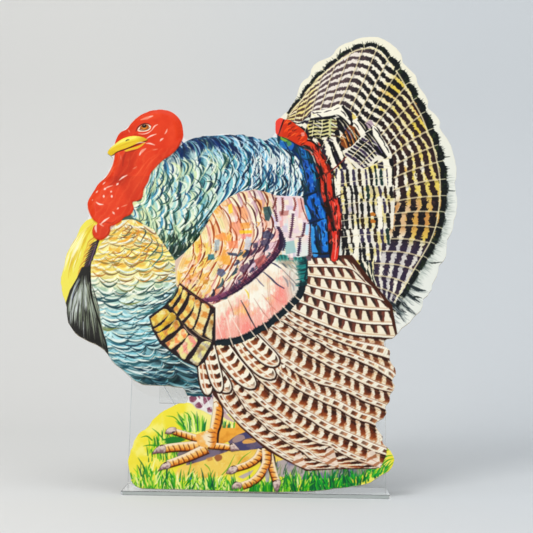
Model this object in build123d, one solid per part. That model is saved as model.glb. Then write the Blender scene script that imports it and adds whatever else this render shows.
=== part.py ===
from build123d import *
import os
from math import sin, cos, tan, atan2, degrees, radians, hypot

# Embossed, die-cut cardboard turkey leaning on a clear acrylic easel.
# Frame: millimetres, +Z up, +X to the right of the printed face, -Y towards
# the viewer. The origin is the centre of the ledge's flat underside.

# ---- driving dimensions: easel ------------------------------------------
SHEET = 3.2              # acrylic sheet thickness
EASEL_WIDTH = 216.0      # width of the ledge and the back plate
LEDGE_DEPTH = 50.8       # front edge to the inside corner of the bend
PLATE_LENGTH = 279.4     # slanted length of the back plate, from the bend
PLATE_LEAN = 12.0        # degrees the back plate leans from vertical
BEND_R = 1.5             # inside radius of each heat bend
CORNER_R = 3.0           # rounded corners of the sheet
EDGE_CHAMFER = 0.3       # eased edges of the polished sheet

# ---- driving dimensions: rear leg ---------------------------------------
LEG_WIDTH = 168.0        # width of the cemented flange
LEG_FOOT_WIDTH = 76.0    # width of the leg where it stands on the table
FLANGE_LOW = 68.0        # flange's lower edge, measured up the back plate
LEG_APEX = 100.0         # apex of the leg's bend, measured up the back plate
LEG_ANGLE = 40.0         # degrees the leg slopes back from vertical

# ---- driving dimensions: card -------------------------------------------
BOARD = 1.25             # pulp board
PLY = 0.35               # printed face ply, laminated to the board
CARD_SETBACK = 4.8       # card's rear bottom edge, behind the ledge's front edge
REST_GAP = 0.03          # clearance under the card
LEAN_GAP = 0.05          # clearance between the card and the plate's top edge

os.makedirs("parts", exist_ok=True)

# The bend's inside corner sits here, so that the origin falls at the middle
# of the ledge.
BEND_Y = LEDGE_DEPTH / 2
pl = radians(PLATE_LEAN)


def plate_point(v, w):
    """(y, z) of a point v up the back plate and w behind its front face."""
    return (BEND_Y + v * sin(pl) + w * cos(pl), SHEET + v * cos(pl) - w * sin(pl))


def pick(shape, x, y, z, tol=0.6):
    """Edges whose middle lies within tol of a point."""
    return [e for e in shape.edges() if (e.center() - Vector(x, y, z)).length < tol]


# ---- easel: ledge and back plate, one bent sheet ------------------------
# Profile in the YZ plane: flat ledge, heat bend, back plate leaning back.
outer_y = BEND_Y + SHEET * (cos(pl) - (1 - sin(pl)) * tan(pl))
front_y = BEND_Y - LEDGE_DEPTH
sheet_pts = [
    (front_y, 0), (outer_y, 0), plate_point(PLATE_LENGTH, SHEET),
    plate_point(PLATE_LENGTH, 0), (BEND_Y, SHEET), (front_y, SHEET),
]
with BuildSketch(Plane.YZ) as sheet_profile:
    with BuildLine():
        Polyline(*sheet_pts, close=True)
    make_face()
easel_sheet = extrude(sheet_profile.sketch, amount=EASEL_WIDTH / 2, both=True)
easel_sheet = fillet(pick(easel_sheet, 0, BEND_Y, SHEET), BEND_R)
easel_sheet = fillet(pick(easel_sheet, 0, outer_y, 0), BEND_R + SHEET)
# rounded corners at the front of the ledge and the top of the plate
hx = EASEL_WIDTH / 2
ty, tz = plate_point(PLATE_LENGTH, SHEET / 2)
corner_edges = []
for sx in (-hx, hx):
    corner_edges += pick(easel_sheet, sx, front_y, SHEET / 2)
    corner_edges += pick(easel_sheet, sx, ty, tz)
easel_sheet = fillet(corner_edges, CORNER_R)
# eased edges along the ledge's front edge and the plate's top edge
fy, fz = plate_point(PLATE_LENGTH, SHEET)
gy, gz = plate_point(PLATE_LENGTH, 0)
eased = (pick(easel_sheet, 0, front_y, 0) + pick(easel_sheet, 0, front_y, SHEET)
         + pick(easel_sheet, 0, fy, fz) + pick(easel_sheet, 0, gy, gz))
easel_sheet = chamfer(eased, EDGE_CHAMFER)

# ---- easel: rear leg, one bent strip ------------------------------------
# A flange cemented to the back of the plate, folded over at its top into a
# leg that slopes down and back to the table.
la = radians(LEG_ANGLE)
apex = plate_point(LEG_APEX, SHEET)
foot_out = (apex[0] + apex[1] * tan(la), 0)
inn = (apex[0] - SHEET * cos(la), apex[1] - SHEET * sin(la))
foot_in = (inn[0] + inn[1] * tan(la), 0)
# inside corner: where the flange's rear face meets the leg's under face
half = (pl + la) / 2
reach = SHEET / sin(half)
bis = (sin(half - pl) * 1.0, -cos(half - pl))
inside = (apex[0] + reach * bis[0], apex[1] + reach * bis[1])
leg_pts = [plate_point(FLANGE_LOW, SHEET), apex, foot_out, foot_in, inside,
           plate_point(FLANGE_LOW, 2 * SHEET)]
with BuildSketch(Plane.YZ) as leg_profile:
    with BuildLine():
        Polyline(*leg_pts, close=True)
    make_face()
rear_leg = extrude(leg_profile.sketch, amount=LEG_WIDTH / 2, both=True)
rear_leg = fillet(pick(rear_leg, 0, inside[0], inside[1]), BEND_R)
rear_leg = fillet(pick(rear_leg, 0, apex[0], apex[1]), BEND_R + SHEET)
# the leg narrows from the bend to its foot
leg_len = apex[1] / cos(la)
leg_plane = Plane(origin=(0, apex[0], apex[1]), x_dir=(1, 0, 0),
                  z_dir=(0, -cos(la), -sin(la)))
TAPER_START = 16.0
for side in (-1, 1):
    with BuildSketch(leg_plane) as cut:
        with BuildLine():
            Polyline((side * (LEG_WIDTH / 2 + 1), -TAPER_START),
                     (side * LEG_WIDTH / 2, -TAPER_START),
                     (side * LEG_FOOT_WIDTH / 2, -leg_len - 4),
                     (side * (LEG_WIDTH / 2 + 1), -leg_len - 4), close=True)
        make_face()
    rear_leg = rear_leg - extrude(cut.sketch, amount=SHEET + 0.2) \
        - extrude(cut.sketch, amount=-0.2)

# ---- card: frame of the leaning card ------------------------------------
# The card's rear bottom edge rests on the ledge and its back leans on the
# back plate's top edge.
rest_y = front_y + CARD_SETBACK
rest_z = SHEET + REST_GAP
dy, dz = gy - rest_y, gz - rest_z
lean = atan2(dy, dz) - LEAN_GAP / hypot(dy, dz)
normal = (0, -cos(lean), sin(lean))
THICK = BOARD + PLY


def card_plane(height):
    """Plane parallel to the card, height in front of its back face. Its x
    runs along the card's width and its y up the card."""
    return Plane(origin=(0, rest_y + height * normal[1], rest_z + height * normal[2]),
                 x_dir=(1, 0, 0), z_dir=normal)


# Die-cut outline in the card's plane, counter-clockwise, mm from the middle
# of the easel and from the resting edge.
OUTLINE = [
    (106.3, 18), (108.9, 20.7), (110.6, 24.2), (111.6, 27.8), (110.8, 31.2), (108.2, 35.8), (102.7, 41), (102.1, 43), (102.4, 47.2),
    (98.5, 52.4), (96.7, 56.2), (96.8, 57.5), (98.1, 59.7), (103.4, 62.7), (105.7, 66.7), (105.9, 67.8), (104.8, 70.8), (104.8, 71.9),
    (105.2, 73), (108.3, 76.5), (108.8, 78), (108.7, 81.4), (109.1, 83.2), (111.9, 86.7), (113.1, 89.5), (112.8, 90.9), (111.3, 93.1),
    (111, 95.2), (111.8, 97.2), (114, 99.8), (114.1, 102.8), (113.3, 106.1), (110.7, 109.5), (109.4, 112.4), (109.1, 114.4), (109.7, 119.2),
    (109.4, 120.8), (108.6, 122.2), (105.5, 124.3), (104.8, 125.3), (104.6, 127.9), (105, 129.2), (106.7, 131), (107.7, 131.4), (111.5, 131.9),
    (112.9, 132.8), (117.1, 137.1), (119.5, 140.9), (126.5, 146.2), (130.1, 151.3), (135.8, 156.7), (137.6, 160.8), (138.4, 167.2), (139.6, 168.7),
    (142.4, 170.8), (143.5, 173.2), (145.7, 176.1), (146.2, 180.6), (150.5, 188.5), (151.7, 192.8), (152.4, 197.5), (153.4, 199.2), (157.1, 203.2),
    (159, 207.3), (160.2, 222.2), (163.1, 227), (165, 231.2), (166.1, 234.7), (166.6, 240.4), (169, 246.6), (169.3, 251.3), (170, 254.1),
    (170.3, 261.5), (169.3, 267.1), (169.1, 272.8), (168.5, 276.7), (170.2, 281.3), (170.7, 291.9), (170, 294.7), (169.8, 298.5), (166.5, 313.5),
    (163.3, 320.2), (159.2, 326.4), (157, 330.9), (157.7, 335.9), (156.7, 339.4), (153.7, 344.1), (148.4, 349.1), (147.2, 350.9), (146.9, 352),
    (147.6, 356.1), (147.5, 357.9), (145, 364), (140.8, 370.4), (139, 374.2), (138.1, 377.2), (138, 380.3), (137, 384), (125.5, 397.2),
    (125.4, 400.8), (124.2, 406.1), (120.3, 411.8), (114.5, 417.4), (108.5, 421.3), (103.5, 423.6), (96.4, 423.7), (89.3, 422.9), (83.3, 421),
    (80.2, 418.8), (74.1, 416.7), (68.2, 413.2), (64.7, 409.2), (63, 405.3), (59.9, 402.2), (55, 399.8), (49.1, 396.9), (45.1, 393.4),
    (42.7, 388.6), (41.9, 383.6), (40, 380.3), (36, 377.6), (33.5, 374), (31.2, 367.5), (30.1, 361.8), (27.7, 356.3), (24.4, 350.6),
    (22.4, 346.1), (19.1, 343.4), (15.9, 339.9), (12.9, 337.5), (10.8, 335.5), (11.1, 331.1), (11.1, 324.7), (10.4, 322.3), (7.9, 319.3),
    (2.1, 316), (-0.2, 316.6), (-1.9, 318), (-4.9, 317.6), (-8.5, 319.7), (-13.9, 319.8), (-17, 321.7), (-21.2, 321.8), (-24.7, 320.8),
    (-30.8, 322.2), (-37.6, 322), (-42.7, 320.4), (-52.4, 320.2), (-56.5, 318.4), (-61.7, 317.9), (-64.9, 316.1), (-67.1, 315.6), (-68.3, 316),
    (-70, 318), (-71.6, 329.3), (-73.2, 334.7), (-75.5, 338.3), (-79.4, 342.1), (-83.2, 344.2), (-86.5, 345.3), (-92.4, 346.3), (-95.7, 345.3),
    (-99.1, 345.1), (-102.3, 344), (-108.6, 340.8), (-114.1, 336.4), (-122.2, 325.9), (-125.3, 324.1), (-128, 321), (-131.6, 311.2), (-135.5, 305.9),
    (-136.9, 303), (-137.1, 301.7), (-136.8, 301.2), (-133.3, 298.7), (-131.7, 296.8), (-131.3, 294.2), (-132.1, 290.8), (-135.1, 284.3), (-135.3, 282.6),
    (-136.1, 280.8), (-143.5, 271), (-150.6, 256.4), (-151.4, 253), (-151.2, 247.6), (-150.1, 244), (-149.4, 239.6), (-150.4, 237.6), (-153.9, 233.4),
    (-156, 229.7), (-158.9, 220.2), (-163.2, 212.2), (-163.6, 210.5), (-166, 204.9), (-166.8, 200.7), (-167.4, 193.3), (-169.5, 182.8), (-169.3, 176.9),
    (-168.4, 174.3), (-167.9, 170.7), (-166.5, 165.7), (-164.6, 161.5), (-162.6, 155.3), (-162.3, 150.7), (-160.5, 142), (-154.6, 133.5), (-151.5, 130.6),
    (-141.8, 125.4), (-134.7, 122.4), (-128.9, 118.4), (-125.4, 114.4), (-123.7, 111.3), (-120.5, 107.2), (-117.9, 105), (-114.3, 102.6), (-103.5, 92.8),
    (-95.4, 88.7), (-93.9, 88.3), (-72.5, 87.7), (-69.3, 87), (-62.5, 86.6), (-60.3, 84.6), (-57, 76.9), (-57, 75.6), (-58.4, 73.5),
    (-59.4, 72.9), (-63.9, 72.7), (-66.7, 71.7), (-76.6, 66.2), (-79, 64.5), (-85.3, 58.5), (-88.1, 53.4), (-89.2, 52.1), (-91.2, 50.2),
    (-94, 48.6), (-96.1, 46.6), (-99.6, 40.6), (-100.6, 35), (-102.1, 32.3), (-102.3, 30), (-103.6, 24.6), (-103.6, 22.5), (-102.1, 15.4),
    (-100.8, 10.1), (-100.1, 7.2), (-98.5, 4.9), (-96, 3), (-93.2, 1.8), (-89.9, 1.2), (-76.6, 1.1), (-63.8, 1), (-46.1, 0.8),
    (-27.7, 0.6), (-14.8, 0), (-3.6, 0), (6.8, 0), (18.8, 0), (31.6, 0.5), (44.4, 1.2), (56.4, 2.3), (62, 3.6),
    (70.3, 4.4), (77.2, 5.4), (82.8, 6.3), (88.5, 7.6), (92.1, 8.9), (94.5, 10.7), (96.9, 12.5), (101.6, 15.4)
]

# Embossed regions of the face, in the same coordinates.
TAIL_FAN = [
    (20.5, 335.2), (34.5, 361.7), (50.6, 387.7), (73.3, 406.8), (97.9, 413.4), (115, 400), (132.6, 375.3), (146.2, 344.9), (155.8, 309),
    (160.2, 279.7), (160.2, 250.8), (154.1, 222.4), (143.9, 192.5), (129.6, 163.2), (116.7, 146.8), (101.9, 166.4), (68.2, 200.7), (63.1, 240),
    (59.6, 268.6), (49.1, 297.7), (33.1, 317.3)
]
BACK = [
    (-96.7, 249.2), (-89.2, 274.4), (-76.2, 300), (-64.4, 315), (-42.4, 320.3), (-20.2, 322.6), (-0.6, 318.9), (13.8, 305.1), (29.7, 295.5),
    (35.3, 258.7), (34, 203.9), (-13, 199.5), (-50.5, 171.5), (-69.4, 177.6), (-81.9, 209.7)
]
BREAST = [
    (-140.8, 229.6), (-119.9, 228), (-95.5, 224.5), (-76.4, 202.4), (-69.2, 173), (-49.3, 137.3), (-45.1, 112.6), (-56.1, 95), (-79.1, 91.2),
    (-95.9, 96.2), (-113.5, 113.4), (-128.2, 136.1), (-140.6, 172), (-146.3, 208.8)
]
WING = [
    (-68.5, 196.9), (-52.5, 227), (-27.2, 252.1), (0.4, 260.1), (33.6, 253.9), (36.6, 200.2), (34.2, 174.5), (2.6, 142.5), (-33.9, 125.1),
    (-50.7, 130.1), (-63, 164)
]
HEAD_AND_WATTLE = [
    (-129.1, 297.3), (-122.7, 309.3), (-113, 328.4), (-101.1, 340.6), (-85.9, 340.8), (-75.6, 327.9), (-75.8, 310.9), (-91.6, 288), (-101.1, 266.5),
    (-106.4, 251), (-115.4, 241.3), (-128.5, 227.9), (-137.8, 224), (-140, 231.5), (-145.4, 248.5), (-143, 265.9), (-133.5, 281.6)
]
FLIGHT_FEATHERS = [
    (-35.4, 122.4), (2.7, 137.1), (44.3, 198.5), (71.6, 198.9), (93.5, 173.5), (103.3, 146.6), (97.1, 125.2), (104.3, 102.6), (105.6, 78.5),
    (97.1, 57.1), (98.5, 38), (77.4, 33.7), (53.1, 29.4), (35.3, 37.3), (4, 61.7), (-22.8, 85.1), (-36.6, 105.7)
]
LEG_AND_TOES = [
    (-36.4, 72.9), (-28.2, 74.8), (-30, 51.1), (-15, 39), (-16.5, 34.1), (-36, 34.6), (-60.3, 14.6), (-72.3, 11), (-69.4, 19.2),
    (-60, 26.8), (-81, 25.4), (-81.3, 31.2), (-58.8, 36.6), (-67.2, 43.9), (-65.8, 48.9), (-41.2, 46)
]
MOUND = [
    (-83.7, 48.6), (-61.5, 64.1), (-43.1, 52.6), (-13.4, 39.9), (19.2, 29), (59.6, 22.2), (103.2, 27.3), (96.6, 19.9), (75.7, 11.8),
    (35.6, 6.9), (-20.6, 6.1), (-83.4, 7.5), (-94.3, 16.9), (-95.2, 33.3)
]
# (region, height of its relief above the flat face)
EMBOSSED = [
    (TAIL_FAN, 0.8), (BACK, 2.0), (BREAST, 2.2), (WING, 3.0),
    (HEAD_AND_WATTLE, 2.6), (FLIGHT_FEATHERS, 1.2), (LEG_AND_TOES, 1.0),
    (MOUND, 0.6),
]


def slab(points, base, thickness):
    """Flat slab of a polygon that starts base in front of the card's back."""
    with BuildSketch(card_plane(base)) as sk:
        with BuildLine():
            Polyline(*points, close=True)
        make_face()
    return extrude(sk.sketch, amount=thickness)


core_board = slab(OUTLINE, 0, BOARD)
printed_face = slab(OUTLINE, BOARD, PLY)
for region, rise in EMBOSSED:
    printed_face = printed_face + slab(region, BOARD, PLY + rise)

# ---- write one STEP per node --------------------------------------------
parts = {
    "easel_ledge_and_back": easel_sheet,
    "easel_rear_leg": rear_leg,
    "core_board": core_board,
    "printed_face": printed_face,
}
for name, shape in parts.items():
    export_step(shape if isinstance(shape, Compound) else Compound([shape]), f"parts/{name}.step")
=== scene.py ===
import math
import bpy
import numpy as np
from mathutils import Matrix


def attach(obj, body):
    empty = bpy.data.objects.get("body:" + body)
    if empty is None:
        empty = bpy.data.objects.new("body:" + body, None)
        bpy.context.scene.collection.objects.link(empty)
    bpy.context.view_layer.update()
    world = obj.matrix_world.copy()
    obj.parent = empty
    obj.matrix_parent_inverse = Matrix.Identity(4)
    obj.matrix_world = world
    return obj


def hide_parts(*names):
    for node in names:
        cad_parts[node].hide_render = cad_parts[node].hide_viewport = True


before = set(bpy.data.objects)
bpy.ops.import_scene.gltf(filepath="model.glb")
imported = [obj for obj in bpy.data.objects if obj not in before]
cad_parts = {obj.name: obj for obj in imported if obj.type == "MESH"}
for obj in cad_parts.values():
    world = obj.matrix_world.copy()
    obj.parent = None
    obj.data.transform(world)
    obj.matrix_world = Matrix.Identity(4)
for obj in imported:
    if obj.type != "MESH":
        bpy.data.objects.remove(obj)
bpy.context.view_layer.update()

# A die-cut, embossed and varnished turkey card on a clear folded easel.
# Row frame: metres, origin at the centre of the ledge's flat underside.

# Cut outline of the card in its own plane: millimetres across, millimetres up.
OUTLINE_MM = [
    (106.3, 18.0), (108.9, 20.7), (110.6, 24.2), (111.6, 27.8), (110.8, 31.2), (108.2, 35.8), (102.7, 41.0), (102.1, 43.0),
    (102.4, 47.2), (98.5, 52.4), (96.7, 56.2), (96.8, 57.5), (98.1, 59.7), (103.4, 62.7), (105.7, 66.7), (105.9, 67.8),
    (104.8, 70.8), (104.8, 71.9), (105.2, 73.0), (108.3, 76.5), (108.8, 78.0), (108.7, 81.4), (109.1, 83.2), (111.9, 86.7),
    (113.1, 89.5), (112.8, 90.9), (111.3, 93.1), (111.0, 95.2), (111.8, 97.2), (114.0, 99.8), (114.1, 102.8), (113.3, 106.1),
    (110.7, 109.5), (109.4, 112.4), (109.1, 114.4), (109.7, 119.2), (109.4, 120.8), (108.6, 122.2), (105.5, 124.3), (104.8, 125.3),
    (104.6, 127.9), (105.0, 129.2), (106.7, 131.0), (107.7, 131.4), (111.5, 131.9), (112.9, 132.8), (117.1, 137.1), (119.5, 140.9),
    (126.5, 146.2), (130.1, 151.3), (135.8, 156.7), (137.6, 160.8), (138.4, 167.2), (139.6, 168.7), (142.4, 170.8), (143.5, 173.2),
    (145.7, 176.1), (146.2, 180.6), (150.5, 188.5), (151.7, 192.8), (152.4, 197.5), (153.4, 199.2), (157.1, 203.2), (159.0, 207.3),
    (160.2, 222.2), (163.1, 227.0), (165.0, 231.2), (166.1, 234.7), (166.6, 240.4), (169.0, 246.6), (169.3, 251.3), (170.0, 254.1),
    (170.3, 261.5), (169.3, 267.1), (169.1, 272.8), (168.5, 276.7), (170.2, 281.3), (170.7, 291.9), (170.0, 294.7), (169.8, 298.5),
    (166.5, 313.5), (163.3, 320.2), (159.2, 326.4), (157.0, 330.9), (157.7, 335.9), (156.7, 339.4), (153.7, 344.1), (148.4, 349.1),
    (147.2, 350.9), (146.9, 352.0), (147.6, 356.1), (147.5, 357.9), (145.0, 364.0), (140.8, 370.4), (139.0, 374.2), (138.1, 377.2),
    (138.0, 380.3), (137.0, 384.0), (125.5, 397.2), (125.4, 400.8), (124.2, 406.1), (120.3, 411.8), (114.5, 417.4), (108.5, 421.3),
    (103.5, 423.6), (96.4, 423.7), (89.3, 422.9), (83.3, 421.0), (80.2, 418.8), (74.1, 416.7), (68.2, 413.2), (64.7, 409.2),
    (63.0, 405.3), (59.9, 402.2), (55.0, 399.8), (49.1, 396.9), (45.1, 393.4), (42.7, 388.6), (41.9, 383.6), (40.0, 380.3),
    (36.0, 377.6), (33.5, 374.0), (31.2, 367.5), (30.1, 361.8), (27.7, 356.3), (24.4, 350.6), (22.4, 346.1), (19.1, 343.4),
    (15.9, 339.9), (12.9, 337.5), (10.8, 335.5), (11.1, 331.1), (11.1, 324.7), (10.4, 322.3), (7.9, 319.3), (2.1, 316.0),
    (-0.2, 316.6), (-1.9, 318.0), (-4.9, 317.6), (-8.5, 319.7), (-13.9, 319.8), (-17.0, 321.7), (-21.2, 321.8), (-24.7, 320.8),
    (-30.8, 322.2), (-37.6, 322.0), (-42.7, 320.4), (-52.4, 320.2), (-56.5, 318.4), (-61.7, 317.9), (-64.9, 316.1), (-67.1, 315.6),
    (-68.3, 316.0), (-70.0, 318.0), (-71.6, 329.3), (-73.2, 334.7), (-75.5, 338.3), (-79.4, 342.1), (-83.2, 344.2), (-86.5, 345.3),
    (-92.4, 346.3), (-95.7, 345.3), (-99.1, 345.1), (-102.3, 344.0), (-108.6, 340.8), (-114.1, 336.4), (-122.2, 325.9), (-125.3, 324.1),
    (-128.0, 321.0), (-131.6, 311.2), (-135.5, 305.9), (-136.9, 303.0), (-137.1, 301.7), (-136.8, 301.2), (-133.3, 298.7), (-131.7, 296.8),
    (-131.3, 294.2), (-132.1, 290.8), (-135.1, 284.3), (-135.3, 282.6), (-136.1, 280.8), (-143.5, 271.0), (-150.6, 256.4), (-151.4, 253.0),
    (-151.2, 247.6), (-150.1, 244.0), (-149.4, 239.6), (-150.4, 237.6), (-153.9, 233.4), (-156.0, 229.7), (-158.9, 220.2), (-163.2, 212.2),
    (-163.6, 210.5), (-166.0, 204.9), (-166.8, 200.7), (-167.4, 193.3), (-169.5, 182.8), (-169.3, 176.9), (-168.4, 174.3), (-167.9, 170.7),
    (-166.5, 165.7), (-164.6, 161.5), (-162.6, 155.3), (-162.3, 150.7), (-160.5, 142.0), (-154.6, 133.5), (-151.5, 130.6), (-141.8, 125.4),
    (-134.7, 122.4), (-128.9, 118.4), (-125.4, 114.4), (-123.7, 111.3), (-120.5, 107.2), (-117.9, 105.0), (-114.3, 102.6), (-103.5, 92.8),
    (-95.4, 88.7), (-93.9, 88.3), (-72.5, 87.7), (-69.3, 87.0), (-62.5, 86.6), (-60.3, 84.6), (-57.0, 76.9), (-57.0, 75.6),
    (-58.4, 73.5), (-59.4, 72.9), (-63.9, 72.7), (-66.7, 71.7), (-76.6, 66.2), (-79.0, 64.5), (-85.3, 58.5), (-88.1, 53.4),
    (-89.2, 52.1), (-91.2, 50.2), (-94.0, 48.6), (-96.1, 46.6), (-99.6, 40.6), (-100.6, 35.0), (-102.1, 32.3), (-102.3, 30.0),
    (-103.6, 24.6), (-103.6, 22.5), (-102.1, 15.4), (-100.8, 10.1), (-100.1, 7.2), (-98.5, 4.9), (-96.0, 3.0), (-93.2, 1.8),
    (-89.9, 1.2), (-76.6, 1.1), (-63.8, 1.0), (-46.1, 0.8), (-27.7, 0.6), (-14.8, 0.0), (-3.6, 0.0), (6.8, 0.0),
    (18.8, 0.0), (31.6, 0.5), (44.4, 1.2), (56.4, 2.3), (62.0, 3.6), (70.3, 4.4), (77.2, 5.4), (82.8, 6.3),
    (88.5, 7.6), (92.1, 8.9), (94.5, 10.7), (96.9, 12.5), (101.6, 15.4),
]

# Light levels and the grey of the paper sweep
KEY_W, FILL_W, TOP_W, WORLD_S = 21.0, 7.2, 7.0, 0.52
SWEEP_RGB = (0.70, 0.71, 0.72)


# ======================================================================
# Painting the artwork, stroke by stroke, into two arrays: colour and relief
# ======================================================================
S = 4                        # canvas samples per artwork unit
X0, Y0, X1, Y1 = 52, 30, 464, 502
CW, CH = (X1 - X0) * S, (Y1 - Y0) * S
col = np.zeros((CH, CW, 3), np.float32) + 0.9
hgt = np.zeros((CH, CW), np.float32)


def hexc(s):
    return np.array([int(s[i:i + 2], 16) for i in (0, 2, 4)], np.float32) / 255


def arr(p):
    return np.asarray(p, float).reshape(-1, 2)


def smooth(e0, e1, x):
    t = np.clip((x - e0) / (e1 - e0), 0, 1)
    return t * t * (3 - 2 * t)


def hash2(i, j, k=0):
    v = np.sin(np.asarray(i) * 127.1 + np.asarray(j) * 311.7 + k * 74.7) * 43758.5453
    return v - np.floor(v)


_rng = np.random.RandomState(7)


def fbm(shape, cell, seed, octaves=4):
    """Tileless value noise, 0..1, of the given pixel cell size."""
    out = np.zeros(shape, np.float32)
    amp, tot = 1.0, 0.0
    r = np.random.RandomState(seed)
    for o in range(octaves):
        n0, n1 = int(shape[0] / cell) + 3, int(shape[1] / cell) + 3
        g = r.rand(n0, n1).astype(np.float32)
        y = np.arange(shape[0]) / cell
        x = np.arange(shape[1]) / cell
        yi, xi = y.astype(int), x.astype(int)
        fy, fx = (y - yi)[:, None], (x - xi)[None, :]
        fy, fx = fy * fy * (3 - 2 * fy), fx * fx * (3 - 2 * fx)
        a = g[yi][:, xi]
        b = g[yi][:, xi + 1]
        c = g[yi + 1][:, xi]
        d = g[yi + 1][:, xi + 1]
        out += amp * ((a * (1 - fx) + b * fx) * (1 - fy) + (c * (1 - fx) + d * fx) * fy)
        tot += amp
        amp *= 0.55
        cell = max(cell / 2.0, 1.0)
    return out / tot


N_FINE = fbm((CH, CW), 10, 11)       # about 2.5 units
N_MID = fbm((CH, CW), 40, 12)
N_BIG = fbm((CH, CW), 160, 13)
N_HAIR = fbm((CH, CW), 5, 14, 2)


def clampbox(x0, y0, x1, y1, pad=2):
    a = max(int((x0 - X0) * S) - pad, 0)
    b = max(int((y0 - Y0) * S) - pad, 0)
    c = min(int((x1 - X0) * S) + pad + 1, CW)
    d = min(int((y1 - Y0) * S) + pad + 1, CH)
    return a, b, c, d


def catmull(p, n):
    """Resample a polyline to n points of equal arc length on a smooth curve."""
    p = arr(p)
    if len(p) == 2:
        t = np.linspace(0, 1, n)[:, None]
        return p[0] * (1 - t) + p[1] * t
    q = np.vstack([2 * p[0] - p[1], p, 2 * p[-1] - p[-2]])
    out = []
    for i in range(1, len(q) - 2):
        t = np.linspace(0, 1, 16, endpoint=False)[:, None]
        a, b, c, d = q[i - 1], q[i], q[i + 1], q[i + 2]
        out.append(0.5 * ((2 * b) + (c - a) * t + (2 * a - 5 * b + 4 * c - d) * t * t
                          + (3 * b - a - 3 * c + d) * t ** 3))
    out.append(q[-2][None])
    o = np.vstack(out)
    s = np.concatenate([[0], np.cumsum(np.hypot(*np.diff(o, axis=0).T))])
    t = np.linspace(0, s[-1], n)
    return np.stack([np.interp(t, s, o[:, 0]), np.interp(t, s, o[:, 1])], 1)


def length(p):
    return float(np.hypot(*np.diff(arr(p), axis=0).T).sum())


class Patch:
    """Curved coordinates over a canvas window: U and V per pixel, M covered."""
    pass


def _scatter(pos, uu, vv, pad=0.75):
    """pos (nv, nu, 2) in artwork units; uu (nu,), vv (nv,)."""
    x = (pos[..., 0] - X0) * S
    y = (pos[..., 1] - Y0) * S
    a, b = max(int(x.min()) - 1, 0), max(int(y.min()) - 1, 0)
    c, d = min(int(x.max()) + 2, CW), min(int(y.max()) + 2, CH)
    w, h = c - a, d - b
    U = np.full((h, w), np.nan, np.float32)
    V = np.full((h, w), np.nan, np.float32)
    xi = np.round(x - a).astype(int)
    yi = np.round(y - b).astype(int)
    ok = (xi >= 0) & (yi >= 0) & (xi < w) & (yi < h)
    UU = np.broadcast_to(uu[None, :], xi.shape)
    VV = np.broadcast_to(vv[:, None], xi.shape)
    U[yi[ok], xi[ok]] = UU[ok]
    V[yi[ok], xi[ok]] = VV[ok]
    for _ in range(1):                      # close pin holes
        hole = np.isnan(U)
        if not hole.any():
            break
        for dx, dy in ((1, 0), (-1, 0), (0, 1), (0, -1)):
            su = np.roll(np.roll(U, dx, 1), dy, 0)
            sv = np.roll(np.roll(V, dx, 1), dy, 0)
            so = np.roll(np.roll(U, -dx, 1), -dy, 0)
            f = hole & ~np.isnan(su) & ~np.isnan(so)
            U[f], V[f] = su[f], sv[f]
            hole = np.isnan(U)
    P = Patch()
    P.box = (a, b, c, d)
    P.U, P.V = U, V
    P.M = (~np.isnan(U)).astype(np.float32)
    U[np.isnan(U)] = 0
    V[np.isnan(V)] = 0
    return P


def loft(curves, levels=None):
    """Patch across a list of curves (each a polyline with the same direction).
    U is 0..1 along the curves, V the curve index (or levels)."""
    K = len(curves)
    n = int(max(length(c) for c in curves) * S * 1.45) + 4
    C = np.stack([catmull(c, n) for c in curves])          # K, n, 2
    lev = np.arange(K, dtype=float) if levels is None else np.asarray(levels, float)
    gap = max(np.hypot(*(C[i + 1] - C[i]).T).max() for i in range(K - 1))
    m = int(gap * S * 1.45) + 3
    rows, vals = [], []
    for i in range(K - 1):
        t = np.linspace(0, 1, m, endpoint=(i == K - 2))[:, None, None]
        if K > 2:
            a = C[i - 1] if i > 0 else 2 * C[0] - C[1]
            d = C[i + 2] if i + 2 < K else 2 * C[K - 1] - C[K - 2]
            b, c = C[i], C[i + 1]
            r = 0.5 * (2 * b + (c - a) * t + (2 * a - 5 * b + 4 * c - d) * t * t
                       + (3 * b - a - 3 * c + d) * t ** 3)
        else:
            r = C[i] * (1 - t) + C[i + 1] * t
        rows.append(r)
        vals.append(lev[i] + (lev[i + 1] - lev[i]) * t[:, 0, 0])
    pos = np.concatenate(rows)
    P = _scatter(pos, np.linspace(0, 1, n), np.concatenate(vals))
    P.len = float(np.mean([length(c) for c in C]))
    mid = pos[:, n // 2]
    P.width = float(np.hypot(*np.diff(mid, axis=0).T).sum())
    wl = np.hypot(*(C[-1] - C[0]).T)                        # width along U
    P.W = np.interp(P.U, np.linspace(0, 1, n), np.maximum(wl, 0.5))
    P.C = C
    return P


def along(P, u, v):
    """Artwork positions of patch coordinates u (0..1) and v (curve index)."""
    K, n = P.C.shape[:2]
    u = np.clip(u, 0, 1) * (n - 1)
    v = np.clip(v, 0, K - 1.0001)
    i, j = np.minimum(u.astype(int), n - 2), v.astype(int)
    fu, fv = (u - i)[:, None], (v - j)[:, None]
    C = P.C
    return ((C[j, i] * (1 - fu) + C[j, i + 1] * fu) * (1 - fv)
            + (C[np.minimum(j + 1, K - 1), i] * (1 - fu) + C[np.minimum(j + 1, K - 1), i + 1] * fu) * fv)


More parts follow.
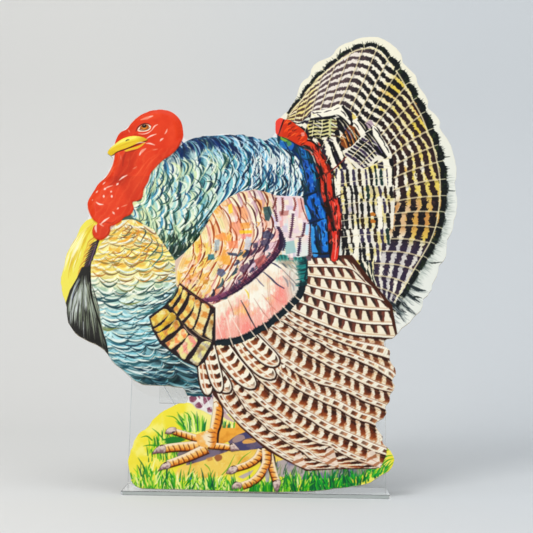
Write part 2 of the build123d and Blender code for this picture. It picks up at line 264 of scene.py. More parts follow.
def crescents(P, dv, pitch, bow, fn, seed, v0=0.2, v1=None, keep=1.0):
    """Rows of tapered brush strokes that bulge towards +V, one per feather edge.
    fn(q, u, r) returns a list of (offset in rows, width, colour, alpha)."""
    r = np.random.RandomState(seed)
    K = P.C.shape[0]
    v1 = K - 1.0 if v1 is None else v1
    rows = np.arange(v0, v1, dv)
    t = np.linspace(0, 1, 7)
    for a, v in enumerate(rows):
        j = int(min(v, K - 1.001))
        L = length(P.C[j][::12])
        nn = max(int(L / pitch), 1)
        ph = r.rand()
        for i in range(-1, nn + 1):
            if r.rand() > keep:
                continue
            ln = pitch * (0.85 + 0.6 * r.rand()) / L
            u0 = (i + ph + 0.25 * (r.rand() - 0.5)) * pitch / L
            vv = v + (r.rand() - 0.5) * dv * 0.55
            b = bow * (0.7 + 0.6 * r.rand())
            um = u0 + 0.5 * ln
            if um < -0.02 or um > 1.02:
                continue
            for (dw, wd, cc, al) in fn(vv / (K - 1.0), um, r):
                uu = u0 + t * ln
                q = along(P, uu, vv + dw + b * (1 - (2 * t - 1) ** 2))
                stroke(q, wd, cc, alpha=al, taper=(0.12, 0.3), n=9, soft=0.3)


def win(P):
    a, b, c, d = P.box
    return (slice(b, d), slice(a, c))


def put(P, colour, alpha=None, height=None):
    """Composite a colour (h, w, 3) and optional height into the canvas."""
    w = win(P)
    A = P.M if alpha is None else P.M * alpha
    A = np.clip(A, 0, 1)
    col[w] = col[w] * (1 - A[..., None]) + np.asarray(colour, np.float32) * A[..., None]
    if height is not None:
        hgt[w] = hgt[w] * (1 - A) + height * A


def polymask(pts, soft=0.6):
    """Anti-aliased mask of a closed polygon; returns box and mask."""
    p = arr(pts)
    a, b, c, d = clampbox(p[:, 0].min(), p[:, 1].min(), p[:, 0].max(), p[:, 1].max(), 3)
    if c <= a or d <= b:
        return None, None
    X = (np.arange(a, c) + 0.5) / S + X0
    Y = (np.arange(b, d) + 0.5) / S + Y0
    inside = np.zeros((d - b, c - a), bool)
    n = len(p)
    for i in range(n):
        x1, y1 = p[i]
        x2, y2 = p[(i + 1) % n]
        if y1 == y2:
            continue
        r = (Y >= min(y1, y2)) & (Y < max(y1, y2))
        if not r.any():
            continue
        xs = x1 + (Y[r] - y1) * (x2 - x1) / (y2 - y1)
        inside[r] ^= X[None, :] < xs[:, None]
    m = inside.astype(np.float32)
    k = max(int(round(soft)), 1)
    for _ in range(k):
        q = np.pad(m, 1, mode='edge')
        m = (q[:-2, 1:-1] + q[2:, 1:-1] + q[1:-1, :-2] + q[1:-1, 2:] + 2 * m) / 6
    return (a, b, c, d), m


def fill(pts, colour, alpha=1.0, soft=1, height=None, smoothn=0):
    if smoothn:
        p = arr(pts)
        pts = catmull(np.vstack([p, p[:1]]), smoothn)[:-1]
    box, m = polymask(pts, soft)
    if box is None:
        return
    P = Patch()
    P.box, P.M = box, m
    cc = colour
    if callable(colour):
        a, b, c, d = box
        X, Y = np.meshgrid((np.arange(a, c) + 0.5) / S + X0, (np.arange(b, d) + 0.5) / S + Y0)
        cc = colour(X, Y)
    put(P, cc, alpha, height)
    return P


def stroke(pts, w, colour, alpha=1.0, height=None, taper=(1, 1), n=None, soft=0.22, jag=0.0, seed=0):
    """Brush stroke along a smooth curve; w is the full width in artwork units,
    taper the width factors at its start and end (1 = none, 0 = pointed)."""
    L = length(pts)
    n = n or max(int(L * 1.2), 3)
    c = catmull(pts, n)
    t = np.linspace(0, 1, n)
    wid = w * 0.5 * np.interp(t, [0, 0.5, 1], [taper[0], 1, taper[1]])
    if jag:
        r = np.random.RandomState(seed)
        wid = wid * (1 + jag * (r.rand(n) - 0.5) * 2)
    m = w + 1
    a, b, cc, d = clampbox(c[:, 0].min() - m, c[:, 1].min() - m, c[:, 0].max() + m, c[:, 1].max() + m)
    if cc <= a or d <= b:
        return
    A = np.zeros((d - b, cc - a), np.float32)
    for i in range(n - 1):
        p, q = c[i], c[i + 1]
        ww = max(wid[i], wid[i + 1]) + soft + 0.3
        e, f, g, h = clampbox(min(p[0], q[0]) - ww, min(p[1], q[1]) - ww,
                              max(p[0], q[0]) + ww, max(p[1], q[1]) + ww, 0)
        if g <= e or h <= f:
            continue
        X = (np.arange(e, g) + 0.5) / S + X0
        Y = (np.arange(f, h) + 0.5) / S + Y0
        dx, dy = q - p
        l2 = dx * dx + dy * dy + 1e-9
        tt = np.clip(((X[None] - p[0]) * dx + (Y[:, None] - p[1]) * dy) / l2, 0, 1)
        dist = np.hypot(X[None] - p[0] - tt * dx, Y[:, None] - p[1] - tt * dy)
        wi = wid[i] + (wid[i + 1] - wid[i]) * tt
        v = 1 - smooth(-soft, soft, dist - wi)
        # thin strokes fade rather than vanish
        sub = A[f - b:h - b, e - a:g - a]
        np.maximum(sub, v, out=sub)
    P = Patch()
    P.box, P.M = (a, b, cc, d), A
    put(P, colour, alpha, height)
    return P


def _w(X, Y):
    """The canvas window covered by a fill's coordinate arrays."""
    x0 = int(round((X[0, 0] - 0.5 / S - X0) * S))
    y0 = int(round((Y[0, 0] - 0.5 / S - Y0) * S))
    return (slice(y0, y0 + X.shape[0]), slice(x0, x0 + X.shape[1]))


def mix(a, b, t):
    t = np.asarray(t)[..., None]
    return a * (1 - t) + b * t


def ramp(t, stops):
    """Piecewise colour ramp. stops: [(pos, colour)]"""
    xs = [s[0] for s in stops]
    cs = np.array([s[1] for s in stops])
    return np.stack([np.interp(t, xs, cs[:, k]) for k in range(3)], -1).astype(np.float32)


# ---------------------------------------------------------------- tail fan
RAYS = [  # inner ring point, rim point
    ((286, 121), (287.5, 114.5)), ((294, 122), (300, 99)), ((302, 122), (310.5, 84)),
    ((311, 114), (323.5, 71)), ((320, 111), (337, 59.5)), ((330, 109.5), (351, 50)),
    ((339, 106), (364, 46)), ((350, 112), (378, 47)), ((357, 119), (390, 58)),
    ((364, 127), (400, 70)), ((372, 131), (409, 84)), ((379, 139), (417, 99)),
    ((385, 148), (425, 113)), ((391, 157), (432, 130)), ((392, 168), (438, 146)),
    ((391, 180), (442, 162)), ((390, 192), (445, 180)), ((388, 204), (445, 197)),
    ((385, 216), (443.5, 213)), ((382, 228), (440.5, 229)), ((379, 240), (434.5, 245)),
    ((376, 252), (426.5, 259)), ((374, 264), (418.5, 272)), ((374, 276), (410.5, 286)),
    ((377, 288), (402, 299)), ((382, 299), (394, 312))]
ROOT = [(282, 122), (288, 125), (296, 129), (303, 133), (307, 138), (313, 143), (318, 149),
        (322, 156), (325, 164), (328, 172), (331, 181), (334, 192), (336.5, 204),
        (338.5, 216), (340, 228), (341, 240), (342, 252), (345, 259), (351, 264),
        (357, 269), (362, 274), (366, 279), (370, 284), (373, 289), (377, 294), (381, 299)]
CREAM = hexc('efe9d2')
CREAM2 = hexc('efe9d6')
BLACK = hexc('15161a')
BROWN = hexc('3a2423')
TAUPE = hexc('4f3d42')
GREEN_BLACK = hexc('17271f')
YEL = hexc('e0c650')
PURP = hexc('3b3048')


def tail():
    # whole fan ground: pale cream stock, turning a cooler pale grey lower down
    fill([(270, 125), (283, 108), (296, 80), (312, 58), (334, 42), (356, 33), (384, 33), (404, 50),
          (420, 75), (436, 105), (452, 135), (462, 175), (460, 215), (452, 250), (444, 285),
          (426, 315), (404, 342), (388, 345), (330, 262), (300, 140)],
         lambda X, Y: mix(hexc('eeead6'), hexc('e4e6de'), smooth(60, 210, Y)),
         soft=1)
    inner = [r[0] for r in RAYS]
    rim = [r[1] for r in RAYS]
    nr = len(RAYS)
    # ---- outer fan: concentric bars broken at each feather's edge
    lev = [0, 0.5, 1.0]
    midp = [((a[0] + b[0]) / 2, (a[1] + b[1]) / 2) for a, b in RAYS]
    # slight outward bow of the rays
    P = loft([inner, midp, rim], lev)
    # convert arc-length U to ray index: each curve is resampled by arc length,
    # so the ray index is read off the rim's own arc length
    u, v = P.U, P.V
    rimc = arr(rim)
    s = np.concatenate([[0], np.cumsum(np.hypot(*np.diff(rimc, axis=0).T))])
    innc = arr(inner)
    si = np.concatenate([[0], np.cumsum(np.hypot(*np.diff(innc, axis=0).T))])
    k_rim = np.interp(u, s / s[-1], np.arange(nr))
    k_in = np.interp(u, si / si[-1], np.arange(nr))
    k = k_in * (1 - v) + k_rim * v
    w = win(P)
    n1, n2, n3 = N_FINE[w], N_MID[w], N_HAIR[w]
    ki = np.floor(k)
    kf = k - ki
    # number of bars along a ray: seven upper left, six to the right
    nb = np.interp(k, [0, 3, 8, 13, 18, 25], [5, 7.5, 8.4, 6.6, 5.2, 4.2])
    ph = np.interp(k, np.arange(nr), hash2(np.arange(nr), 3) * 0.22)
    step = (hash2(ki, 5) - 0.5) * 0.34
    slant = (kf - 0.5) * np.interp(k, [0, 6, 8, 25], [0.10, 0.12, -0.10, -0.06])
    t = v * nb + ph + step + slant + (n1 - 0.5) * 0.42 + (n3 - 0.5) * 0.16
    f = t - np.floor(t)
    duty = np.interp(k, [0, 4, 7, 10, 14, 20, 25], [0.56, 0.58, 0.60, 0.68, 0.70, 0.66, 0.66]) + 0.10 * (hash2(ki, np.floor(t), 21) - 0.5)
    dark = smooth(0.06, 0.13, f) * (1 - smooth(duty, duty + 0.07, f))
    # light bars: cream at the left, yellow along the middle right
    yel = smooth(8.3, 9.6, k) * (1 - smooth(19.5, 21, k))
    yel = yel * smooth(0.30, 0.62, v + (n2 - 0.5) * 0.9)
    yel = np.maximum(yel, (1 - smooth(2.2, 3.4, k)) * 0.55)
    light = mix(CREAM2, YEL, np.clip(yel * (0.25 + 0.85 * hash2(ki, np.floor(t), 2)), 0, 0.9))
    light = mix(light, hexc('c68a4a'), smooth(16.4, 17.6, k) * (1 - smooth(19.0, 20.2, k)) * (0.3 + 0.6 * hash2(ki, np.floor(t), 12)))
    light = mix(light, hexc('a9a6b4'), smooth(19.6, 20.6, k) * 0.55 * hash2(ki, np.floor(t), 13))
    pale_pink = hexc('e2d6d3')
    light = mix(light, pale_pink, smooth(2.5, 3.5, k) * (1 - smooth(5.5, 7, k)) * 0.55)
    light = mix(light, hexc('d98c3c'), smooth(0.88, 0.99, hash2(ki, np.floor(t), 8)) * yel * 0.8)
    # dark bars: taupe upper left, near-black in the middle, brown right, violet low
    dk = mix(TAUPE, BLACK, smooth(5.2, 8.2, k))
    dk = mix(dk, hexc('51301f'), (1 - smooth(1.8, 3.0, k)) * 0.6)
    dk = mix(dk, BROWN, smooth(9, 11.5, k) * (0.6 + 0.4 * n2))
    dk = mix(dk, BLACK, smooth(16, 18, k) * 0.75)
    dk = mix(dk, PURP, smooth(19.2, 21, k) * 0.9)
    dk = mix(dk, hexc('6b4a44'), np.clip((n1 - 0.55) * 2.2, 0, 0.5))
    # dark bars soften upper left
    dens = np.interp(k, [0, 2.6, 3.4, 5.5, 8], [0.92, 0.92, 0.86, 0.92, 1.0])
    c = mix(light, dk, dark * dens)
    # feather edges: hair lines of pale stock with a thin shadow beside
    rw = np.interp(v, [0, 1], [0.065, 0.045]) * np.interp(k, [0, 6, 13, 25], [0.8, 1.0, 1.1, 0.9])
    edge = 1 - smooth(rw * 0.5, rw * 1.3, np.minimum(kf, 1 - kf))
    c = mix(c, hexc('dfd0a8'), edge * 0.8)
    sh = smooth(rw * 1.0, rw * 1.6, kf) * (1 - smooth(rw * 2.0, rw * 4.5, kf))
    c = c * (1 - 0.22 * sh[..., None])
    rel = 0.35 * np.sin(np.pi * np.clip(kf, 0, 1)) ** 0.8 + 0.10 * (1 - dark)
    put(P, c, height=0.9 + rel)
    # ---- inner fan: bold black and white sweeps
    root = ROOT
    P = loft([root, inner])
    u, v = P.U, P.V
    w = win(P)
    n1, n2, n3 = N_FINE[w], N_MID[w], N_HAIR[w]
    rc = arr(root)
    sr = np.concatenate([[0], np.cumsum(np.hypot(*np.diff(rc, axis=0).T))])
    k = np.interp(u, sr / sr[-1], np.arange(nr)) * (1 - v) + np.interp(u, si / si[-1], np.arange(nr)) * v
    kq = k / 1.6
    ki = np.floor(kq)
    kf = kq - ki
    nb = np.interp(k, [0, 4, 9, 13, 17, 20, 25], [1.5, 3.0, 5.4, 5.6, 4.6, 3.4, 1.6])
    t = v * nb + (hash2(ki, 9) - 0.5) * 0.8 + (n1 - 0.5) * 0.5 + (kf - 0.5) * 0.25
    f = t - np.floor(t)
    wd = 0.42 + 0.2 * hash2(ki, np.floor(t), 4)
    dark = smooth(0.03, 0.10, f) * (1 - smooth(wd, wd + 0.08, f))
    light = mix(CREAM2, YEL, smooth(0.72, 0.86, hash2(ki, np.floor(t), 6)) * 0.7)
    light = mix(light, hexc('c9d2c2'), smooth(0.8, 0.9, hash2(ki, np.floor(t), 16)) * 0.6)
    dk = mix(BLACK, PURP, smooth(0.6, 0.8, hash2(ki, np.floor(t), 7)) * 0.7)
    dk = mix(dk, hexc('16332f'), smooth(17, 19, k) * 0.6)
    c = mix(light, dk, dark)
    edge = 1 - smooth(0.02, 0.05, np.minimum(kf, 1 - kf))
    c = mix(c, hexc('e6d9b8'), edge * 0.75)
    put(P, c, height=1.0 + 0.25 * (1 - dark))
    detail_inner()
    rim_band(rim)


def detail_inner():
    W = hexc('f3eedd')
    K = hexc('131418')

    def jagfill(pts, c, h=1.25, seed=1):
        fill(pts, c, soft=1, height=h)

    # the broad pale sweep and its black companions, upper inner fan
    jagfill([(311, 112), (322, 111), (331, 109), (338, 105), (343, 108), (350, 117), (357, 125), (362, 131),
             (358, 134), (352, 128), (345, 121), (339, 116.5), (330, 117), (320, 118), (311, 119)], W)
    stroke([(311, 120.5), (321, 119.5), (331, 118), (338, 117), (345, 122), (350, 128)], 2.4, K, height=0.95)
    # yellow feather with black bars below it
    jagfill([(309, 122), (320, 121), (333, 120), (340, 121), (336, 131), (328, 138), (318, 139), (309, 137)], hexc('d6cf94'))
    for i, y in enumerate((122.4, 126, 129.6, 133.2, 136.8)):
        stroke([(309, y + 1.8), (316, y + 0.2), (322, y + 0.8), (328, y - 0.6)], 2.2, K, taper=(0.8, 0.8), jag=0.3, seed=i)
        stroke([(331, y - 0.4), (335, y + 0.4), (339, y + 0.2)], 2.0, K if i % 2 else hexc('5a4632'), taper=(0.8, 0.6), jag=0.3, seed=i + 30)
    stroke([(314, 122), (313, 130), (312, 137)], 0.9, hexc('e9e2b4'))
    stroke([(322, 121), (322, 130), (320, 138)], 0.9, hexc('e9e2b4'))
    stroke([(331, 119), (330, 139)], 1.1, hexc('b9c294'))
    # black wedge and white blocks toward the centre
    jagfill([(336, 119), (342, 118), (352, 131), (362, 141), (356, 147), (346, 137), (338, 130)], K, 1.0)
    stroke([(343, 108), (348, 115), (352, 123), (351, 127)], 2.8, K)
    jagfill([(352, 122), (357, 119), (363, 128), (366, 134), (363, 137), (358, 132)], W)
    jagfill([(357, 121), (361, 119), (369, 131), (366, 134)], K, 1.0)
    jagfill([(365, 124), (371, 121), (374, 126), (369, 130)], hexc('b9a3ad'))
    # orange-brown feather patch
    jagfill([(344, 134), (349, 126), (355, 128), (360, 136), (354, 145), (346, 150), (341, 146), (340, 139)], hexc('8a4a1e'))
    for i in range(4):
        stroke([(343 + i * 4, 132 - i * 0.6), (347 + i * 4, 141), (349 + i * 3.4, 148 - i * 1.6)], 2.3, K, taper=(0.6, 0.7))
    for i in range(4):
        stroke([(341.2 + i * 4, 135 - i), (345 + i * 4, 143), (347 + i * 3.4, 149 - i * 1.6)], 0.9, hexc('e8b066'), taper=(0.5, 0.5))
    # diagonal striped feathers: violet and cream
    jagfill([(361, 137), (368, 131), (380, 144), (391, 157), (380, 160), (368, 167), (357, 170), (346, 158), (342, 152), (352, 147)], hexc('e9e3d2'))
    for i in range(9):
        a = i / 8.0
        x0, y0 = 346 + a * 22, 155 - a * 20
        stroke([(x0, y0), (x0 + 9, y0 + 5.5), (x0 + 18 - a * 3, y0 + 14)], 2.9, K if i % 3 else hexc('43344f'), taper=(0.8, 0.6), jag=0.25, seed=i)
    stroke([(352, 158), (362, 147), (370, 141)], 0.8, hexc('e2d2a5'))
    stroke([(360, 166), (372, 154), (380, 148)], 0.8, hexc('e2d2a5'))
    # the long black wedge and the bold white strip on the right
    jagfill([(365, 134), (371, 131), (379, 144), (388, 156), (386, 160), (378, 155), (370, 144)], K, 1.0)
    jagfill([(372, 126), (376, 128), (382, 138), (388, 147), (392, 156), (391, 162), (386, 156), (379, 145), (373, 136)], W, 1.4)
    jagfill([(383, 162), (389, 160), (390, 172), (389, 186), (385, 186), (384, 174)], W, 1.4)
    jagfill([(389, 160), (393, 159), (394, 175), (392, 188), (389, 188)], K, 1.0)
    jagfill([(377, 165), (383, 162), (384, 176), (384, 187), (379, 187)], hexc('2b2638'), 1.0)
    # feathers under it: yellow with dark bars
    jagfill([(357, 171), (366, 169), (377, 164), (379, 175), (378, 186), (366, 190), (358, 190)], hexc('e9db7c'))
    for i in range(4):
        x = 358.5 + i * 5.4
        stroke([(x, 172 - i * 1.6), (x + 1.8, 180), (x + 2.2, 189)], 2.4, K if i != 1 else hexc('372c45'), taper=(0.9, 0.8), jag=0.3, seed=i + 4)
    stroke([(343, 154), (356, 170), (368, 168), (390, 158)], 1.0, hexc('e6dbb6'))
    # black and white verticals beside the red band
    for (x0, y0, x1, y1, x2, y2, wd, cc) in (
            (328, 146, 333, 158, 337, 170, 3.2, W), (332, 144, 337, 156, 342, 166, 2.6, K),
            (335, 142, 338, 150, 342, 158, 3.0, W), (331.5, 150, 335, 160, 339, 169, 2.0, K),
            (338, 174, 337, 185, 338, 196, 4.6, W), (342.5, 172, 342, 184, 343, 197, 3.0, K),
            (346, 172, 346.5, 184, 347, 197, 2.2, hexc('e8dfc0')), (349.5, 172, 349, 184, 350, 197, 2.6, K),
            (353.5, 173, 352.5, 184, 353.5, 197, 2.8, W), (333, 172, 333.5, 184, 335, 198, 2.0, K)):
        stroke([(x0, y0), (x1, y1), (x2, y2)], wd, cc, taper=(0.85, 0.9), jag=0.22, seed=int(x0), height=1.2 if cc is W else 1.0)
    # lower block of black, white and violet strips
    rows = [(198, 230, [(340, K, 2.2), (344, W, 4), (348.5, K, 3.2), (353, hexc('efe2a8'), 1.6), (357, K, 3.0),
                        (361, W, 2.2), (365, hexc('3c2f55'), 3.2), (369.5, W, 2.0), (373.5, K, 4.0), (379, W, 3.6)]),
            (230, 262, [(342, K, 2.4), (346, W, 2.0), (350, hexc('16332f'), 3.6), (355, W, 3.0), (360, K, 4.2),
                        (365.5, W, 2.4), (370, hexc('332a40'), 3.4), (375, W, 2.2)])]
    for (ya, yb, strips) in rows:
        for i, (x, cc, wd) in enumerate(strips):
            dx = (yb - ya) * 0.10
            stroke([(x - 1, ya), (x + dx * 0.6, (ya + yb) / 2), (x + dx - (3 if ya > 229 else 0), yb)], wd, cc,
                   taper=(0.9, 0.85), jag=0.3, seed=i + int(ya), height=1.2 if cc is W else 1.0)
    for y, xa, xb in ((197.5, 334, 392), (230.0, 338, 388), (215.5, 350, 392)):
        stroke([(xa, y + 1.0), ((xa + xb) / 2, y - 1.0), (xb, y - 2.0)], 0.9, hexc('e9dfc2'))
    for (x0, y0, x1, y1, cc, wd) in ((339, 121, 345, 130, 'e6dcc0', 1.1), (343, 121, 350, 132, 'd8cba8', 1.0), (347, 126, 355, 139, 'e9e0c8', 1.2), (344, 128, 352, 140, '7c6f9a', 1.0),
                                     (354, 134, 360, 142, 'd8cba8', 1.0), (368, 134, 379, 149, 'e6dcc0', 1.2), (371, 139, 382, 154, '6f5f88', 1.2), (366, 136, 374, 148, 'cfc2a0', 1.0),
                                     (359, 122, 366, 131, 'e6dcc0', 1.0), (374, 129, 381, 139, '17171b', 1.6), (379, 137, 385, 146, '17171b', 1.4), (384, 146, 389, 154, '17171b', 1.3),
                                     (354, 124, 359, 131, '2b2428', 1.4), (313, 114.6, 321, 113.6, '3a3236', 1.2), (324, 113.4, 331, 111.4, '4a4044', 1.2), (334, 111, 339, 109, '3a3236', 1.2),
                                     (341, 112, 346, 117.6, '2b2428', 1.4), (348, 119.6, 352, 125, '2b2428', 1.3), (366, 124, 371, 128, '2b2428', 1.2)):
        stroke([(x0, y0), ((x0 + x1) / 2 + 0.6, (y0 + y1) / 2 - 0.4), (x1, y1)], wd, hexc(cc), alpha=0.9, taper=(0.4, 0.5), jag=0.3, seed=int(x0 + y0), height=1.2)
    # blocks of jagged upright bars between the feather edges of the inner fan
    r = np.random.RandomState(19)
    BL = [(171, 187, 334, 392), (188, 200, 335, 394), (201, 215, 337, 395), (216, 230, 339, 394), (231, 244, 342, 389), (245, 261, 344, 382)]
    for (ya, yb, xa, xb) in BL:
        fill([(xa + 1, ya), (xb, ya - 2), (xb - 1, yb), (xa + 3, yb)], lambda X, Y: mix(mix(hexc('f1ecdc'), hexc('e6d68c'), smooth(0.52, 0.72, N_MID[_w(X, Y)])), hexc('cfc6d2'), smooth(0.6, 0.75, N_BIG[_w(X, Y)])), alpha=0.93, soft=1, height=1.15)
        x = xa + 2.5
        while x < xb - 1.5:
            wd = 2.2 + 1.7 * r.rand()
            cc = [K, K, K, hexc('2b1c14'), hexc('38304c'), hexc('16332f')][int(6 * r.rand())]
            j_ = (r.rand() - 0.5) * 1.6
            stroke([(x, ya - 0.8 + r.rand()), (x + 0.9 + j_, (ya + yb) / 2), (x + 1.4, yb + 0.8 - r.rand())], wd, cc, alpha=0.95, taper=(0.85, 0.75), jag=0.35, seed=int(x * 7 + ya), height=1.0)
            x += wd + 2.0 + 1.6 * r.rand()
    for (pts_, cc) in (([(384, 162), (389, 168), (390, 186)], W), ([(339, 173), (338, 186), (339, 197)], W), ([(379, 199), (380, 214), (381, 229)], W), ([(356, 231), (357, 246), (354, 260)], W)):
        stroke(pts_, 4.2, cc, taper=(0.8, 0.8), jag=0.25, seed=3, height=1.3)
    for i in range(70):
        x = 306 + 70 * r.rand()
        y = 112 + 58 * r.rand()
        if (x - 306) * 0.75 + 104 > y + 14 or y > 124 + (x - 300) * 0.75 or x > 386 or y > 168:
            continue
        L = 3 + 5 * r.rand()
        cc = [K, W, hexc('3b3048'), hexc('e3dca8')][int(r.rand() * 4)]
        stroke([(x, y), (x + L * 0.8, y + L * 0.45)], 0.9 + 0.9 * r.rand(), cc, alpha=0.75, taper=(0.7, 0.5), n=4)
    for (xa, ya, xb, yb) in ((336, 186, 392, 178), (338, 206, 394, 202), (340, 222, 392, 218), (342, 238, 386, 236), (344, 250, 380, 250), (345, 164, 392, 168)):
        stroke([(xa, ya), ((xa + xb) / 2, (ya + yb) / 2 - 1.5), (xb, yb)], 0.8, hexc('e2d8ba'), alpha=0.85)
    for y in (216, 223):
        fill([(370, y - 2), (373, y - 3), (376, y - 1), (375, y + 1), (371, y + 1)], hexc('c07a2c'))


def rim_band(rim):
    """Dark band inside the pale fringe: one rounded, barbed tip per feather."""
    rr = arr(rim)
    N = 1000
    c = catmull(rr, N)
    nrm = np.gradient(c, axis=0)
    nrm = np.stack([nrm[:, 1], -nrm[:, 0]], 1)
    nrm /= np.hypot(*nrm.T)[:, None]
    seg = np.hypot(*np.diff(rr, axis=0).T)
    srr = np.concatenate([[0], np.cumsum(seg)]) / seg.sum()
    k = np.interp(np.linspace(0, 1, N), srr, np.arange(len(rr)))
    kf = k - np.floor(k)
    r = np.random.RandomState(5)
    dome = np.sin(np.pi * kf) ** 0.7
    inner_off = np.interp(k, [0, 2, 5, 8, 12, 16, 20, 25], [1.2, 2.0, 2.6, 3.2, 4.2, 4.4, 4.2, 3.4])
    outer_off = np.interp(k, [0, 3, 8, 13, 16, 20, 25], [0.6, 0.5, 0.4, 0.6, 0.4, 0.0, 0.0])
    amp = np.interp(k, [0, 6, 10, 20, 25], [1.5, 1.8, 2.6, 2.8, 2.0])
    jag = np.repeat(r.rand(N // 2), 2) * np.interp(k, [0, 5, 8, 20, 25], [1.3, 1.0, 1.4, 1.8, 2.0])
    a = c + nrm * (outer_off + amp * dome - 0.5 + jag)[:, None]
    b = c - nrm * (inner_off - 1.2 * dome + r.rand(N) * 0.8)[:, None]
    fill(np.vstack([a, b[::-1]]), lambda X, Y: mix(hexc('10171a'), hexc('2a3a20'), smooth(0.5, 0.8, N_FINE[_w(X, Y)])), soft=1, height=0.95)
    # pale line inside the band, as if each feather were edged in buff
    d = c - nrm * (inner_off + 0.9)[:, None]
    stroke(d[::12], 1.3, hexc('e9dfb4'), alpha=0.85)
    for i in np.arange(0.0, 25.01, 1.0):
        j = int(np.interp(i, k, np.arange(N)))
        stroke([c[j] - nrm[j] * 5.0, c[j] + nrm[j] * 1.6], 0.8, hexc('e0d8b4'), alpha=0.9)
    # fine barbs out onto the fringe
    for i in range(520):
        j = int(r.rand() * (N - 1))
        p = c[j] + nrm[j] * (outer_off[j] + amp[j] * dome[j] - 0.4)
        L = 0.8 + 2.4 * r.rand() ** 2
        dd = nrm[j] + (r.rand(2) - 0.5) * 0.8
        stroke([p, p + dd * L], 0.5, hexc('232b26'), alpha=0.7, taper=(1, 0.2), n=3)
    # the longer dark tips
    for (x0, y0, x1, y1, x2, y2, wd) in ((338, 59, 339.5, 55, 340.5, 49.5, 1.3), (394, 73, 397, 66, 400.5, 60.5, 1.9),
                                         (430, 129, 432.5, 126, 436, 125.3, 1.9), (440, 158.5, 445, 157.6, 450, 157, 1.2),
                                         (443, 190.5, 449, 191, 455, 191.5, 1.2), (311.5, 85, 311.5, 81.5, 312, 79, 1.0),
                                         (424, 262, 433, 263.4, 442, 262.4, 1.5), (414, 297, 418, 297.5, 422, 298.6, 1.4)):
        stroke([(x0, y0), (x1, y1), (x2, y2)], wd, hexc('1b231f'), taper=(1.2, 0.25), jag=0.3, seed=int(x0))
    # soft grey-green shading on the fringe, right and low
    for i in range(700):
        kk = 15.5 + 9.4 * r.rand() ** 0.7
        j = int(np.interp(kk, k, np.arange(N)))
        p = c[j] + nrm[j] * (1.5 + 1.5 * r.rand())
        L = 2 + 7 * r.rand()
        dd = nrm[j] + (r.rand(2) - 0.5) * 0.5
        stroke([p, p + dd * L], 0.6, [hexc('c9cfc4'), hexc('9fa8a0'), hexc('dfe4dc'), hexc('7d8a86')][int(r.rand() * 4)], alpha=0.35, taper=(1, 0.2), n=3)
    # lower right: black plumes sweeping past the flight feathers
    for (x0, y0, x1, y1, x2, y2, wd) in ((400, 300, 408, 309, 416, 315, 3.6), (384, 301, 395, 307, 406, 313, 5.0), (387, 312, 391, 322, 394, 332, 4.0),
                                         (392, 305, 400, 316, 404, 322, 2.6), (410, 286, 418, 290, 426, 291, 3.2), (405, 292, 414, 299, 420, 303, 3.0)):
        stroke([(x0, y0), (x1, y1), (x2, y2)], wd, hexc('182024'), taper=(0.7, 0.15), jag=0.3, seed=int(x0), alpha=0.92)
        for q in range(5):
            ox, oy = (r.rand(2) - 0.5) * wd * 1.4
            stroke([(x0 + ox, y0 + oy), (x1 + ox, y1 + oy), (x2 + ox + 1, y2 + oy + 1)], 0.7, hexc('3a474a'), taper=(0.7, 0.1), alpha=0.6, n=6)
    for i in range(90):
        x, y = 384 + 26 * r.rand(), 296 + 30 * r.rand()
        if y > 338 or (x - 380) * 0.9 < (y - 300) * 0.35:
            continue
        stroke([(x, y), (x + 2.4, y + 2.6), (x + 5.4, y + 4)], 0.8, hexc('f0f0e8' if r.rand() < 0.55 else '5b676a'), alpha=0.65, taper=(0.6, 0.1), n=4)


def scales(P, pitch, fn, L=(1.0, 1.45), jit=0.25, seed=1, off=0.5):
    """Overlapping scales on a patch. pitch: scale width in units along U.
    fn: not used. Tips point towards +V."""
    u, v = P.U, P.V
    x = u * P.len / pitch
    j = np.floor(v)

    def loc(row):
        xx = x + off * (np.mod(row, 2)) + (hash2(row, seed) - 0.5) * 0.6
        idx = np.floor(xx + (hash2(row, 3, seed) - 0.5) * 0.3)
        xc = xx + (hash2(row, 3, seed) - 0.5) * 0.3 - idx - 0.5
        tip = L[0] + (L[1] - L[0]) * np.sqrt(np.clip(1 - (2 * xc) ** 2, 0, 1))
        tip = tip + (hash2(row, idx, seed + 1) - 0.5) * jit
        return xc, idx, tip, (v - row) / tip
    xcu, iu, tu, su = loc(j - 1)
    xcl, il, tl, sl = loc(j)
    up = su < 1.0
    xc = np.where(up, xcu, xcl)
    idx = np.where(up, iu, il)
    row = np.where(up, j - 1, j)
    s = np.where(up, su, sl)
    # shadow cast by the scale above just below its tip
    gap = np.where(up, 9.0, (v - (j - 1)) - tu)
    return xc, s, row, idx, gap, u, v


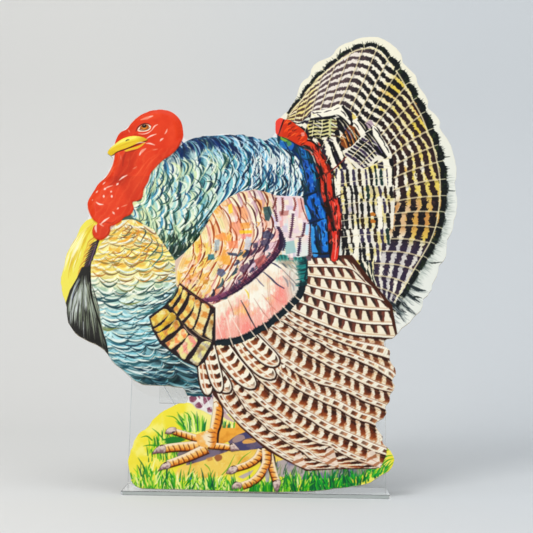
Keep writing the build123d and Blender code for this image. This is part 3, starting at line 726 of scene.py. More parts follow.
def breast():
    rows = [[(112, 229), (122, 222), (133, 221), (144, 226), (154, 231)],
            [(103, 241), (116, 239), (130, 236), (146, 236), (162, 243)],
            [(97, 251), (114, 251), (130, 251), (150, 250), (169, 253)],
            [(92, 262), (110, 264), (130, 266), (150, 264), (175, 262)],
            [(89, 275), (108, 278), (128, 280), (150, 277), (179, 272)],
            [(89, 287), (108, 290), (128, 292), (150, 289), (179, 282)],
            [(90, 298), (108, 301), (128, 303), (150, 300), (174, 293)],
            [(93, 310), (110, 313), (130, 313), (148, 310), (165, 306)],
            [(96, 321), (112, 324), (130, 324), (146, 321), (158, 318)],
            [(100, 333), (116, 336), (134, 335), (152, 331), (166, 330)],
            [(104, 344), (120, 347), (140, 346), (160, 342), (176, 344)],
            [(107, 353), (124, 357), (146, 357), (168, 353), (186, 357)],
            [(114, 363), (132, 367), (152, 367), (176, 364), (196, 369)],
            [(126, 373), (142, 376), (160, 376), (184, 375), (206, 381)],
            [(136, 382), (150, 385), (168, 386), (188, 388), (210, 391)],
            [(140, 392), (152, 394), (168, 394), (188, 396), (212, 398)]]
    P = loft(rows)
    w = win(P)
    n1, n2, n3 = N_FINE[w], N_MID[w], N_HAIR[w]
    xc, s, row, idx, gap, u, v = scales(P, 17.0, None, L=(0.9, 1.5), seed=3)
    h1, h2 = hash2(row, idx, 2), hash2(row, idx, 9)
    r = v / 14.0
    base = ramp(np.clip(r + (h1 - 0.5) * 0.08, 0, 1),
                [(0, hexc('ead9a0')), (0.08, hexc('f0e2a0')), (0.18, hexc('efd878')), (0.28, hexc('ece6a6')),
                 (0.36, hexc('dfe6c8')), (0.46, hexc('c9dcd2')), (0.56, hexc('b4d3d4')), (0.68, hexc('9fcbd0')),
                 (0.8, hexc('86bcc4')), (0.92, hexc('5f9aa6')), (1, hexc('3b7078'))])
    # darker and bluer to the lower right
    rt = np.clip((u - 0.35) * 1.6, 0, 1) * smooth(0.55, 1.0, r)
    base = mix(base, hexc('24545f'), rt * 0.55)
    # bluish right flank in the middle
    base = mix(base, hexc('b9cfe0'), smooth(0.75, 0.95, u) * smooth(0.18, 0.3, r) * (1 - smooth(0.45, 0.55, r)))
    # left side pales (rounded form catches the light)
    base = mix(base, hexc('f1eed6'), (1 - smooth(0.02, 0.3, u)) * smooth(0.25, 0.4, r) * (1 - smooth(0.5, 0.75, r)) * 0.7)
    # each scale: fine barbs, pale tip, dark root
    barb = 0.5 + 0.5 * np.sin((xc + n1 * 0.25) * 46)
    c = base * (0.965 + 0.05 * barb[..., None])
    tipl = smooth(0.45, 0.88, s) * (1 - smooth(0.93, 1.0, s))
    c = mix(c, np.minimum(base * 1.1 + 0.06, 1), tipl * 0.8)
    # inner colour strokes: orange crescents at the top, teal below
    accent = ramp(np.clip(r, 0, 1), [(0, hexc('e39a2e')), (0.26, hexc('e8b33a')), (0.34, hexc('8fb08c')), (0.5, hexc('5f9fae')),
                                     (0.75, hexc('2f7484')), (1, hexc('123e48'))])
    lowpos = smooth(0.52, 0.7, s + (n1 - 0.5) * 0.25) * (1 - smooth(0.80, 0.9, s))
    acc = lowpos * (1 - smooth(0.28, 0.47, np.abs(xc + 0.12))) * (0.35 + 0.65 * (h1 > 0.35))
    c = mix(c, accent, acc * np.interp(r, [0, 0.3, 0.5, 1], [0.85, 0.8, 0.5, 0.6]))
    # dark gap beneath every tip, stronger on the right and lower down
    dk = ramp(np.clip(r, 0, 1), [(0, hexc('7a5a3a')), (0.2, hexc('5a6a4a')), (0.35, hexc('1f4a44')), (0.6, hexc('173f47')), (1, hexc('0b2228'))])
    strength = np.interp(r, [0, 0.2, 0.35, 0.6, 1], [0.55, 0.6, 0.7, 0.8, 0.95]) * (0.45 + 0.55 * smooth(0.1, 0.55, u)) * (0.55 + 0.6 * h2)
    thick = np.interp(r, [0, 0.35, 1], [0.16, 0.26, 0.34]) * (0.6 + 0.8 * n2)
    g = (1 - smooth(thick * 0.35, thick, gap)) * (gap > 0)
    c = mix(c, dk, np.clip(g * strength, 0, 1))
    # pale feather rim
    rim = smooth(0.9, 0.95, s) * (1 - smooth(0.985, 1.0, s))
    c = mix(c, hexc('f3f2e2'), rim * np.interp(r, [0, 0.5, 1], [0.8, 0.75, 0.45]))
    # deep shadow under the wing, lower right
    X = (np.arange(P.box[0], P.box[2]) / S + X0)[None]
    Y = (np.arange(P.box[1], P.box[3]) / S + Y0)[:, None]
    sh = smooth(0, 34, (X - 150) * 0.62 + (Y - 345) * 0.72) * smooth(336, 352, Y + 0 * X)
    tex = 0.5 + 0.5 * np.sin((Y - 0.12 * X) * 0.75 + n2 * 6)
    c = mix(c, hexc('10252c'), np.clip(sh * (0.45 + 0.7 * tex), 0, 0.93))
    c = mix(c, hexc('3f8a96'), np.clip(sh * smooth(0.62, 0.95, n1 + 0.3 * tex - 0.25) * 0.5, 0, 1))
    put(P, c, height=1.6 + 0.45 * s * (1 - smooth(0.96, 1.0, s)))
    DK = [hexc(x) for x in ('173f47', '0f2c38', '1f5a60', '2b4a4a', '0b2228')]
    LT = [hexc(x) for x in ('f4f3e4', 'eef1e6', 'dfeee9', 'f6f2d8')]

    def edge(q, u, r):
        k = r.rand()
        if q < 0.27:
            d = [hexc('8a5a3a'), hexc('c07a2c'), hexc('4a5a48'), hexc('6b4a30')][int(k * 4)]
            w_, a_ = 1.5, 0.8
        elif q < 0.36:
            d = [hexc('1f4a44'), hexc('35564a'), hexc('6a6a3a'), hexc('20403c')][int(k * 4)]
            w_, a_ = 2.0, 0.85
        else:
            d = DK[int(k * 5)]
            w_, a_ = 1.9 + 1.3 * smooth(0.4, 0.9, q) * (0.5 + u * 0.8), 0.88
        if u < 0.16:
            a_ *= 0.55
        l = LT[int(r.rand() * 4)]
        tint = hexc('8fd0da') if q > 0.45 else (hexc('f3d860') if q < 0.3 else hexc('cfe3d0'))
        return [(-0.36, 3.0, tint, 0.6 * (r.rand() > 0.3)), (-0.20, 1.8, l, 0.85 if q < 0.86 else 0.35), (0.0, w_, d, a_)]
    crescents(P, 0.62, 17.0, 0.36, edge, 77)
    rr_ = np.random.RandomState(79)
    for i in range(190):
        uu, vv = rr_.rand() * 0.96, 0.4 + (P.C.shape[0] - 1.6) * rr_.rand()
        q_ = vv / (P.C.shape[0] - 1.0)
        t_ = np.linspace(0, 1, 6)
        L_ = (10 + 16 * rr_.rand()) / max(length(P.C[int(vv)][::12]), 20)
        if q_ < 0.34:
            L_ *= 0.7
        s_ = along(P, uu + t_ * L_, vv + (0.12 + 0.2 * rr_.rand()) * np.sin(t_ * np.pi) + (rr_.rand() - 0.5) * 0.25 * t_)
        if q_ < 0.34:
            pal_ = ['b9762a', 'fbf3d0', 'dca032', '8f7a3a', 'd9c96a', '7a8a56']
        elif q_ < 0.6:
            pal_ = ['1f5258', 'f6f6e6', '77803c', '18404c', 'cfe0d2', '2f6a6c']
        else:
            pal_ = ['10384e', 'e8f1ee', '0d2c40', '1f5d74', '0f4a5c', 'a9cdd2']
        stroke(s_, 0.9 + 1.6 * rr_.rand(), hexc(pal_[int(6 * rr_.rand())]), alpha=0.8, taper=(0.15, 0.3), n=8)
    crescents(P, 1.3, 11.0, 0.2, lambda q, u, r: [(0, 0.8, hexc('1c4c55') if q > 0.35 else hexc('b0742c'), 0.5), (-0.15, 0.8, hexc('f4f5ea'), 0.6)], 78, keep=0.7)
    # curved orange and brown crescents, upper breast
    for (x0, y0, x1, y1, x2, y2, wd, cc) in (
            (111, 236, 118, 235, 124, 229, 3.2, 'eac04a'), (117, 240, 125, 238, 130, 231, 1.0, '6b4030'), (118, 243, 127, 241, 133, 233, 2.6, 'f0a830'),
            (124, 247, 134, 243, 139, 236, 2.4, 'e9b24a'), (108, 252, 116, 251, 121, 247, 2.8, 'ebc456'), (112, 255, 120, 254, 126, 249, 1.0, '8a4a2c'),
            (116, 259, 127, 258, 134, 250, 1.2, '9a4f25'), (117, 257, 126, 256, 132, 249, 2.0, 'f0c04a'), (128, 262, 137, 260, 143, 250, 2.2, 'efc25a'),
            (134, 265, 144, 262, 149, 250, 1.1, 'b0623a'), (97, 256, 106, 256, 113, 251, 1.6, 'efd25e'), (105, 262, 113, 262, 119, 257, 1.2, 'd99a3a'),
            (126, 226, 132, 228, 129, 234, 1.0, '5a3a30'), (134, 228, 139, 232, 134, 240, 1.2, 'd88a3a'), (141, 229, 146, 233, 141, 243, 1.6, '2f3f45'),
            (150, 236, 152, 243, 144, 252, 1.3, '3a4a45'), (156, 240, 158, 248, 148, 260, 1.6, '3c5a52'), (162, 246, 162, 256, 152, 268, 1.8, '3f7a78')):
        stroke([(x0, y0), (x1, y1), (x2, y2)], wd, hexc(cc), alpha=0.8, taper=(0.3, 0.4))


def upper_back():
    cols = [[(150, 174), (144, 192), (141, 202), (133, 204), (131, 216)],
            [(158, 166), (153, 187), (150, 205), (149, 220), (147, 229)],
            [(168, 158), (168, 182), (166, 206), (163, 226), (160, 241)],
            [(178, 150), (183, 175), (182, 203), (176, 232), (171, 256)],
            [(186, 142), (198, 165), (200, 192), (195, 224), (181, 257)],
            [(200, 137), (213, 160), (216, 184), (211, 210), (194, 242)],
            [(216, 136), (228, 158), (231, 178), (227, 198), (209, 220)],
            [(231, 135), (242, 155), (245, 174), (242, 190), (226, 203)],
            [(245, 134), (256, 154), (259, 172), (258, 187), (244, 197)],
            [(257, 135), (269, 154), (272, 172), (272, 187), (262, 197)],
            [(268, 137), (280, 155), (284, 173), (284, 189), (277, 200)],
            [(278, 139), (291, 157), (296, 175), (297, 190), (291, 203)],
            [(288, 143), (302, 159), (307, 177), (309, 192), (306, 205)],
            [(297, 147), (312, 160), (318, 180), (320, 195), (320, 208)]]
    P = loft(cols)
    w = win(P)
    n1, n2, n3 = N_FINE[w], N_MID[w], N_HAIR[w]
    P.V = P.V * 1.28
    nv = 12 * 1.28
    xc, s, row, idx, gap, u, v = scales(P, 15.0, None, L=(0.95, 1.4), seed=21)
    h1, h2 = hash2(row, idx, 2), hash2(row, idx, 9)
    q = v / nv
    # colour from left to right: pale yellow-green, blue-green, light blue, pale with navy lines
    base = ramp(np.clip(q + (h1 - 0.5) * 0.1, 0, 1),
                [(0, hexc('e4e9b4')), (0.14, hexc('d9e6c8')), (0.3, hexc('c2dccb')), (0.45, hexc('a9d3d6')),
                 (0.62, hexc('86c0d6')), (0.78, hexc('a7cfd8')), (0.9, hexc('c6dcdc')), (1, hexc('cfe0dc'))])
    base = mix(base, hexc('3f8fc0'), (1 - smooth(0.0, 0.36, u)) * smooth(0.06, 0.3, q) * 0.55)
    base = mix(base, hexc('efe9b0'), smooth(0.5, 0.8, u) * (1 - smooth(0.25, 0.5, q)) * 0.35 * (h1 > 0.3))
    base = mix(base, hexc('e9eedd'), smooth(0.55, 0.85, h2) * 0.45)
    c = base
    # shading along each scale: root tinted, pale tip
    rootc = ramp(q, [(0, hexc('5aa0a8')), (0.3, hexc('2c7f86')), (0.55, hexc('1f6f9a')), (0.8, hexc('17507c')), (1, hexc('123a5c'))])
    rootc = mix(rootc, hexc('0f2f5c'), (1 - smooth(0.05, 0.3, u)) * 0.7)
    rs = (1 - smooth(0.30, 0.62, s + (n1 - 0.5) * 0.4))
    c = mix(c, rootc, rs * np.interp(q, [0, 0.2, 0.5, 1], [0.45, 0.62, 0.8, 0.85]))
    streak = 0.5 + 0.5 * np.sin((xc + n1 * 0.3) * 40)
    c = c * (0.95 + 0.07 * streak[..., None])
    rim = smooth(0.80, 0.90, s) * (1 - smooth(0.97, 1.0, s))
    c = mix(c, hexc('f2f5ea'), rim * 0.75)
    dk = ramp(q, [(0, hexc('2f6f78')), (0.25, hexc('12443f')), (0.5, hexc('0f3a52')), (1, hexc('0d2547'))])
    dk = mix(dk, hexc('0c2a22'), smooth(0.55, 0.85, u) * (1 - smooth(0.3, 0.55, q)))
    thick = 0.30 * (0.55 + 0.9 * n2)
    g = (1 - smooth(thick * 0.3, thick, gap)) * (gap > 0)
    strg = np.interp(q, [0, 0.15, 0.4, 1], [0.5, 0.7, 0.85, 0.9]) * (0.5 + 0.6 * h1)
    c = mix(c, dk, np.clip(g * strg, 0, 1))
    # navy crest along the top edge, and the deep shade at the foot of the neck feathers
    nav = 1 - smooth(0.02, 0.16 + 0.06 * n2, u)
    nav = nav * smooth(0.10, 0.24, q)
    c = mix(c, hexc('0e2a4c'), np.clip(nav * (0.55 + 0.5 * np.sin(xc * 9 + n1 * 5) * (1 - rim)), 0, 0.92))
    low = smooth(0.80, 1.0, u + (n2 - 0.5) * 0.15) * (1 - smooth(0.55, 0.7, q)) * smooth(0.12, 0.25, q)
    c = mix(c, hexc('122c22'), np.clip(low * (0.5 + 0.7 * (1 - rim)) * (0.4 + n1), 0, 0.9))
    put(P, c, height=1.5 + 0.4 * s * (1 - smooth(0.96, 1.0, s)))
    BK = [hexc(x) for x in ('0f3a52', '123a66', '0d2547', '12443f', '17507c', '0e2a33')]

    def edge(q, u, r):
        k = int(r.rand() * 6)
        if q < 0.10:
            d, a_ = [hexc('2c8a90'), hexc('3f9fb0'), hexc('2b6f6a')][k // 2], 0.6
        elif q < 0.42 and u > 0.55:
            d, a_ = [hexc('12443f'), hexc('1a3a2a'), hexc('0f2f26')][k // 2], 0.9
        else:
            d, a_ = BK[k], 0.9
        if u < 0.2 and q > 0.15:
            d = [hexc('0d2547'), hexc('0c3566'), hexc('0b1f3a')][k // 2]
        w_ = 1.9 + 1.3 * r.rand() * (1.25 if u < 0.25 else 1)
        tint = [hexc('7fc4dc'), hexc('9bd3cf'), hexc('4fa3cf'), hexc('d8e8b0') if q < 0.35 else hexc('6fc0c8')][int(r.rand() * 4)]
        l = hexc('f5f7ec') if u > 0.12 or q < 0.2 else hexc('a9cfe6')
        return [(-0.34, 3.2, tint, 0.7 * (r.rand() > 0.25)), (-0.20, 1.9, l, 0.85 * (r.rand() > 0.12)), (0.0, w_, d, a_)]
    crescents(P, 0.60, 18.0, 0.34, edge, 55)
    crescents(P, 0.52, 15.0, 0.24, edge, 56, v0=6.6)
    crescents(P, 0.9, 10.0, 0.2, lambda q, u, r: [(0, 1.0, hexc('0d2d4c'), 0.8)], 57, keep=0.5)
    rr_ = np.random.RandomState(58)
    for i in range(210):
        uu, vv = rr_.rand() * 0.95, 0.4 + (P.C.shape[0] - 1.6) * rr_.rand()
        q_ = vv / (P.C.shape[0] - 1.0)
        t_ = np.linspace(0, 1, 6)
        L_ = (10 + 12 * rr_.rand()) / max(length(P.C[int(vv)][::12]), 20)
        s_ = along(P, uu + t_ * L_, vv + (0.22 + 0.3 * rr_.rand()) * np.sin(t_ * np.pi) + (rr_.rand() - 0.5) * 0.4 * t_)
        pal_ = ['0a3238', 'f2f5e2', '124640', 'dce8b8', '0a2832', '0f4a52'] if q_ < 0.5 else ['081c38', 'f0f5f4', '0e2c52', '08182c', 'cfe4ee', '103c62']
        if q_ < 0.42 and i % 2:
            stroke(s_ + (1.5, 0), 4.2, hexc(['dfe9ae', 'eef2c8', 'c4dcae'][i % 3]), alpha=0.5, taper=(0.3, 0.4), n=8, soft=1)
        stroke(s_, 1.0 + 1.7 * rr_.rand(), hexc(pal_[int(6 * rr_.rand())]), alpha=0.8, taper=(0.15, 0.3), n=8)
    # deep shade under the neck, along the crest and at the foot of the mantle
    for i in range(120):
        rr_ = np.random.RandomState(400 + i)
        a = rr_.rand()
        if i % 2:
            x, y = 176 + 62 * a, 150 - 13 * np.sin(np.pi * min(a * 0.8 + 0.12, 1)) + 6 * rr_.rand()
            stroke([(x, y), (x + 4, y + 5), (x + 5.5, y + 11)], 2.2 * (0.5 + rr_.rand()), hexc(['0b1f3e', '0e2f5c', '12306b'][i % 3]), alpha=0.75, taper=(0.5, 0.1), n=6)
        else:
            x, y = 158 + 46 * a, 236 - 12 * a + 18 * rr_.rand()
            if y > 258 - (x - 172) * 0.62 or y < 218:
                continue
            stroke([(x, y), (x + 1.2, y + 4), (x - 1.6, y + 8.5)], 2.2 * (0.5 + rr_.rand()), hexc(['0d241c', '143a2a', '1c3c22'][i % 3]), alpha=0.75, taper=(0.3, 0.2), n=6)
    # long pale and dark hair strokes on the right, running down to the wing
    r = np.random.RandomState(31)
    for i in range(46):
        a = r.rand()
        x = 244 + a * 58 + r.randn() * 1.0
        y = 150 + r.rand() * 38
        L = 8 + 9 * r.rand()
        b = 1.5 - 3.0 * r.rand()
        cc = 'f4f6ee' if r.rand() < 0.6 else ('123255' if r.rand() < 0.6 else '2f8a8c')
        stroke([(x, y), (x + b + 1.6, y + L * 0.5), (x + b + 0.6, y + L)], 1.3 + r.rand() * 0.7, hexc(cc), alpha=0.85, taper=(0.3, 0.3))
    for i in range(26):
        x = 190 + r.rand() * 70
        y = 142 + r.rand() * 12
        stroke([(x, y), (x + 5, y + 5), (x + 7.5, y + 12)], 1.1, hexc('cfe6ef' if r.rand() < 0.6 else '5fb0d6'), alpha=0.8, taper=(0.2, 0.4))
    fill([(269, 160), (276, 158), (278, 163), (272, 166), (268, 164)], hexc('ccd3d2'), alpha=0.9)


def shade_disc(X, Y, cx, cy, rx, ry, rot=0):
    c, s = np.cos(np.radians(rot)), np.sin(np.radians(rot))
    dx, dy = X - cx, Y - cy
    return np.hypot((dx * c + dy * s) / rx, (-dx * s + dy * c) / ry)


HEAD = [(115, 143.5), (117, 137), (121, 132.5), (127, 129.5), (131, 124), (136, 119), (142, 114.5), (150, 111.3),
        (160, 110), (169, 111.3), (176, 115.5), (181, 122), (183.4, 130), (183, 138), (180, 146), (176, 152),
        (170, 157.5), (163, 162), (157, 168), (151, 175), (148.5, 183), (144, 191), (142.6, 199), (138, 202.5),
        (132.8, 203.5), (134, 210), (131, 216), (124.5, 219), (121, 223), (115, 226.5), (110.5, 228), (110.3, 233),
        (107, 238.5), (101, 241.6), (95.4, 239.8), (92.4, 234), (94, 227.5), (98, 225), (93.4, 221), (89.6, 214),
        (87.4, 206), (88.4, 199), (93.4, 191), (98.5, 184), (105.6, 178), (110.6, 170), (113.6, 162), (114.8, 154)]


def head():
    def red(X, Y):
        n1 = N_FINE[_w(X, Y)]
        n2 = N_MID[_w(X, Y)]
        c = mix(hexc('dc3d17'), hexc('e2461f'), smooth(0.3, 0.7, n2))
        # form shading: darker under the cheek, behind the neck and at the folds
        sh = np.zeros_like(X)
        sh += 0.5 * (1 - smooth(0.5, 1.25, shade_disc(X, Y, 127, 166, 9, 22, 20)))
        sh += 0.35 * (1 - smooth(0.4, 1.2, shade_disc(X, Y, 118, 182, 10, 7, -35)))
        sh += 0.25 * (1 - smooth(0.4, 1.2, shade_disc(X, Y, 166, 158, 22, 6, -40)))
        sh += 0.25 * (1 - smooth(0.4, 1.2, shade_disc(X, Y, 128, 132, 12, 5, -25)))
        sh += 0.3 * smooth(0.72, 1.0, shade_disc(X, Y, 106, 205, 24, 27, 0)) * (Y > 178)
        c = mix(c, hexc('b52c0e'), np.clip(sh, 0, 0.8))
        li = 0.5 * (1 - smooth(0.2, 1.1, shade_disc(X, Y, 152, 118, 14, 6, -12)))
        li += 0.4 * (1 - smooth(0.2, 1.1, shade_disc(X, Y, 140, 180, 8, 18, 15)))
        li += 0.45 * (1 - smooth(0.2, 1.1, shade_disc(X, Y, 104, 200, 14, 14, 0)))
        li += 0.3 * (1 - smooth(0.2, 1.1, shade_disc(X, Y, 172, 134, 6, 14, 0)))
        c = mix(c, hexc('ee5c33'), np.clip(li, 0, 0.6))
        # wrinkled skin mottling
        wr = np.sin((X * 0.9 + Y * 0.55) * 0.9 + n2 * 9) * 0.5 + 0.5
        c = mix(c, hexc('d83f1b'), np.clip((n1 - 0.5) * 1.3, 0, 0.35) * (Y > 150))
        c = mix(c, hexc('f57a4e'), wr ** 4 * 0.22 * (Y > 150))
        return c

    fill(HEAD, red, soft=1, height=3.0, smoothn=260)
    # neck folds and cheek creases
    for (pts, wd, cc, a) in (([(127, 152), (124, 160), (123, 168)], 2.2, 'a3280f', .6), ([(116, 184), (120, 180), (124, 177)], 1.6, 'a92c12', .7),
                             ([(131, 154), (130, 164), (127, 174)], 1.6, 'bd3415', .5), ([(106, 190), (114, 184), (121, 178)], 1.2, 'b73014', .55),
                             ([(150, 160), (142, 170), (133, 182)], 1.2, 'f57447', .5), ([(160, 156), (150, 165), (143, 176)], 1.3, 'f57447', .4),
                             ([(114, 168), (110, 176), (104, 182)], 1.0, 'f58a63', .6), ([(130, 200), (138, 190), (143, 178)], 1.2, 'c93917', .45),
                             ([(118, 150), (119, 158), (116, 166)], 1.2, 'f2643a', .5), ([(136, 133), (138, 129.5), (141, 127)], 1.3, '9c2c12', .8),
                             ([(100, 226), (106, 224), (112, 225), (117, 222)], 1.6, 'b02c12', .6), ([(110, 229), (109, 235), (104, 240)], 1.8, 'b52e14', .6)):
        stroke(pts, wd, hexc(cc), alpha=a, taper=(0.3, 0.3), soft=0.6)
    # white lights on the wet skin
    for (pts, wd, a) in (([(141, 121.5), (147, 120), (153, 118)], 3.0, .45), ([(149, 119), (153, 117.8)], 1.6, .5), ([(152.5, 131.5), (155, 128), (158, 126.5)], 1.3, .85),
                         ([(147, 140.5), (151, 138), (156.5, 136)], 1.5, .9), ([(165, 136), (166.6, 133.5), (167.4, 131)], 1.4, .75),
                         ([(160.4, 143), (161.5, 141.5), (163.4, 140.4)], 2.2, .8), ([(146.5, 145.4), (150, 145.4), (155, 147)], 1.6, .85),
                         ([(140, 157), (142, 153.5), (146, 150.5)], 2.8, .55), ([(139.6, 157.4), (141, 154)], 1.2, .8), ([(153, 152), (158, 151)], 1.4, .4),
                         ([(119.6, 182.2), (123, 179.4), (127.4, 177)], 1.7, .9), ([(103, 186), (105.4, 183.4)], 1.6, .85), ([(116.8, 187), (118.8, 185)], 1.9, .9),
                         ([(104.6, 191), (108, 189), (113, 187.4)], 1.5, .7), ([(104.4, 191.6), (106.2, 190.2)], 2.2, .8), ([(96.2, 194), (98, 192)], 1.7, .85),
                         ([(111, 194), (112, 193)], 1.8, .85), ([(104, 197), (104.2, 199.4)], 2.0, .9), ([(112, 197), (112.2, 199.4)], 2.0, .9),
                         ([(92.4, 200.6), (92.8, 202)], 1.2, .6), ([(96.6, 204), (99.6, 206), (103.4, 206.4)], 1.7, .95), ([(117.4, 211), (119, 209.6)], 1.7, .8),
                         ([(113, 213.6), (114.8, 216)], 1.8, .85), ([(101, 226), (105, 222.4), (109.6, 219.4)], 1.9, .9), ([(121.6, 208.8), (127.4, 206.6)], 1.2, .45),
                         ([(96.8, 226), (96, 230), (96.8, 234)], 2.4, .8), ([(99.6, 225.6), (104, 228)], 1.6, .6), ([(128.4, 131), (130, 134.4)], 1.3, .5),
                         ([(121, 157), (121.4, 162)], 0.9, .35), ([(133, 171), (137, 168.6)], 1.2, .4), ([(107, 178), (111, 171), (114, 163)], 0.9, .35)):
        stroke(pts, wd, hexc('fbe6dc'), alpha=a, taper=(0.35, 0.35), soft=0.45)
    eye_and_beak()


def eye_and_beak():
    # eye: white rim, orange iris, dark pupil
    fill([(137.6, 132.4), (139.6, 129), (143.6, 126.6), (148, 126.4), (151, 128.2), (150.6, 131), (147.6, 133),
          (143, 133.8), (139.4, 133.6)], hexc('f6ead6'), height=3.2, smoothn=70)
    fill([(139.8, 131.6), (140.8, 128.6), (144, 126.6), (147.6, 126.8), (149.2, 128.6), (148.2, 130.8), (144.8, 132)],
         lambda X, Y: mix(hexc('f0962a'), hexc('a35312'), smooth(1.2, 3.8, np.hypot(X - 144.6, (Y - 129.4) * 1.25))), height=3.5, smoothn=60)
    fill([(142, 128.4), (143.2, 126.7), (145.6, 126.6), (146.8, 128), (145.8, 129.8), (143.4, 130)], hexc('1d120c'), height=3.6, smoothn=40)
    fill([(144, 127.2), (145, 127), (145, 127.8), (144.2, 127.9)], hexc('d9c7a0'))
    stroke([(136.4, 133.4), (138.4, 129.4), (142.6, 126.2), (147.6, 125.7), (151.4, 127.8)], 1.0, hexc('3a130a'), taper=(0.3, 0.4))
    stroke([(139, 131.8), (143, 132.6), (147.6, 131.6), (150, 129.6)], 0.6, hexc('6b2410'), alpha=0.8)
    stroke([(138.6, 135.6), (143.6, 136), (148.6, 134.6), (152.4, 131.6), (154, 128.6)], 1.0, hexc('fbeade'), alpha=0.85, taper=(0.3, 0.3))
    stroke([(135, 136.4), (141, 137.6), (148, 136.8)], 0.8, hexc('b93314'), alpha=0.7)
    # beak, upper and lower halves
    up = [(107, 154.6), (108.4, 150.8), (112, 147), (117, 143.4), (124, 140.3), (131, 138.3), (138, 138.2), (144, 139.6),
          (147.6, 142), (143.6, 143.4), (137, 145.8), (130, 149), (122, 151.8), (114, 155), (109.6, 156.4)]
    fill(up, lambda X, Y: mix(mix(hexc('e6c62c'), hexc('f2ea62'), smooth(0, 5, 150.5 - Y - (X - 112) * -0.28 * -1 + 0)),
                              hexc('c99a22'), smooth(134, 147, X) * 0.55), height=3.4, smoothn=120)
    stroke([(110, 150.6), (117, 145.6), (126, 142.2), (136, 140)], 1.4, hexc('f6f08a'), alpha=0.8, taper=(0.3, 0.3), soft=0.5)
    stroke([(118, 149.6), (126, 146), (136, 143)], 1.2, hexc('d8a928'), alpha=0.6, taper=(0.3, 0.3), soft=0.5)
    fill([(124.4, 152.6), (128, 151), (134, 149.2), (140, 147.2), (145.6, 144.2), (143, 147.4), (138, 150.6), (131, 152.4), (126.4, 153.6)],
         hexc('e5bf2e'), height=3.2, smoothn=60)
    stroke([(111, 156.4), (119, 153.4), (127, 150.8), (136, 147), (147.6, 142.6)], 1.0, hexc('4a1c0a'), taper=(0.4, 0.6))
    stroke([(126, 154.4), (132, 153.2), (139, 151)], 0.9, hexc('8a2a10'), alpha=0.7, taper=(0.4, 0.3))
    stroke([(126.2, 143.2), (127.8, 142), (129.4, 142)], 1.1, hexc('3a2410'), taper=(0.5, 0.5))
    stroke([(136, 145.6), (141, 144.4), (146, 144.6)], 1.0, hexc('efe6d8'), alpha=0.8, taper=(0.3, 0.4))


def under_body():
    """Ground colour beneath the joins of neck, breast and wing."""
    fill([(112, 232), (124, 214), (140, 198), (156, 214), (168, 250), (184, 252), (182, 290), (170, 305), (150, 322), (152, 340),
          (120, 300), (100, 250)], hexc('47685e'), height=1.7)
    fill([(255, 186), (310, 186), (314, 232), (311, 262), (262, 262)], hexc('6d5560'), height=1.7)
    fill([(150, 300), (214, 300), (216, 392), (150, 392)], hexc('14272c'), height=1.6)


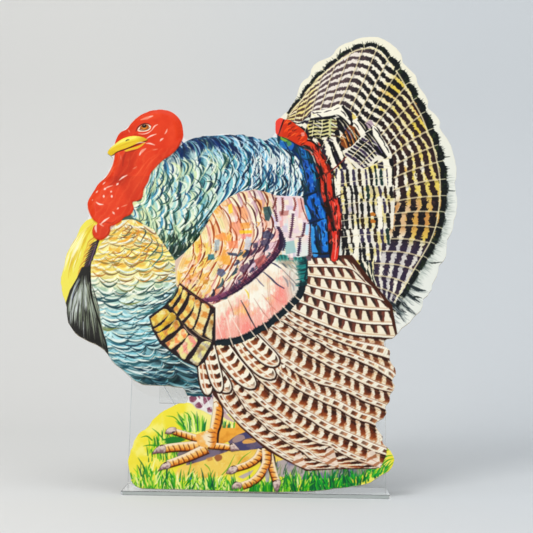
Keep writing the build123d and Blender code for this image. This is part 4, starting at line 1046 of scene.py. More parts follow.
def hackle_and_beard():
    # yellow neck plume at the far left
    fill([(96, 217), (86, 221), (77, 231), (68, 246), (61, 260), (57, 276), (58, 292), (62, 302), (66, 309), (74, 300),
          (84, 284), (92, 264), (100, 246), (108, 236), (104, 224)], hexc('ebe05c'), height=0.9)
    r = np.random.RandomState(3)
    for i in range(150):
        a = r.rand()
        t0 = r.rand() * 0.7
        # strands run from the wattle down and left, curving with the edge
        base = catmull([(96 - 2 * a, 222), (88 - 10 * a, 236), (80 - 16 * a, 256), (74 - 14 * a, 278), (76 - 12 * a, 298)], 40)
        s0 = int(t0 * 26)
        seg = base[s0:s0 + 6 + int(r.rand() * 10)]
        if len(seg) < 3:
            continue
        cc = ['f6f1c4', 'f3ea8a', 'e3cf2e', 'd8b52c', 'faf8df'][int(r.rand() * 5)]
        stroke(seg, 0.9 + 0.9 * r.rand(), hexc(cc), alpha=0.75, taper=(0.2, 0.2), n=7)
    for i in range(26):
        y = 238 + i * 2.4
        x = 95 - (y - 238) * 0.30
        stroke([(x, y), (x - 4 - 3 * r.rand(), y + 4), (x - 6 - 4 * r.rand(), y + 10)], 1.2, hexc('e0b23a' if i % 3 else 'c9832a'), alpha=0.75, taper=(1, 0.1), n=6)
    # dark seam with spikes
    stroke([(99, 240), (95, 250), (91, 260), (87, 270), (84, 279)], 4.2, hexc('3b2a35'), taper=(0.5, 1.1), jag=0.35, seed=2, height=1.0)
    for i in range(14):
        y = 242 + i * 2.7
        x = 97.5 - (y - 242) * 0.36
        stroke([(x, y), (x - 3.4, y + 1.8), (x - 6.4 - 2 * r.rand(), y + 5)], 1.6, hexc('3b2a35'), taper=(1, 0.1), n=5)
    stroke([(96, 246), (92.6, 256), (89, 266)], 0.9, hexc('7a6280'), alpha=0.8)
    # beard
    fill([(82, 268), (77, 279), (70, 291), (65.5, 304), (66, 318), (69, 330), (78, 338), (90, 345), (101, 352), (109, 358), (107, 344),
          (101, 326), (96, 311), (91.5, 296), (90, 280), (91, 268)], hexc('23221f'), height=1.1)
    for i in range(230):
        a = r.rand()
        top = (80 + 9 * a, 276 + r.rand() * 10)
        bot = (66.5 + 40 * a ** 1.15, 318 + 30 * a ** 0.8 + r.rand() * 10 - 4)
        mid = ((top[0] + bot[0]) / 2 - 3.5 + 5.5 * a, (top[1] + bot[1]) / 2)
        c3 = catmull([top, mid, bot], 24)
        s0 = int(r.rand() * 14)
        seg = c3[s0:s0 + 5 + int(r.rand() * 9)]
        dark = r.rand()
        if dark < 0.34:
            cc = '171713'
        elif dark < 0.62:
            cc = '7d8670'
        elif dark < 0.8:
            cc = 'a9b4a4'
        else:
            cc = 'd4dad6'
        if a > 0.62 and cc == 'd4dad6':
            cc = '9aa08c'
        if a < 0.5 and cc == '171713' and r.rand() < 0.6:
            cc = 'b9c0bc'
        stroke(seg, 0.8 + 0.8 * r.rand(), hexc(cc), alpha=0.8, taper=(0.2, 0.2), n=6)
    for x0 in (71, 74.5, 78):
        stroke([(x0 + 4, 286), (x0 + 0.5, 300), (x0 - 1.5, 312)], 2.0, hexc('dfe3e4'), alpha=0.55, taper=(0.2, 0.2), soft=0.8)
    stroke([(80, 280), (75, 290), (72, 300)], 1.0, hexc('8a90b8'), alpha=0.5)
    stroke([(90, 266), (90.5, 282), (92, 298), (97, 316), (104, 338), (108, 352)], 1.6, hexc('14140f'), taper=(1, 0.6))


COVERT_COLS = [
    [(186, 253), (181, 261), (177, 272), (177, 286)],
    [(194, 244), (194, 257), (189, 269), (180, 288)],
    [(201, 236), (202.5, 250), (199, 264), (184, 291)],
    [(207, 226), (211.5, 243), (209, 260), (188, 295)],
    [(213, 214), (220.5, 232), (221, 255), (196, 299)],
    [(220, 206), (230, 227), (231, 252), (204, 303)],
    [(229, 199), (240, 220), (243, 245), (214, 305)],
    [(239, 194.5), (251, 218), (253, 245), (226, 299)],
    [(250, 192.5), (260.5, 215), (262.5, 240), (238, 291)],
    [(262, 192.5), (269.5, 212), (272, 235), (249, 282)],
    [(273, 196), (278, 215), (281.5, 238), (264, 271)]]


def coverts():
    fill([(175, 262), (186, 253), (197, 241), (205, 228), (214, 213), (226, 201), (240, 193), (255, 190.5), (272, 196),
          (303, 200.5), (308, 212), (313, 226), (311, 240), (310, 256), (298, 256.5), (280, 256), (262, 273), (246, 287),
          (228, 300), (212, 307), (198, 304), (186, 297), (176, 287)], lambda X, Y: mix(hexc('e6d2ae'), hexc('d8bfae'), smooth(0.4, 0.6, N_MID[_w(X, Y)])), height=2.2)
    P = loft(COVERT_COLS)
    w = win(P)
    n1, n2, n3 = N_FINE[w], N_MID[w], N_HAIR[w]
    u, v = P.U, P.V
    j = np.floor(v)
    vf = v - j
    ln = np.interp(j, [0, 4, 9], [40, 88, 96])
    pitch = 15.0
    # scale ends bow downwards within each strip
    t = u * ln / pitch + hash2(j, 4) * 0.9 + 0.30 * (2 * vf - 1) ** 2 + (n1 - 0.5) * 0.18
    i = np.floor(t)
    f = t - i
    h1, h2 = hash2(i, j, 3), hash2(i, j, 8)
    q = v / 10.0
    warm = ramp(h1, [(0, hexc('efe6cc')), (0.22, hexc('f2e5b4')), (0.4, hexc('f1c9a0')), (0.55, hexc('f0b658')),
                     (0.68, hexc('f0a08a')), (0.8, hexc('ecd45c')), (0.9, hexc('e6dccb')), (1, hexc('f1e0cf'))])
    cool = ramp(h1, [(0, hexc('eee2d6')), (0.3, hexc('efcfc4')), (0.5, hexc('e6d3dc')), (0.7, hexc('ece0cf')),
                     (0.85, hexc('d9cfe0')), (1, hexc('f2b0a0'))])
    gold = ramp(h1, [(0, hexc('efe3a4')), (0.4, hexc('ecd86a')), (0.7, hexc('efc95c')), (1, hexc('efe4bd'))])
    b = mix(warm, cool, smooth(0.55, 0.85, q + (u - 0.5) * 0.25 + (h2 - 0.5) * 0.3))
    b = mix(b, gold, (1 - smooth(0.12, 0.42, q + (h2 - 0.5) * 0.2)) * 0.85)
    # brush grain along the barbs
    b = b * (0.955 + 0.09 * (0.5 + 0.5 * np.sin(vf * 26 + n1 * 3)))[..., None]
    b = mix(b, hexc('f6efdc'), smooth(0.62, 0.85, f) * (1 - smooth(0.9, 1, f)) * 0.6)
    b = mix(b, hexc('e99a4a'), np.clip((n2 - 0.52) * 2.2, 0, 0.45) * (q < 0.62))
    # rust outline at each strip's edge, broken with the scales
    redl = mix(hexc('a8431c'), hexc('5a1f2c'), smooth(0.45, 0.9, q + 0.2 * (u - 0.5)))
    wd = np.interp(q, [0, 0.5, 1], [0.10, 0.11, 0.15]) * (0.55 + 0.9 * n2) * (0.75 + 0.5 * h2)
    e = smooth(1 - wd * 1.7, 1 - wd * 0.9, vf) * smooth(0.02, 0.14, f)
    b = mix(b, redl, np.clip(e, 0, 1) * 0.95)
    lite = smooth(0.0, 0.03, vf) * (1 - smooth(0.07, 0.14, vf))
    b = mix(b, hexc('faf2df'), lite * 0.6)
    # end of each scale
    en = smooth(0.0, 0.035, f) * (1 - smooth(0.05, 0.11, f)) * smooth(0.25, 0.75, vf) * (h2 > 0.35)
    b = mix(b, redl, en * 0.75)
    # pinker and darker near the trailing edge
    edge = smooth(0.80, 0.99, u + (n2 - 0.5) * 0.1) * smooth(0.35, 0.6, q)
    b = mix(b, hexc('b0687c'), np.clip(edge * 0.7, 0, 1))
    put(P, b, height=2.6 + 0.35 * smooth(0, 0.2, vf) * (1 - 0.5 * vf))
    RU = [hexc(x) for x in ('92330f', '6a2012', '7c2e0c', '561a24', 'a8481a')]

    def edge(q, u, r):
        d = RU[int(r.rand() * 5)]
        if q > 0.6 and u > 0.35:
            d = [hexc('5a2036'), hexc('3f1c38'), hexc('7a2c3c')][int(r.rand() * 3)]
        tint = [hexc('f3b24a'), hexc('f4c9a6'), hexc('efe08a'), hexc('f08f66'), hexc('f0b8b0')][int(r.rand() * 5)]
        if q > 0.7:
            tint = [hexc('e6b8c4'), hexc('f0d6cc'), hexc('c9a0b8')][int(r.rand() * 3)]
        return [(-0.45, 4.4, tint, 0.62 * (r.rand() > 0.3)), (-0.20, 1.5, hexc('f8ecd2'), 0.7 * (r.rand() > 0.3)), (0.0, 1.5 + 0.9 * r.rand(), d, 0.92)]
    crescents(P, 1.0, 22.0, 0.34, edge, 91, v0=0.9, keep=0.86)
    crescents(P, 1.0, 10.0, 0.15, lambda q, u, r: [(0, 0.9, hexc('b5602f') if q < 0.6 else hexc('8a3a4a'), 0.55)], 92, v0=0.5, keep=0.22)
    # short dark accents between the scales, denser towards the trailing edge
    rr_ = np.random.RandomState(93)
    for i in range(150):
        uu = rr_.rand() ** 0.75
        vv = 0.5 + 9.0 * rr_.rand()
        if uu < 0.3 and rr_.rand() < 0.6:
            continue
        t_ = np.linspace(0, 1, 5)
        q_ = along(P, uu + t_ * (0.03 + 0.07 * rr_.rand()), vv + 0.25 * np.sin(t_ * np.pi))
        pal_ = ['4a1830', '232c4c', 'f6efd8', '5a1c28', '24485a', 'f3c9b6', '2a2038', 'e9b9a8'] if vv > 5.2 and uu > 0.35 else ['f6e6b0', 'f3c46a', 'f6efd8', 'f3c9b6', 'efe08a', 'c9743a', 'f0b04a', 'f8f2e0']
        stroke(q_, 1.4 + 2.4 * rr_.rand(), hexc(pal_[int(8 * rr_.rand())]), alpha=0.75, taper=(0.4, 0.5), n=6)
    # bold blocks
    for pts, c in (([(263, 209), (270, 208), (272, 215), (269, 223), (265, 222)], '17444c'), ([(262, 234), (268, 232), (275, 237), (272, 241), (263, 240)], '2b2f50'),
                   ([(218, 270), (224, 271), (226, 275), (222, 279), (217, 276)], '46527a'), ([(208, 256), (214, 256), (215, 261), (208, 262)], '21707e'),
                   ([(227, 254), (237, 255), (238, 258), (229, 257)], '2a3350'), ([(241, 268), (248, 264), (250, 269), (243, 275), (239, 272)], '5a3a55'),
                   ([(249, 262), (254, 260), (255, 264), (250, 267)], '3a2540'), ([(253, 245), (258, 244), (258, 249), (253, 250)], '3a3550'),
                   ([(260, 243), (268, 240), (270, 245), (262, 248)], '3c3452'), ([(239, 232), (252, 232), (252, 235), (240, 235.5)], 'f4c81e'),
                   ([(241, 236), (252, 235.5), (251, 240), (242, 241)], 'ef8a80'), ([(214, 238), (224, 234), (228, 241), (220, 243)], 'f39a4e'),
                   ([(228, 243), (238, 242), (238, 250), (229, 250)], 'f08a62'), ([(222, 258), (230, 257), (231, 267), (223, 266)], 'efa93c'),
                   ([(228, 207), (232, 205), (233, 214), (229, 216)], 'f3cb2c'), ([(240, 225), (249, 224), (250, 230), (241, 231)], 'f0a046'),
                   ([(203, 282), (208, 281), (208, 286), (203, 286)], 'c98c2c'), ([(254, 262), (264, 256), (268, 262), (258, 270)], 'b35a55'),
                   ([(246, 238), (252, 239), (250, 252), (244, 251)], 'c7cbd8'), ([(215, 242), (220, 241), (219, 252), (214, 253)], '9fb3bb')):
        fill(pts, lambda X, Y, c=c: mix(hexc(c), np.minimum(hexc(c) + 0.2, 1), smooth(0.45, 0.8, N_FINE[_w(X, Y)]) * 0.6), alpha=0.78, soft=2)
    # right hand strips, pale rose with plum stitched edges
    fill([(276, 197.5), (300, 197.5), (304, 200), (308, 212), (312, 225), (311, 240), (309, 257), (298, 259), (282, 256), (281, 240), (277, 224)],
         lambda X, Y: mix(mix(hexc('ecdcd3'), hexc('e5cfd6'), smooth(0.4, 0.7, N_MID[_w(X, Y)])), hexc('dfe6e0'), smooth(238, 250, Y) * 0.8), height=2.6)
    fill([(297, 200), (303, 201), (306, 211), (308, 221), (298, 222), (299, 210)], hexc('eab3a8'), alpha=0.85)
    rp = np.random.RandomState(31)
    for i in range(46):
        x, y = 279 + 27 * rp.rand(), 199 + 54 * rp.rand()
        if x > 303 + (y - 199) * 0.12 or x < 276 + max(0, y - 225) * 0.12:
            continue
        hh, ww = 4 + 6 * rp.rand(), 2.5 + 3 * rp.rand()
        fill([(x, y), (x + ww, y - 0.4), (x + ww + 0.8, y + hh), (x + 0.8, y + hh)], hexc(['f6efe4', 'f0d8d0', 'e4c8d6', 'd9e4e0', 'e6a8a6', 'f3e6c8', 'cfc3d4'][int(7 * rp.rand())]), alpha=0.75, soft=1)
    fill([(279, 213), (289, 212), (288, 217), (280, 218)], hexc('c08078'), alpha=0.8)
    fill([(284, 244), (294, 242), (296, 254), (286, 256)], hexc('9cc4bf'), alpha=0.85)
    for (pts, wd, c) in (([(276, 200), (275, 205), (273, 210)], 2.0, '7c3d34'), ([(274, 212), (276, 217), (277, 223)], 2.2, '5f2f46'),
                         ([(282.4, 200), (283, 208), (282, 216)], 2.3, '7a3a36'), ([(294, 200), (295.4, 206), (294, 212)], 2.0, '93433a'),
                         ([(300.6, 200), (303, 211), (308, 223)], 1.6, '7c3436'), ([(293, 216), (292, 227), (290, 239)], 2.6, '5c3350'),
                         ([(278, 229), (281, 235), (282, 242)], 3.6, '3f2947'), ([(284, 240), (284.6, 246), (283, 252)], 2.4, '2b2c48'),
                         ([(300, 240), (299.4, 248), (298, 257)], 2.6, '3a2340'), ([(304.6, 225), (304, 231), (302, 238)], 2.2, '4c2a45'),
                         ([(310.8, 228), (309.6, 242), (309, 257)], 2.0, '4a2b33'), ([(296, 238.6), (301, 238), (304, 237)], 1.2, '7a3a36'),
                         ([(304.6, 201), (309, 213), (313, 226)], 2.0, 'f2e9da')):
        L = length(pts)
        stroke(pts, wd * 0.75, hexc(c), taper=(0.9, 0.9), jag=0.3, seed=int(pts[0][0]), alpha=0.9)
        if wd > 1.9:
            cc = catmull(pts, int(L / 2.2) + 2)
            for k in range(len(cc)):
                stroke([cc[k] - (wd * 0.55, 0.4), cc[k] + (wd * 0.55, -0.2)], 0.9, hexc(c), alpha=0.8, n=3)
    fill([(306, 226), (309, 226), (308, 237), (305, 236)], hexc('bfe0ee'), alpha=0.9)
    # lower trailing edge: plum shadow with stitched barbs
    E = [(281, 236), (281.4, 246), (276, 256), (265, 267.5), (252, 279), (240, 288.5), (227, 296.5), (215, 301.5), (203, 302.5)]
    stroke(E, 4.6, hexc('33203c'), taper=(0.9, 0.5), jag=0.28, seed=3, height=2.0)
    stroke([(227, 294), (219, 298.4), (211, 301), (203, 301)], 4.6, hexc('8c5078'), alpha=0.9, taper=(0.5, 0.5), jag=0.2, seed=4)
    c = catmull(E, 60)
    r = np.random.RandomState(8)
    for k in range(60):
        d = (-0.72, -0.62)
        if k > 8:
            stroke([c[k], c[k] + np.array(d) * (3.5 + 3.5 * r.rand())], 1.3, hexc('5d2e4c' if r.rand() < 0.5 else '8c4a62'), alpha=0.75, taper=(1, 0.3), n=4)
    stroke([(178, 287), (186, 293.6), (194, 299), (204, 304), (213, 308)], 1.3, hexc('a33f3c'), taper=(0.5, 0.9))


def rose():
    top = [(213, 306), (226, 300.5), (239, 292.5), (252, 283), (264, 272), (274, 262), (281, 256), (292, 256), (303, 262)]
    bot = [(213.5, 343), (226, 342), (239, 338.6), (250, 334.6), (262, 327.6), (273, 321), (284, 312.4), (294, 303), (301, 292)]
    mid = [((a[0] + b[0]) / 2, (a[1] + b[1]) / 2) for a, b in zip(top, bot)]
    P = loft([top, mid, bot], [0, 0.5, 1])
    w = win(P)
    n1, n2, n3 = N_FINE[w], N_MID[w], N_HAIR[w]
    u, v = P.U, P.V
    k = u * 8
    xs = k + (hash2(np.floor(k), 2) - 0.5) * 0.2 + (v - 0.5) * 0.10
    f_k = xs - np.floor(xs)
    id_ = np.floor(xs)
    cream = mix(hexc('f3eede'), hexc('f0dcc2'), smooth(0.4, 0.7, n2))
    rose_ = mix(hexc('f0a494'), hexc('f2827a'), smooth(0.42, 0.75, n2 + 0.2 * hash2(id_, 5) - 0.1))
    st = 0.5 + 0.5 * np.sin(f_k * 18 + n1 * 6 + id_)
    amt = smooth(0.30, 0.72, v + (n2 - 0.5) * 0.9 + (hash2(id_, 7) - 0.5) * 0.35 + (st - 0.5) * 0.22)
    amt = amt * (0.75 + 0.25 * st)
    amt = amt * np.interp(k, [0, 0.35, 1, 6.2, 7.2, 8], [0.25, 0.8, 1, 1, 0.25, 0])
    c = mix(cream, rose_, np.clip(amt, 0, 0.96))
    c = mix(c, hexc('f4e07a'), np.clip(smooth(0.2, 0.5, v) * (1 - smooth(0.5, 0.8, v)), 0, 1) * np.clip((n2 - 0.5) * 3, 0, 0.6) * (k > 1.6) * (k < 5.5))
    c = mix(c, hexc('c9c6bd'), smooth(6.1, 7.3, k) * (0.4 + 0.4 * n1) * (v > 0.25))
    c = mix(c, hexc('f7f2e6'), np.clip((st - 0.72) * 2.4, 0, 0.8) * (1 - 0.6 * v))
    e = 1 - smooth(0.015, 0.05, np.minimum(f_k, 1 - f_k))
    c = mix(c, hexc('b98d78'), e * 0.45 * smooth(0.05, 0.3, v))
    put(P, c, height=2.3 + 0.35 * np.sin(np.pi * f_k) + 0.2 * (1 - v))
    for (pts, wd, cc, a) in (([(241, 302), (246, 311), (251, 321), (256, 330)], 1.6, '2a2a3a', .95), ([(228, 301), (232, 310), (234, 318)], 0.9, '9a5a3c', .7),
                             ([(262, 272.5), (270, 279), (276, 285), (284, 290)], 1.8, '2f3054', .95), ([(256, 279), (260, 284), (264, 288)], 1.3, '4a4a72', .8),
                             ([(268, 263), (275, 266), (281, 270)], 1.6, '2f2f52', .9), ([(281, 270), (289, 278), (297, 287), (301, 293)], 1.0, '6b6a70', .8),
                             ([(271, 296), (277, 301), (281, 303)], 1.4, 'e98f86', .9), ([(245, 291), (248, 295), (249, 300)], 1.8, 'f0cf3a', .85),
                             ([(254, 300), (262, 312), (270, 322)], 1.0, 'a86a5a', .6), ([(262, 296), (272, 308), (280, 316)], 1.0, 'c0806a', .6),
                             ([(283, 278), (287, 283), (288, 288)], 2.2, '86848c', .7), ([(289, 282), (293, 287), (294, 292)], 2.0, '8f8d94', .6),
                             ([(215, 312), (218, 326), (222, 340)], 1.2, 'f6efe2', .7), ([(231, 318), (237, 328), (242, 337)], 1.1, 'f7ead9', .8),
                             ([(222, 306), (227, 322), (231, 340)], 1.0, 'f5ecdc', .7)):
        stroke(pts, wd, hexc(cc), alpha=a, taper=(0.4, 0.5))
    # jagged black trailing band broken by the feathers' light edges
    B = [(214, 345), (222, 344), (232, 343), (241, 340.6), (249, 337.6), (256, 333.4), (262, 329.6), (269, 326.4), (274, 321), (281, 316),
         (288, 309.6), (294, 303.6), (299, 298), (302, 291), (303, 284), (305, 276), (305, 266)]
    stroke(B, 4.8, hexc('10222a'), taper=(1, 0.9), jag=0.42, seed=9, height=1.9)
    c = catmull(B, 150)
    r = np.random.RandomState(2)
    for kx in range(2, 148):
        tdir = c[min(kx + 1, 149)] - c[kx - 1]
        nn = np.array([tdir[1], -tdir[0]]) / (np.hypot(*tdir) + 1e-9)
        stroke([c[kx] + nn * 1.5, c[kx] + nn * (3.0 + 1.8 * r.rand())], 0.9, hexc('10222a'), taper=(1, 0.3), n=3)
    for kx in (20, 33, 46, 62, 79, 92, 101, 110):
        tdir = c[kx + 1] - c[kx - 1]
        nn = np.array([tdir[1], -tdir[0]]) / np.hypot(*tdir)
        stroke([c[kx] + nn * 4 + (-1.5, -1), c[kx] - nn * 3.6 + (1, 1)], 1.0, hexc('f1dcc6'), taper=(0.8, 0.8))
    # teal cap
    fill([(275, 261), (281, 256.5), (292, 255), (301, 258), (306, 264), (306, 275), (304, 285), (299, 279), (290, 272), (281, 266), (275, 264)],
         lambda X, Y: mix(mix(mix(hexc('e2e4d6'), hexc('b4a894'), smooth(0.35, 0.62, N_MID[_w(X, Y)])), hexc('6fb8ac'), (1 - smooth(258, 264, Y)) * 0.9), hexc('177a78'), smooth(294, 303, X) * 0.9), height=2.5, soft=2, smoothn=120)
    for i in range(26):
        x = 276 + i * 1.15
        stroke([(x, 256.6 - 0.4 * np.sin(i)), (x + 0.8, 259.5), (x + 1.2, 262 + r.rand() * 2)], 1.2, hexc('0f5550' if i % 3 else '2f9a90'), alpha=0.8, taper=(1, 0.2), n=4)
    for i in range(34):
        y = 260 + 27 * r.rand()
        stroke([(306.4, y), (303, y + 0.6 + r.rand()), (300 - 5 * r.rand(), y + 1 + 2 * r.rand())], 0.9 + 1.2 * r.rand(), hexc(['0e4a4c', '0b3438', '35a39a', '177a78'][int(4 * r.rand())]), alpha=0.8, taper=(1, 0.2), n=4)
    for i in range(26):
        x, y = 281 + 19 * r.rand(), 262 + 16 * r.rand()
        if y > 262 + (x - 278) * 0.75:
            continue
        stroke([(x, y), (x + 2.6, y + 2.2), (x + 4.6, y + 5)], 0.9 + 1.4 * r.rand(), hexc(['8c8f8a', '4c5a62', 'f2efe4', 'd8c9a2', '6f8f8c'][int(5 * r.rand())]), alpha=0.7, taper=(0.4, 0.3), n=4)
    stroke([(274, 261), (279, 256.5), (287, 254.6), (297, 255.6), (303, 258.6), (306.4, 264), (306.6, 272), (304.5, 281)], 1.8, hexc('123c42'), taper=(0.5, 1), jag=0.2, seed=5)


# gold barred block: strips (outline) with tint
GOLD = [
    ([(150, 320), (164, 310), (170.5, 313.5), (168.5, 317), (158, 325.5), (153, 328)], 'e6d268', 'd7a33a'),
    ([(153, 331), (163, 324.5), (172, 313), (177, 319.5), (166, 327.5), (158.5, 333.5)], 'e3c93f', 'd9a52c'),
    ([(156.5, 335), (168, 329.5), (176.5, 320.5), (181, 326), (175, 332.5), (168, 336.5), (161, 342.5)], 'e8c94e', 'd98a45'),
    ([(164.5, 344.5), (172, 340), (183, 329.5), (188.5, 335.5), (183, 342), (176, 347), (170.5, 351)], 'efdc8e', 'f28a4e'),
    ([(176, 352), (183, 344), (189.5, 336), (198, 341), (194, 349), (188, 356), (183.5, 361.5)], 'e8dc96', 'ef9088'),
    ([(189, 362), (194.5, 355.5), (199, 347), (204, 342), (211.5, 343.5), (206, 354), (200.5, 363), (197, 367.5)], 'e6df96', 'b9b2a6'),
    ([(168, 306), (174, 300), (178.5, 292), (179.5, 286), (183, 288.5), (180.5, 295.5), (175.5, 302.5), (171, 309)], 'ecd666', 'd99a34'),
    ([(173, 311), (178, 305), (181.5, 299), (183.5, 290.5), (188, 294), (185.5, 301), (180.5, 309), (176, 316)], 'ecd877', 'd9913c'),
    ([(178, 319), (184.5, 311.5), (188.5, 304), (190.5, 296), (195.5, 299), (193.5, 308.5), (189, 315.5), (181.5, 323)], 'ecd777', 'db9440'),
    ([(184, 325), (190.5, 317.5), (194, 310), (195.5, 300.5), (200.5, 302.5), (198.5, 314), (196, 322), (191.5, 331)], 'ebdc94', 'db9040'),
    ([(193.5, 331.5), (198, 322), (201, 311), (202.3, 303.5), (210, 307.5), (208, 319), (204, 329), (201.5, 338)], 'ead79a', 'd98a35'),
    ([(204.5, 336.5), (208, 326), (211, 317), (213.8, 314), (213.4, 325), (212, 333), (212, 341.5), (208, 339.5)], 'ded09a', 'b5803c')]


def gold():
    fill([(149, 318), (163, 308), (173, 300), (180, 284.5), (190, 292), (204, 302), (215.5, 309), (215.5, 343), (212, 350), (205, 363),
          (197.5, 368.5), (184, 363), (172, 354), (160, 345), (152, 330)], hexc('231519'), height=1.9)
    covert_feather((203, 345), (208, 396), 6.6, 11, 0.5)
    covert_feather((207, 341), (220, 393), 6.4, 12, 0.5)
    fill([(149, 318), (163, 308), (173, 300), (180, 284.5), (190, 292), (204, 302), (215.5, 309), (215.5, 343), (212, 350), (205, 363),
          (197.5, 368.5), (184, 363), (172, 354), (160, 345), (152, 330)], hexc('231519'), height=1.9)
    # brown violet core to the gaps
    r = np.random.RandomState(12)
    for (pts, c1, c2) in GOLD:
        A = arr(pts)

        def tint(X, Y, c1=c1, c2=c2, A=A):
            n = N_MID[_w(X, Y)]
            f = N_FINE[_w(X, Y)]
            ctr = A.mean(0)
            d = A[0] - A[len(A) // 2]
            ax = d / np.hypot(*d)
            s = ((X - ctr[0]) * ax[0] + (Y - ctr[1]) * ax[1])
            t_ = -(X - ctr[0]) * ax[1] + (Y - ctr[1]) * ax[0]
            bars = 0.5 + 0.5 * np.sin(s * 0.62 + (n - 0.5) * 9 + A[0, 0])
            c = mix(hexc(c1), hexc(c2), np.clip(smooth(0.25, 0.85, bars) * (0.5 + 0.8 * f), 0, 0.95))
            c = mix(c, hexc('f3ebc4'), np.clip(smooth(0.6, 2.2, np.abs(t_) - 1.2) * 0.45 + (f - 0.62) * 2.0, 0, 0.6))
            c = mix(c, hexc('8a5418'), np.clip((n - 0.56) * 3, 0, 0.4))
            return c
        A = A.mean(0) + (A - A.mean(0)) * 0.93
        B = catmull(np.vstack([A, A[:1]]), 120)[:-1]
        g = np.gradient(B, axis=0)
        nn = np.stack([g[:, 1], -g[:, 0]], 1)
        nn /= np.hypot(*nn.T)[:, None] + 1e-9
        B = B + nn * ((r.rand(len(B)) - 0.5) * 0.9)[:, None]
        fill(B, tint, soft=1, height=2.6)
        stroke(np.vstack([A, A[:1]]), 0.5, hexc('f3e9bd'), alpha=0.45, soft=0.3)
    for i in range(70):
        x, y = 152 + 62 * r.rand(), 290 + 70 * r.rand()
        if (x - 150) * 0.62 + (y - 288) * 0.5 < 20:
            continue
        stroke([(x, y), (x - 2, y + 3)], 0.6, hexc('6a3f55' if r.rand() < 0.5 else '8a5a3a'), alpha=0.35, n=3)
    stroke([(169.5, 308), (176, 315), (183, 325), (191, 334)], 1.1, hexc('4a3424'), taper=(0.8, 0.8))
    stroke([(184, 327), (189, 333.5), (197, 339.6)], 0.9, hexc('d9b8a4'), alpha=0.8)
    stroke([(192.5, 331), (202, 338.4), (211.5, 342.5)], 0.9, hexc('c9b48c'), alpha=0.8)
    stroke([(180, 286), (190, 294), (204, 303.6), (214.6, 309)], 1.0, hexc('6a3030'))


STOCK = hexc('f1ebd8')


def vane(up, lo, narrow=4.6, pitch=10.6, seed=0, grey=0.0, gap=2.2, toff=0.0):
    """Flight feather band between its upper neighbour's edge and its own lower edge."""
    P = loft([up, lo])
    w = win(P)
    n1, n2, n3 = N_FINE[w], N_MID[w], N_HAIR[w]
    H = max(P.width, 4.0)
    u = P.U * P.len
    y = P.V * H
    wide = H - narrow
    c = mix(STOCK, hexc('efe0bd'), smooth(0.45, 0.75, n2) * 0.8)
    vv = np.clip(y / wide, 0, 1)
    t = (u + 0.24 * (wide - y) + (n2 - 0.5) * 4.6 + (n1 - 0.5) * 3.0 + (n3 - 0.5) * 1.2) / pitch + toff + 0.16 * (2 * vv - 1) ** 2
    i = np.floor(t)
    f = t - i
    duty = 0.57 + 0.14 * (hash2(i, seed) - 0.5) - 0.06 * vv
    bar = smooth(0.0, 0.12, f) * (1 - smooth(duty, duty + 0.14, f))
    dk = ramp(vv + (n1 - 0.5) * 0.45, [(0, hexc('220f09')), (0.28, hexc('3c1a0d')), (0.52, hexc('7a3718')), (0.8, hexc('ab5828')), (1, hexc('b86e3a'))])
    dk = mix(dk, hexc('5a4038'), grey)
    fade = 1 - smooth(0.80, 1.02, vv + 0.25 * f)
    barw = bar * (y < wide) * np.clip(fade, 0, 1)
    # rust fringe on the lower left side of each bar
    fr = smooth(duty - 0.06, duty + 0.02, f) * (1 - smooth(duty + 0.10, duty + 0.2, f)) * (y < wide) * smooth(0.25, 0.6, vv) * (1 - smooth(0.85, 1, vv))
    c = mix(c, hexc('c98a58'), fr * 0.85)
    c = mix(c, hexc('d9a276'), (1 - barw) * smooth(0.5, 0.8, n1) * 0.45 * (y < wide))
    c = mix(c, dk, barw)
    # shaft and narrow vane with dashes
    sh = smooth(wide - 0.7, wide - 0.1, y) * (1 - smooth(wide + 0.55, wide + 1.1, y))
    c = mix(c, hexc('8a4a2e'), smooth(wide - 1.5, wide - 0.9, y) * (1 - smooth(wide - 0.5, wide, y)) * 0.55)
    t2 = (u * 1.0 + 2.2 * n2 + (y - wide) * 0.5) / (pitch * 0.98) + toff + 0.35
    f2 = t2 - np.floor(t2)
    dash = smooth(0, 0.1, f2) * (1 - smooth(0.56, 0.68, f2)) * smooth(wide + 0.6, wide + 1.2, y) * (1 - smooth(H - 1.9, H - 1.2, y))
    c = mix(c, mix(hexc('5a2c18'), hexc('b0683c'), smooth(0.2, 0.55, f2 + (n1 - 0.5) * 0.5)), dash * (0.6 + 0.35 * hash2(np.floor(t2), seed + 3)))
    c = mix(c, hexc('f6efdf'), sh)
    # lower edge: pale line
    ed = smooth(H - 1.5, H - 1.0, y)
    c = mix(c, hexc('f5ecd8'), ed)
    c = mix(c, hexc('b9744a'), smooth(H - 0.35, H, y) * 0.55)
    # shadow of the neighbour above
    g = 1 - smooth(gap * 0.35, gap * 0.8, y + (n1 - 0.5) * 0.6)
    c = mix(c, hexc('3a190f'), g * 0.9)
    g2 = smooth(gap * 0.9, gap * 1.1, y) * (1 - smooth(gap * 1.3, gap * 1.9, y))
    c = mix(c, hexc('c08458'), g2 * 0.35)
    c = c * (0.975 + 0.04 * np.sin((u + y) * 2.4 + n3 * 3))[..., None]
    put(P, c, height=1.25 + 0.55 * (y / H) - 0.25 * (y > H - 0.5))
    return P


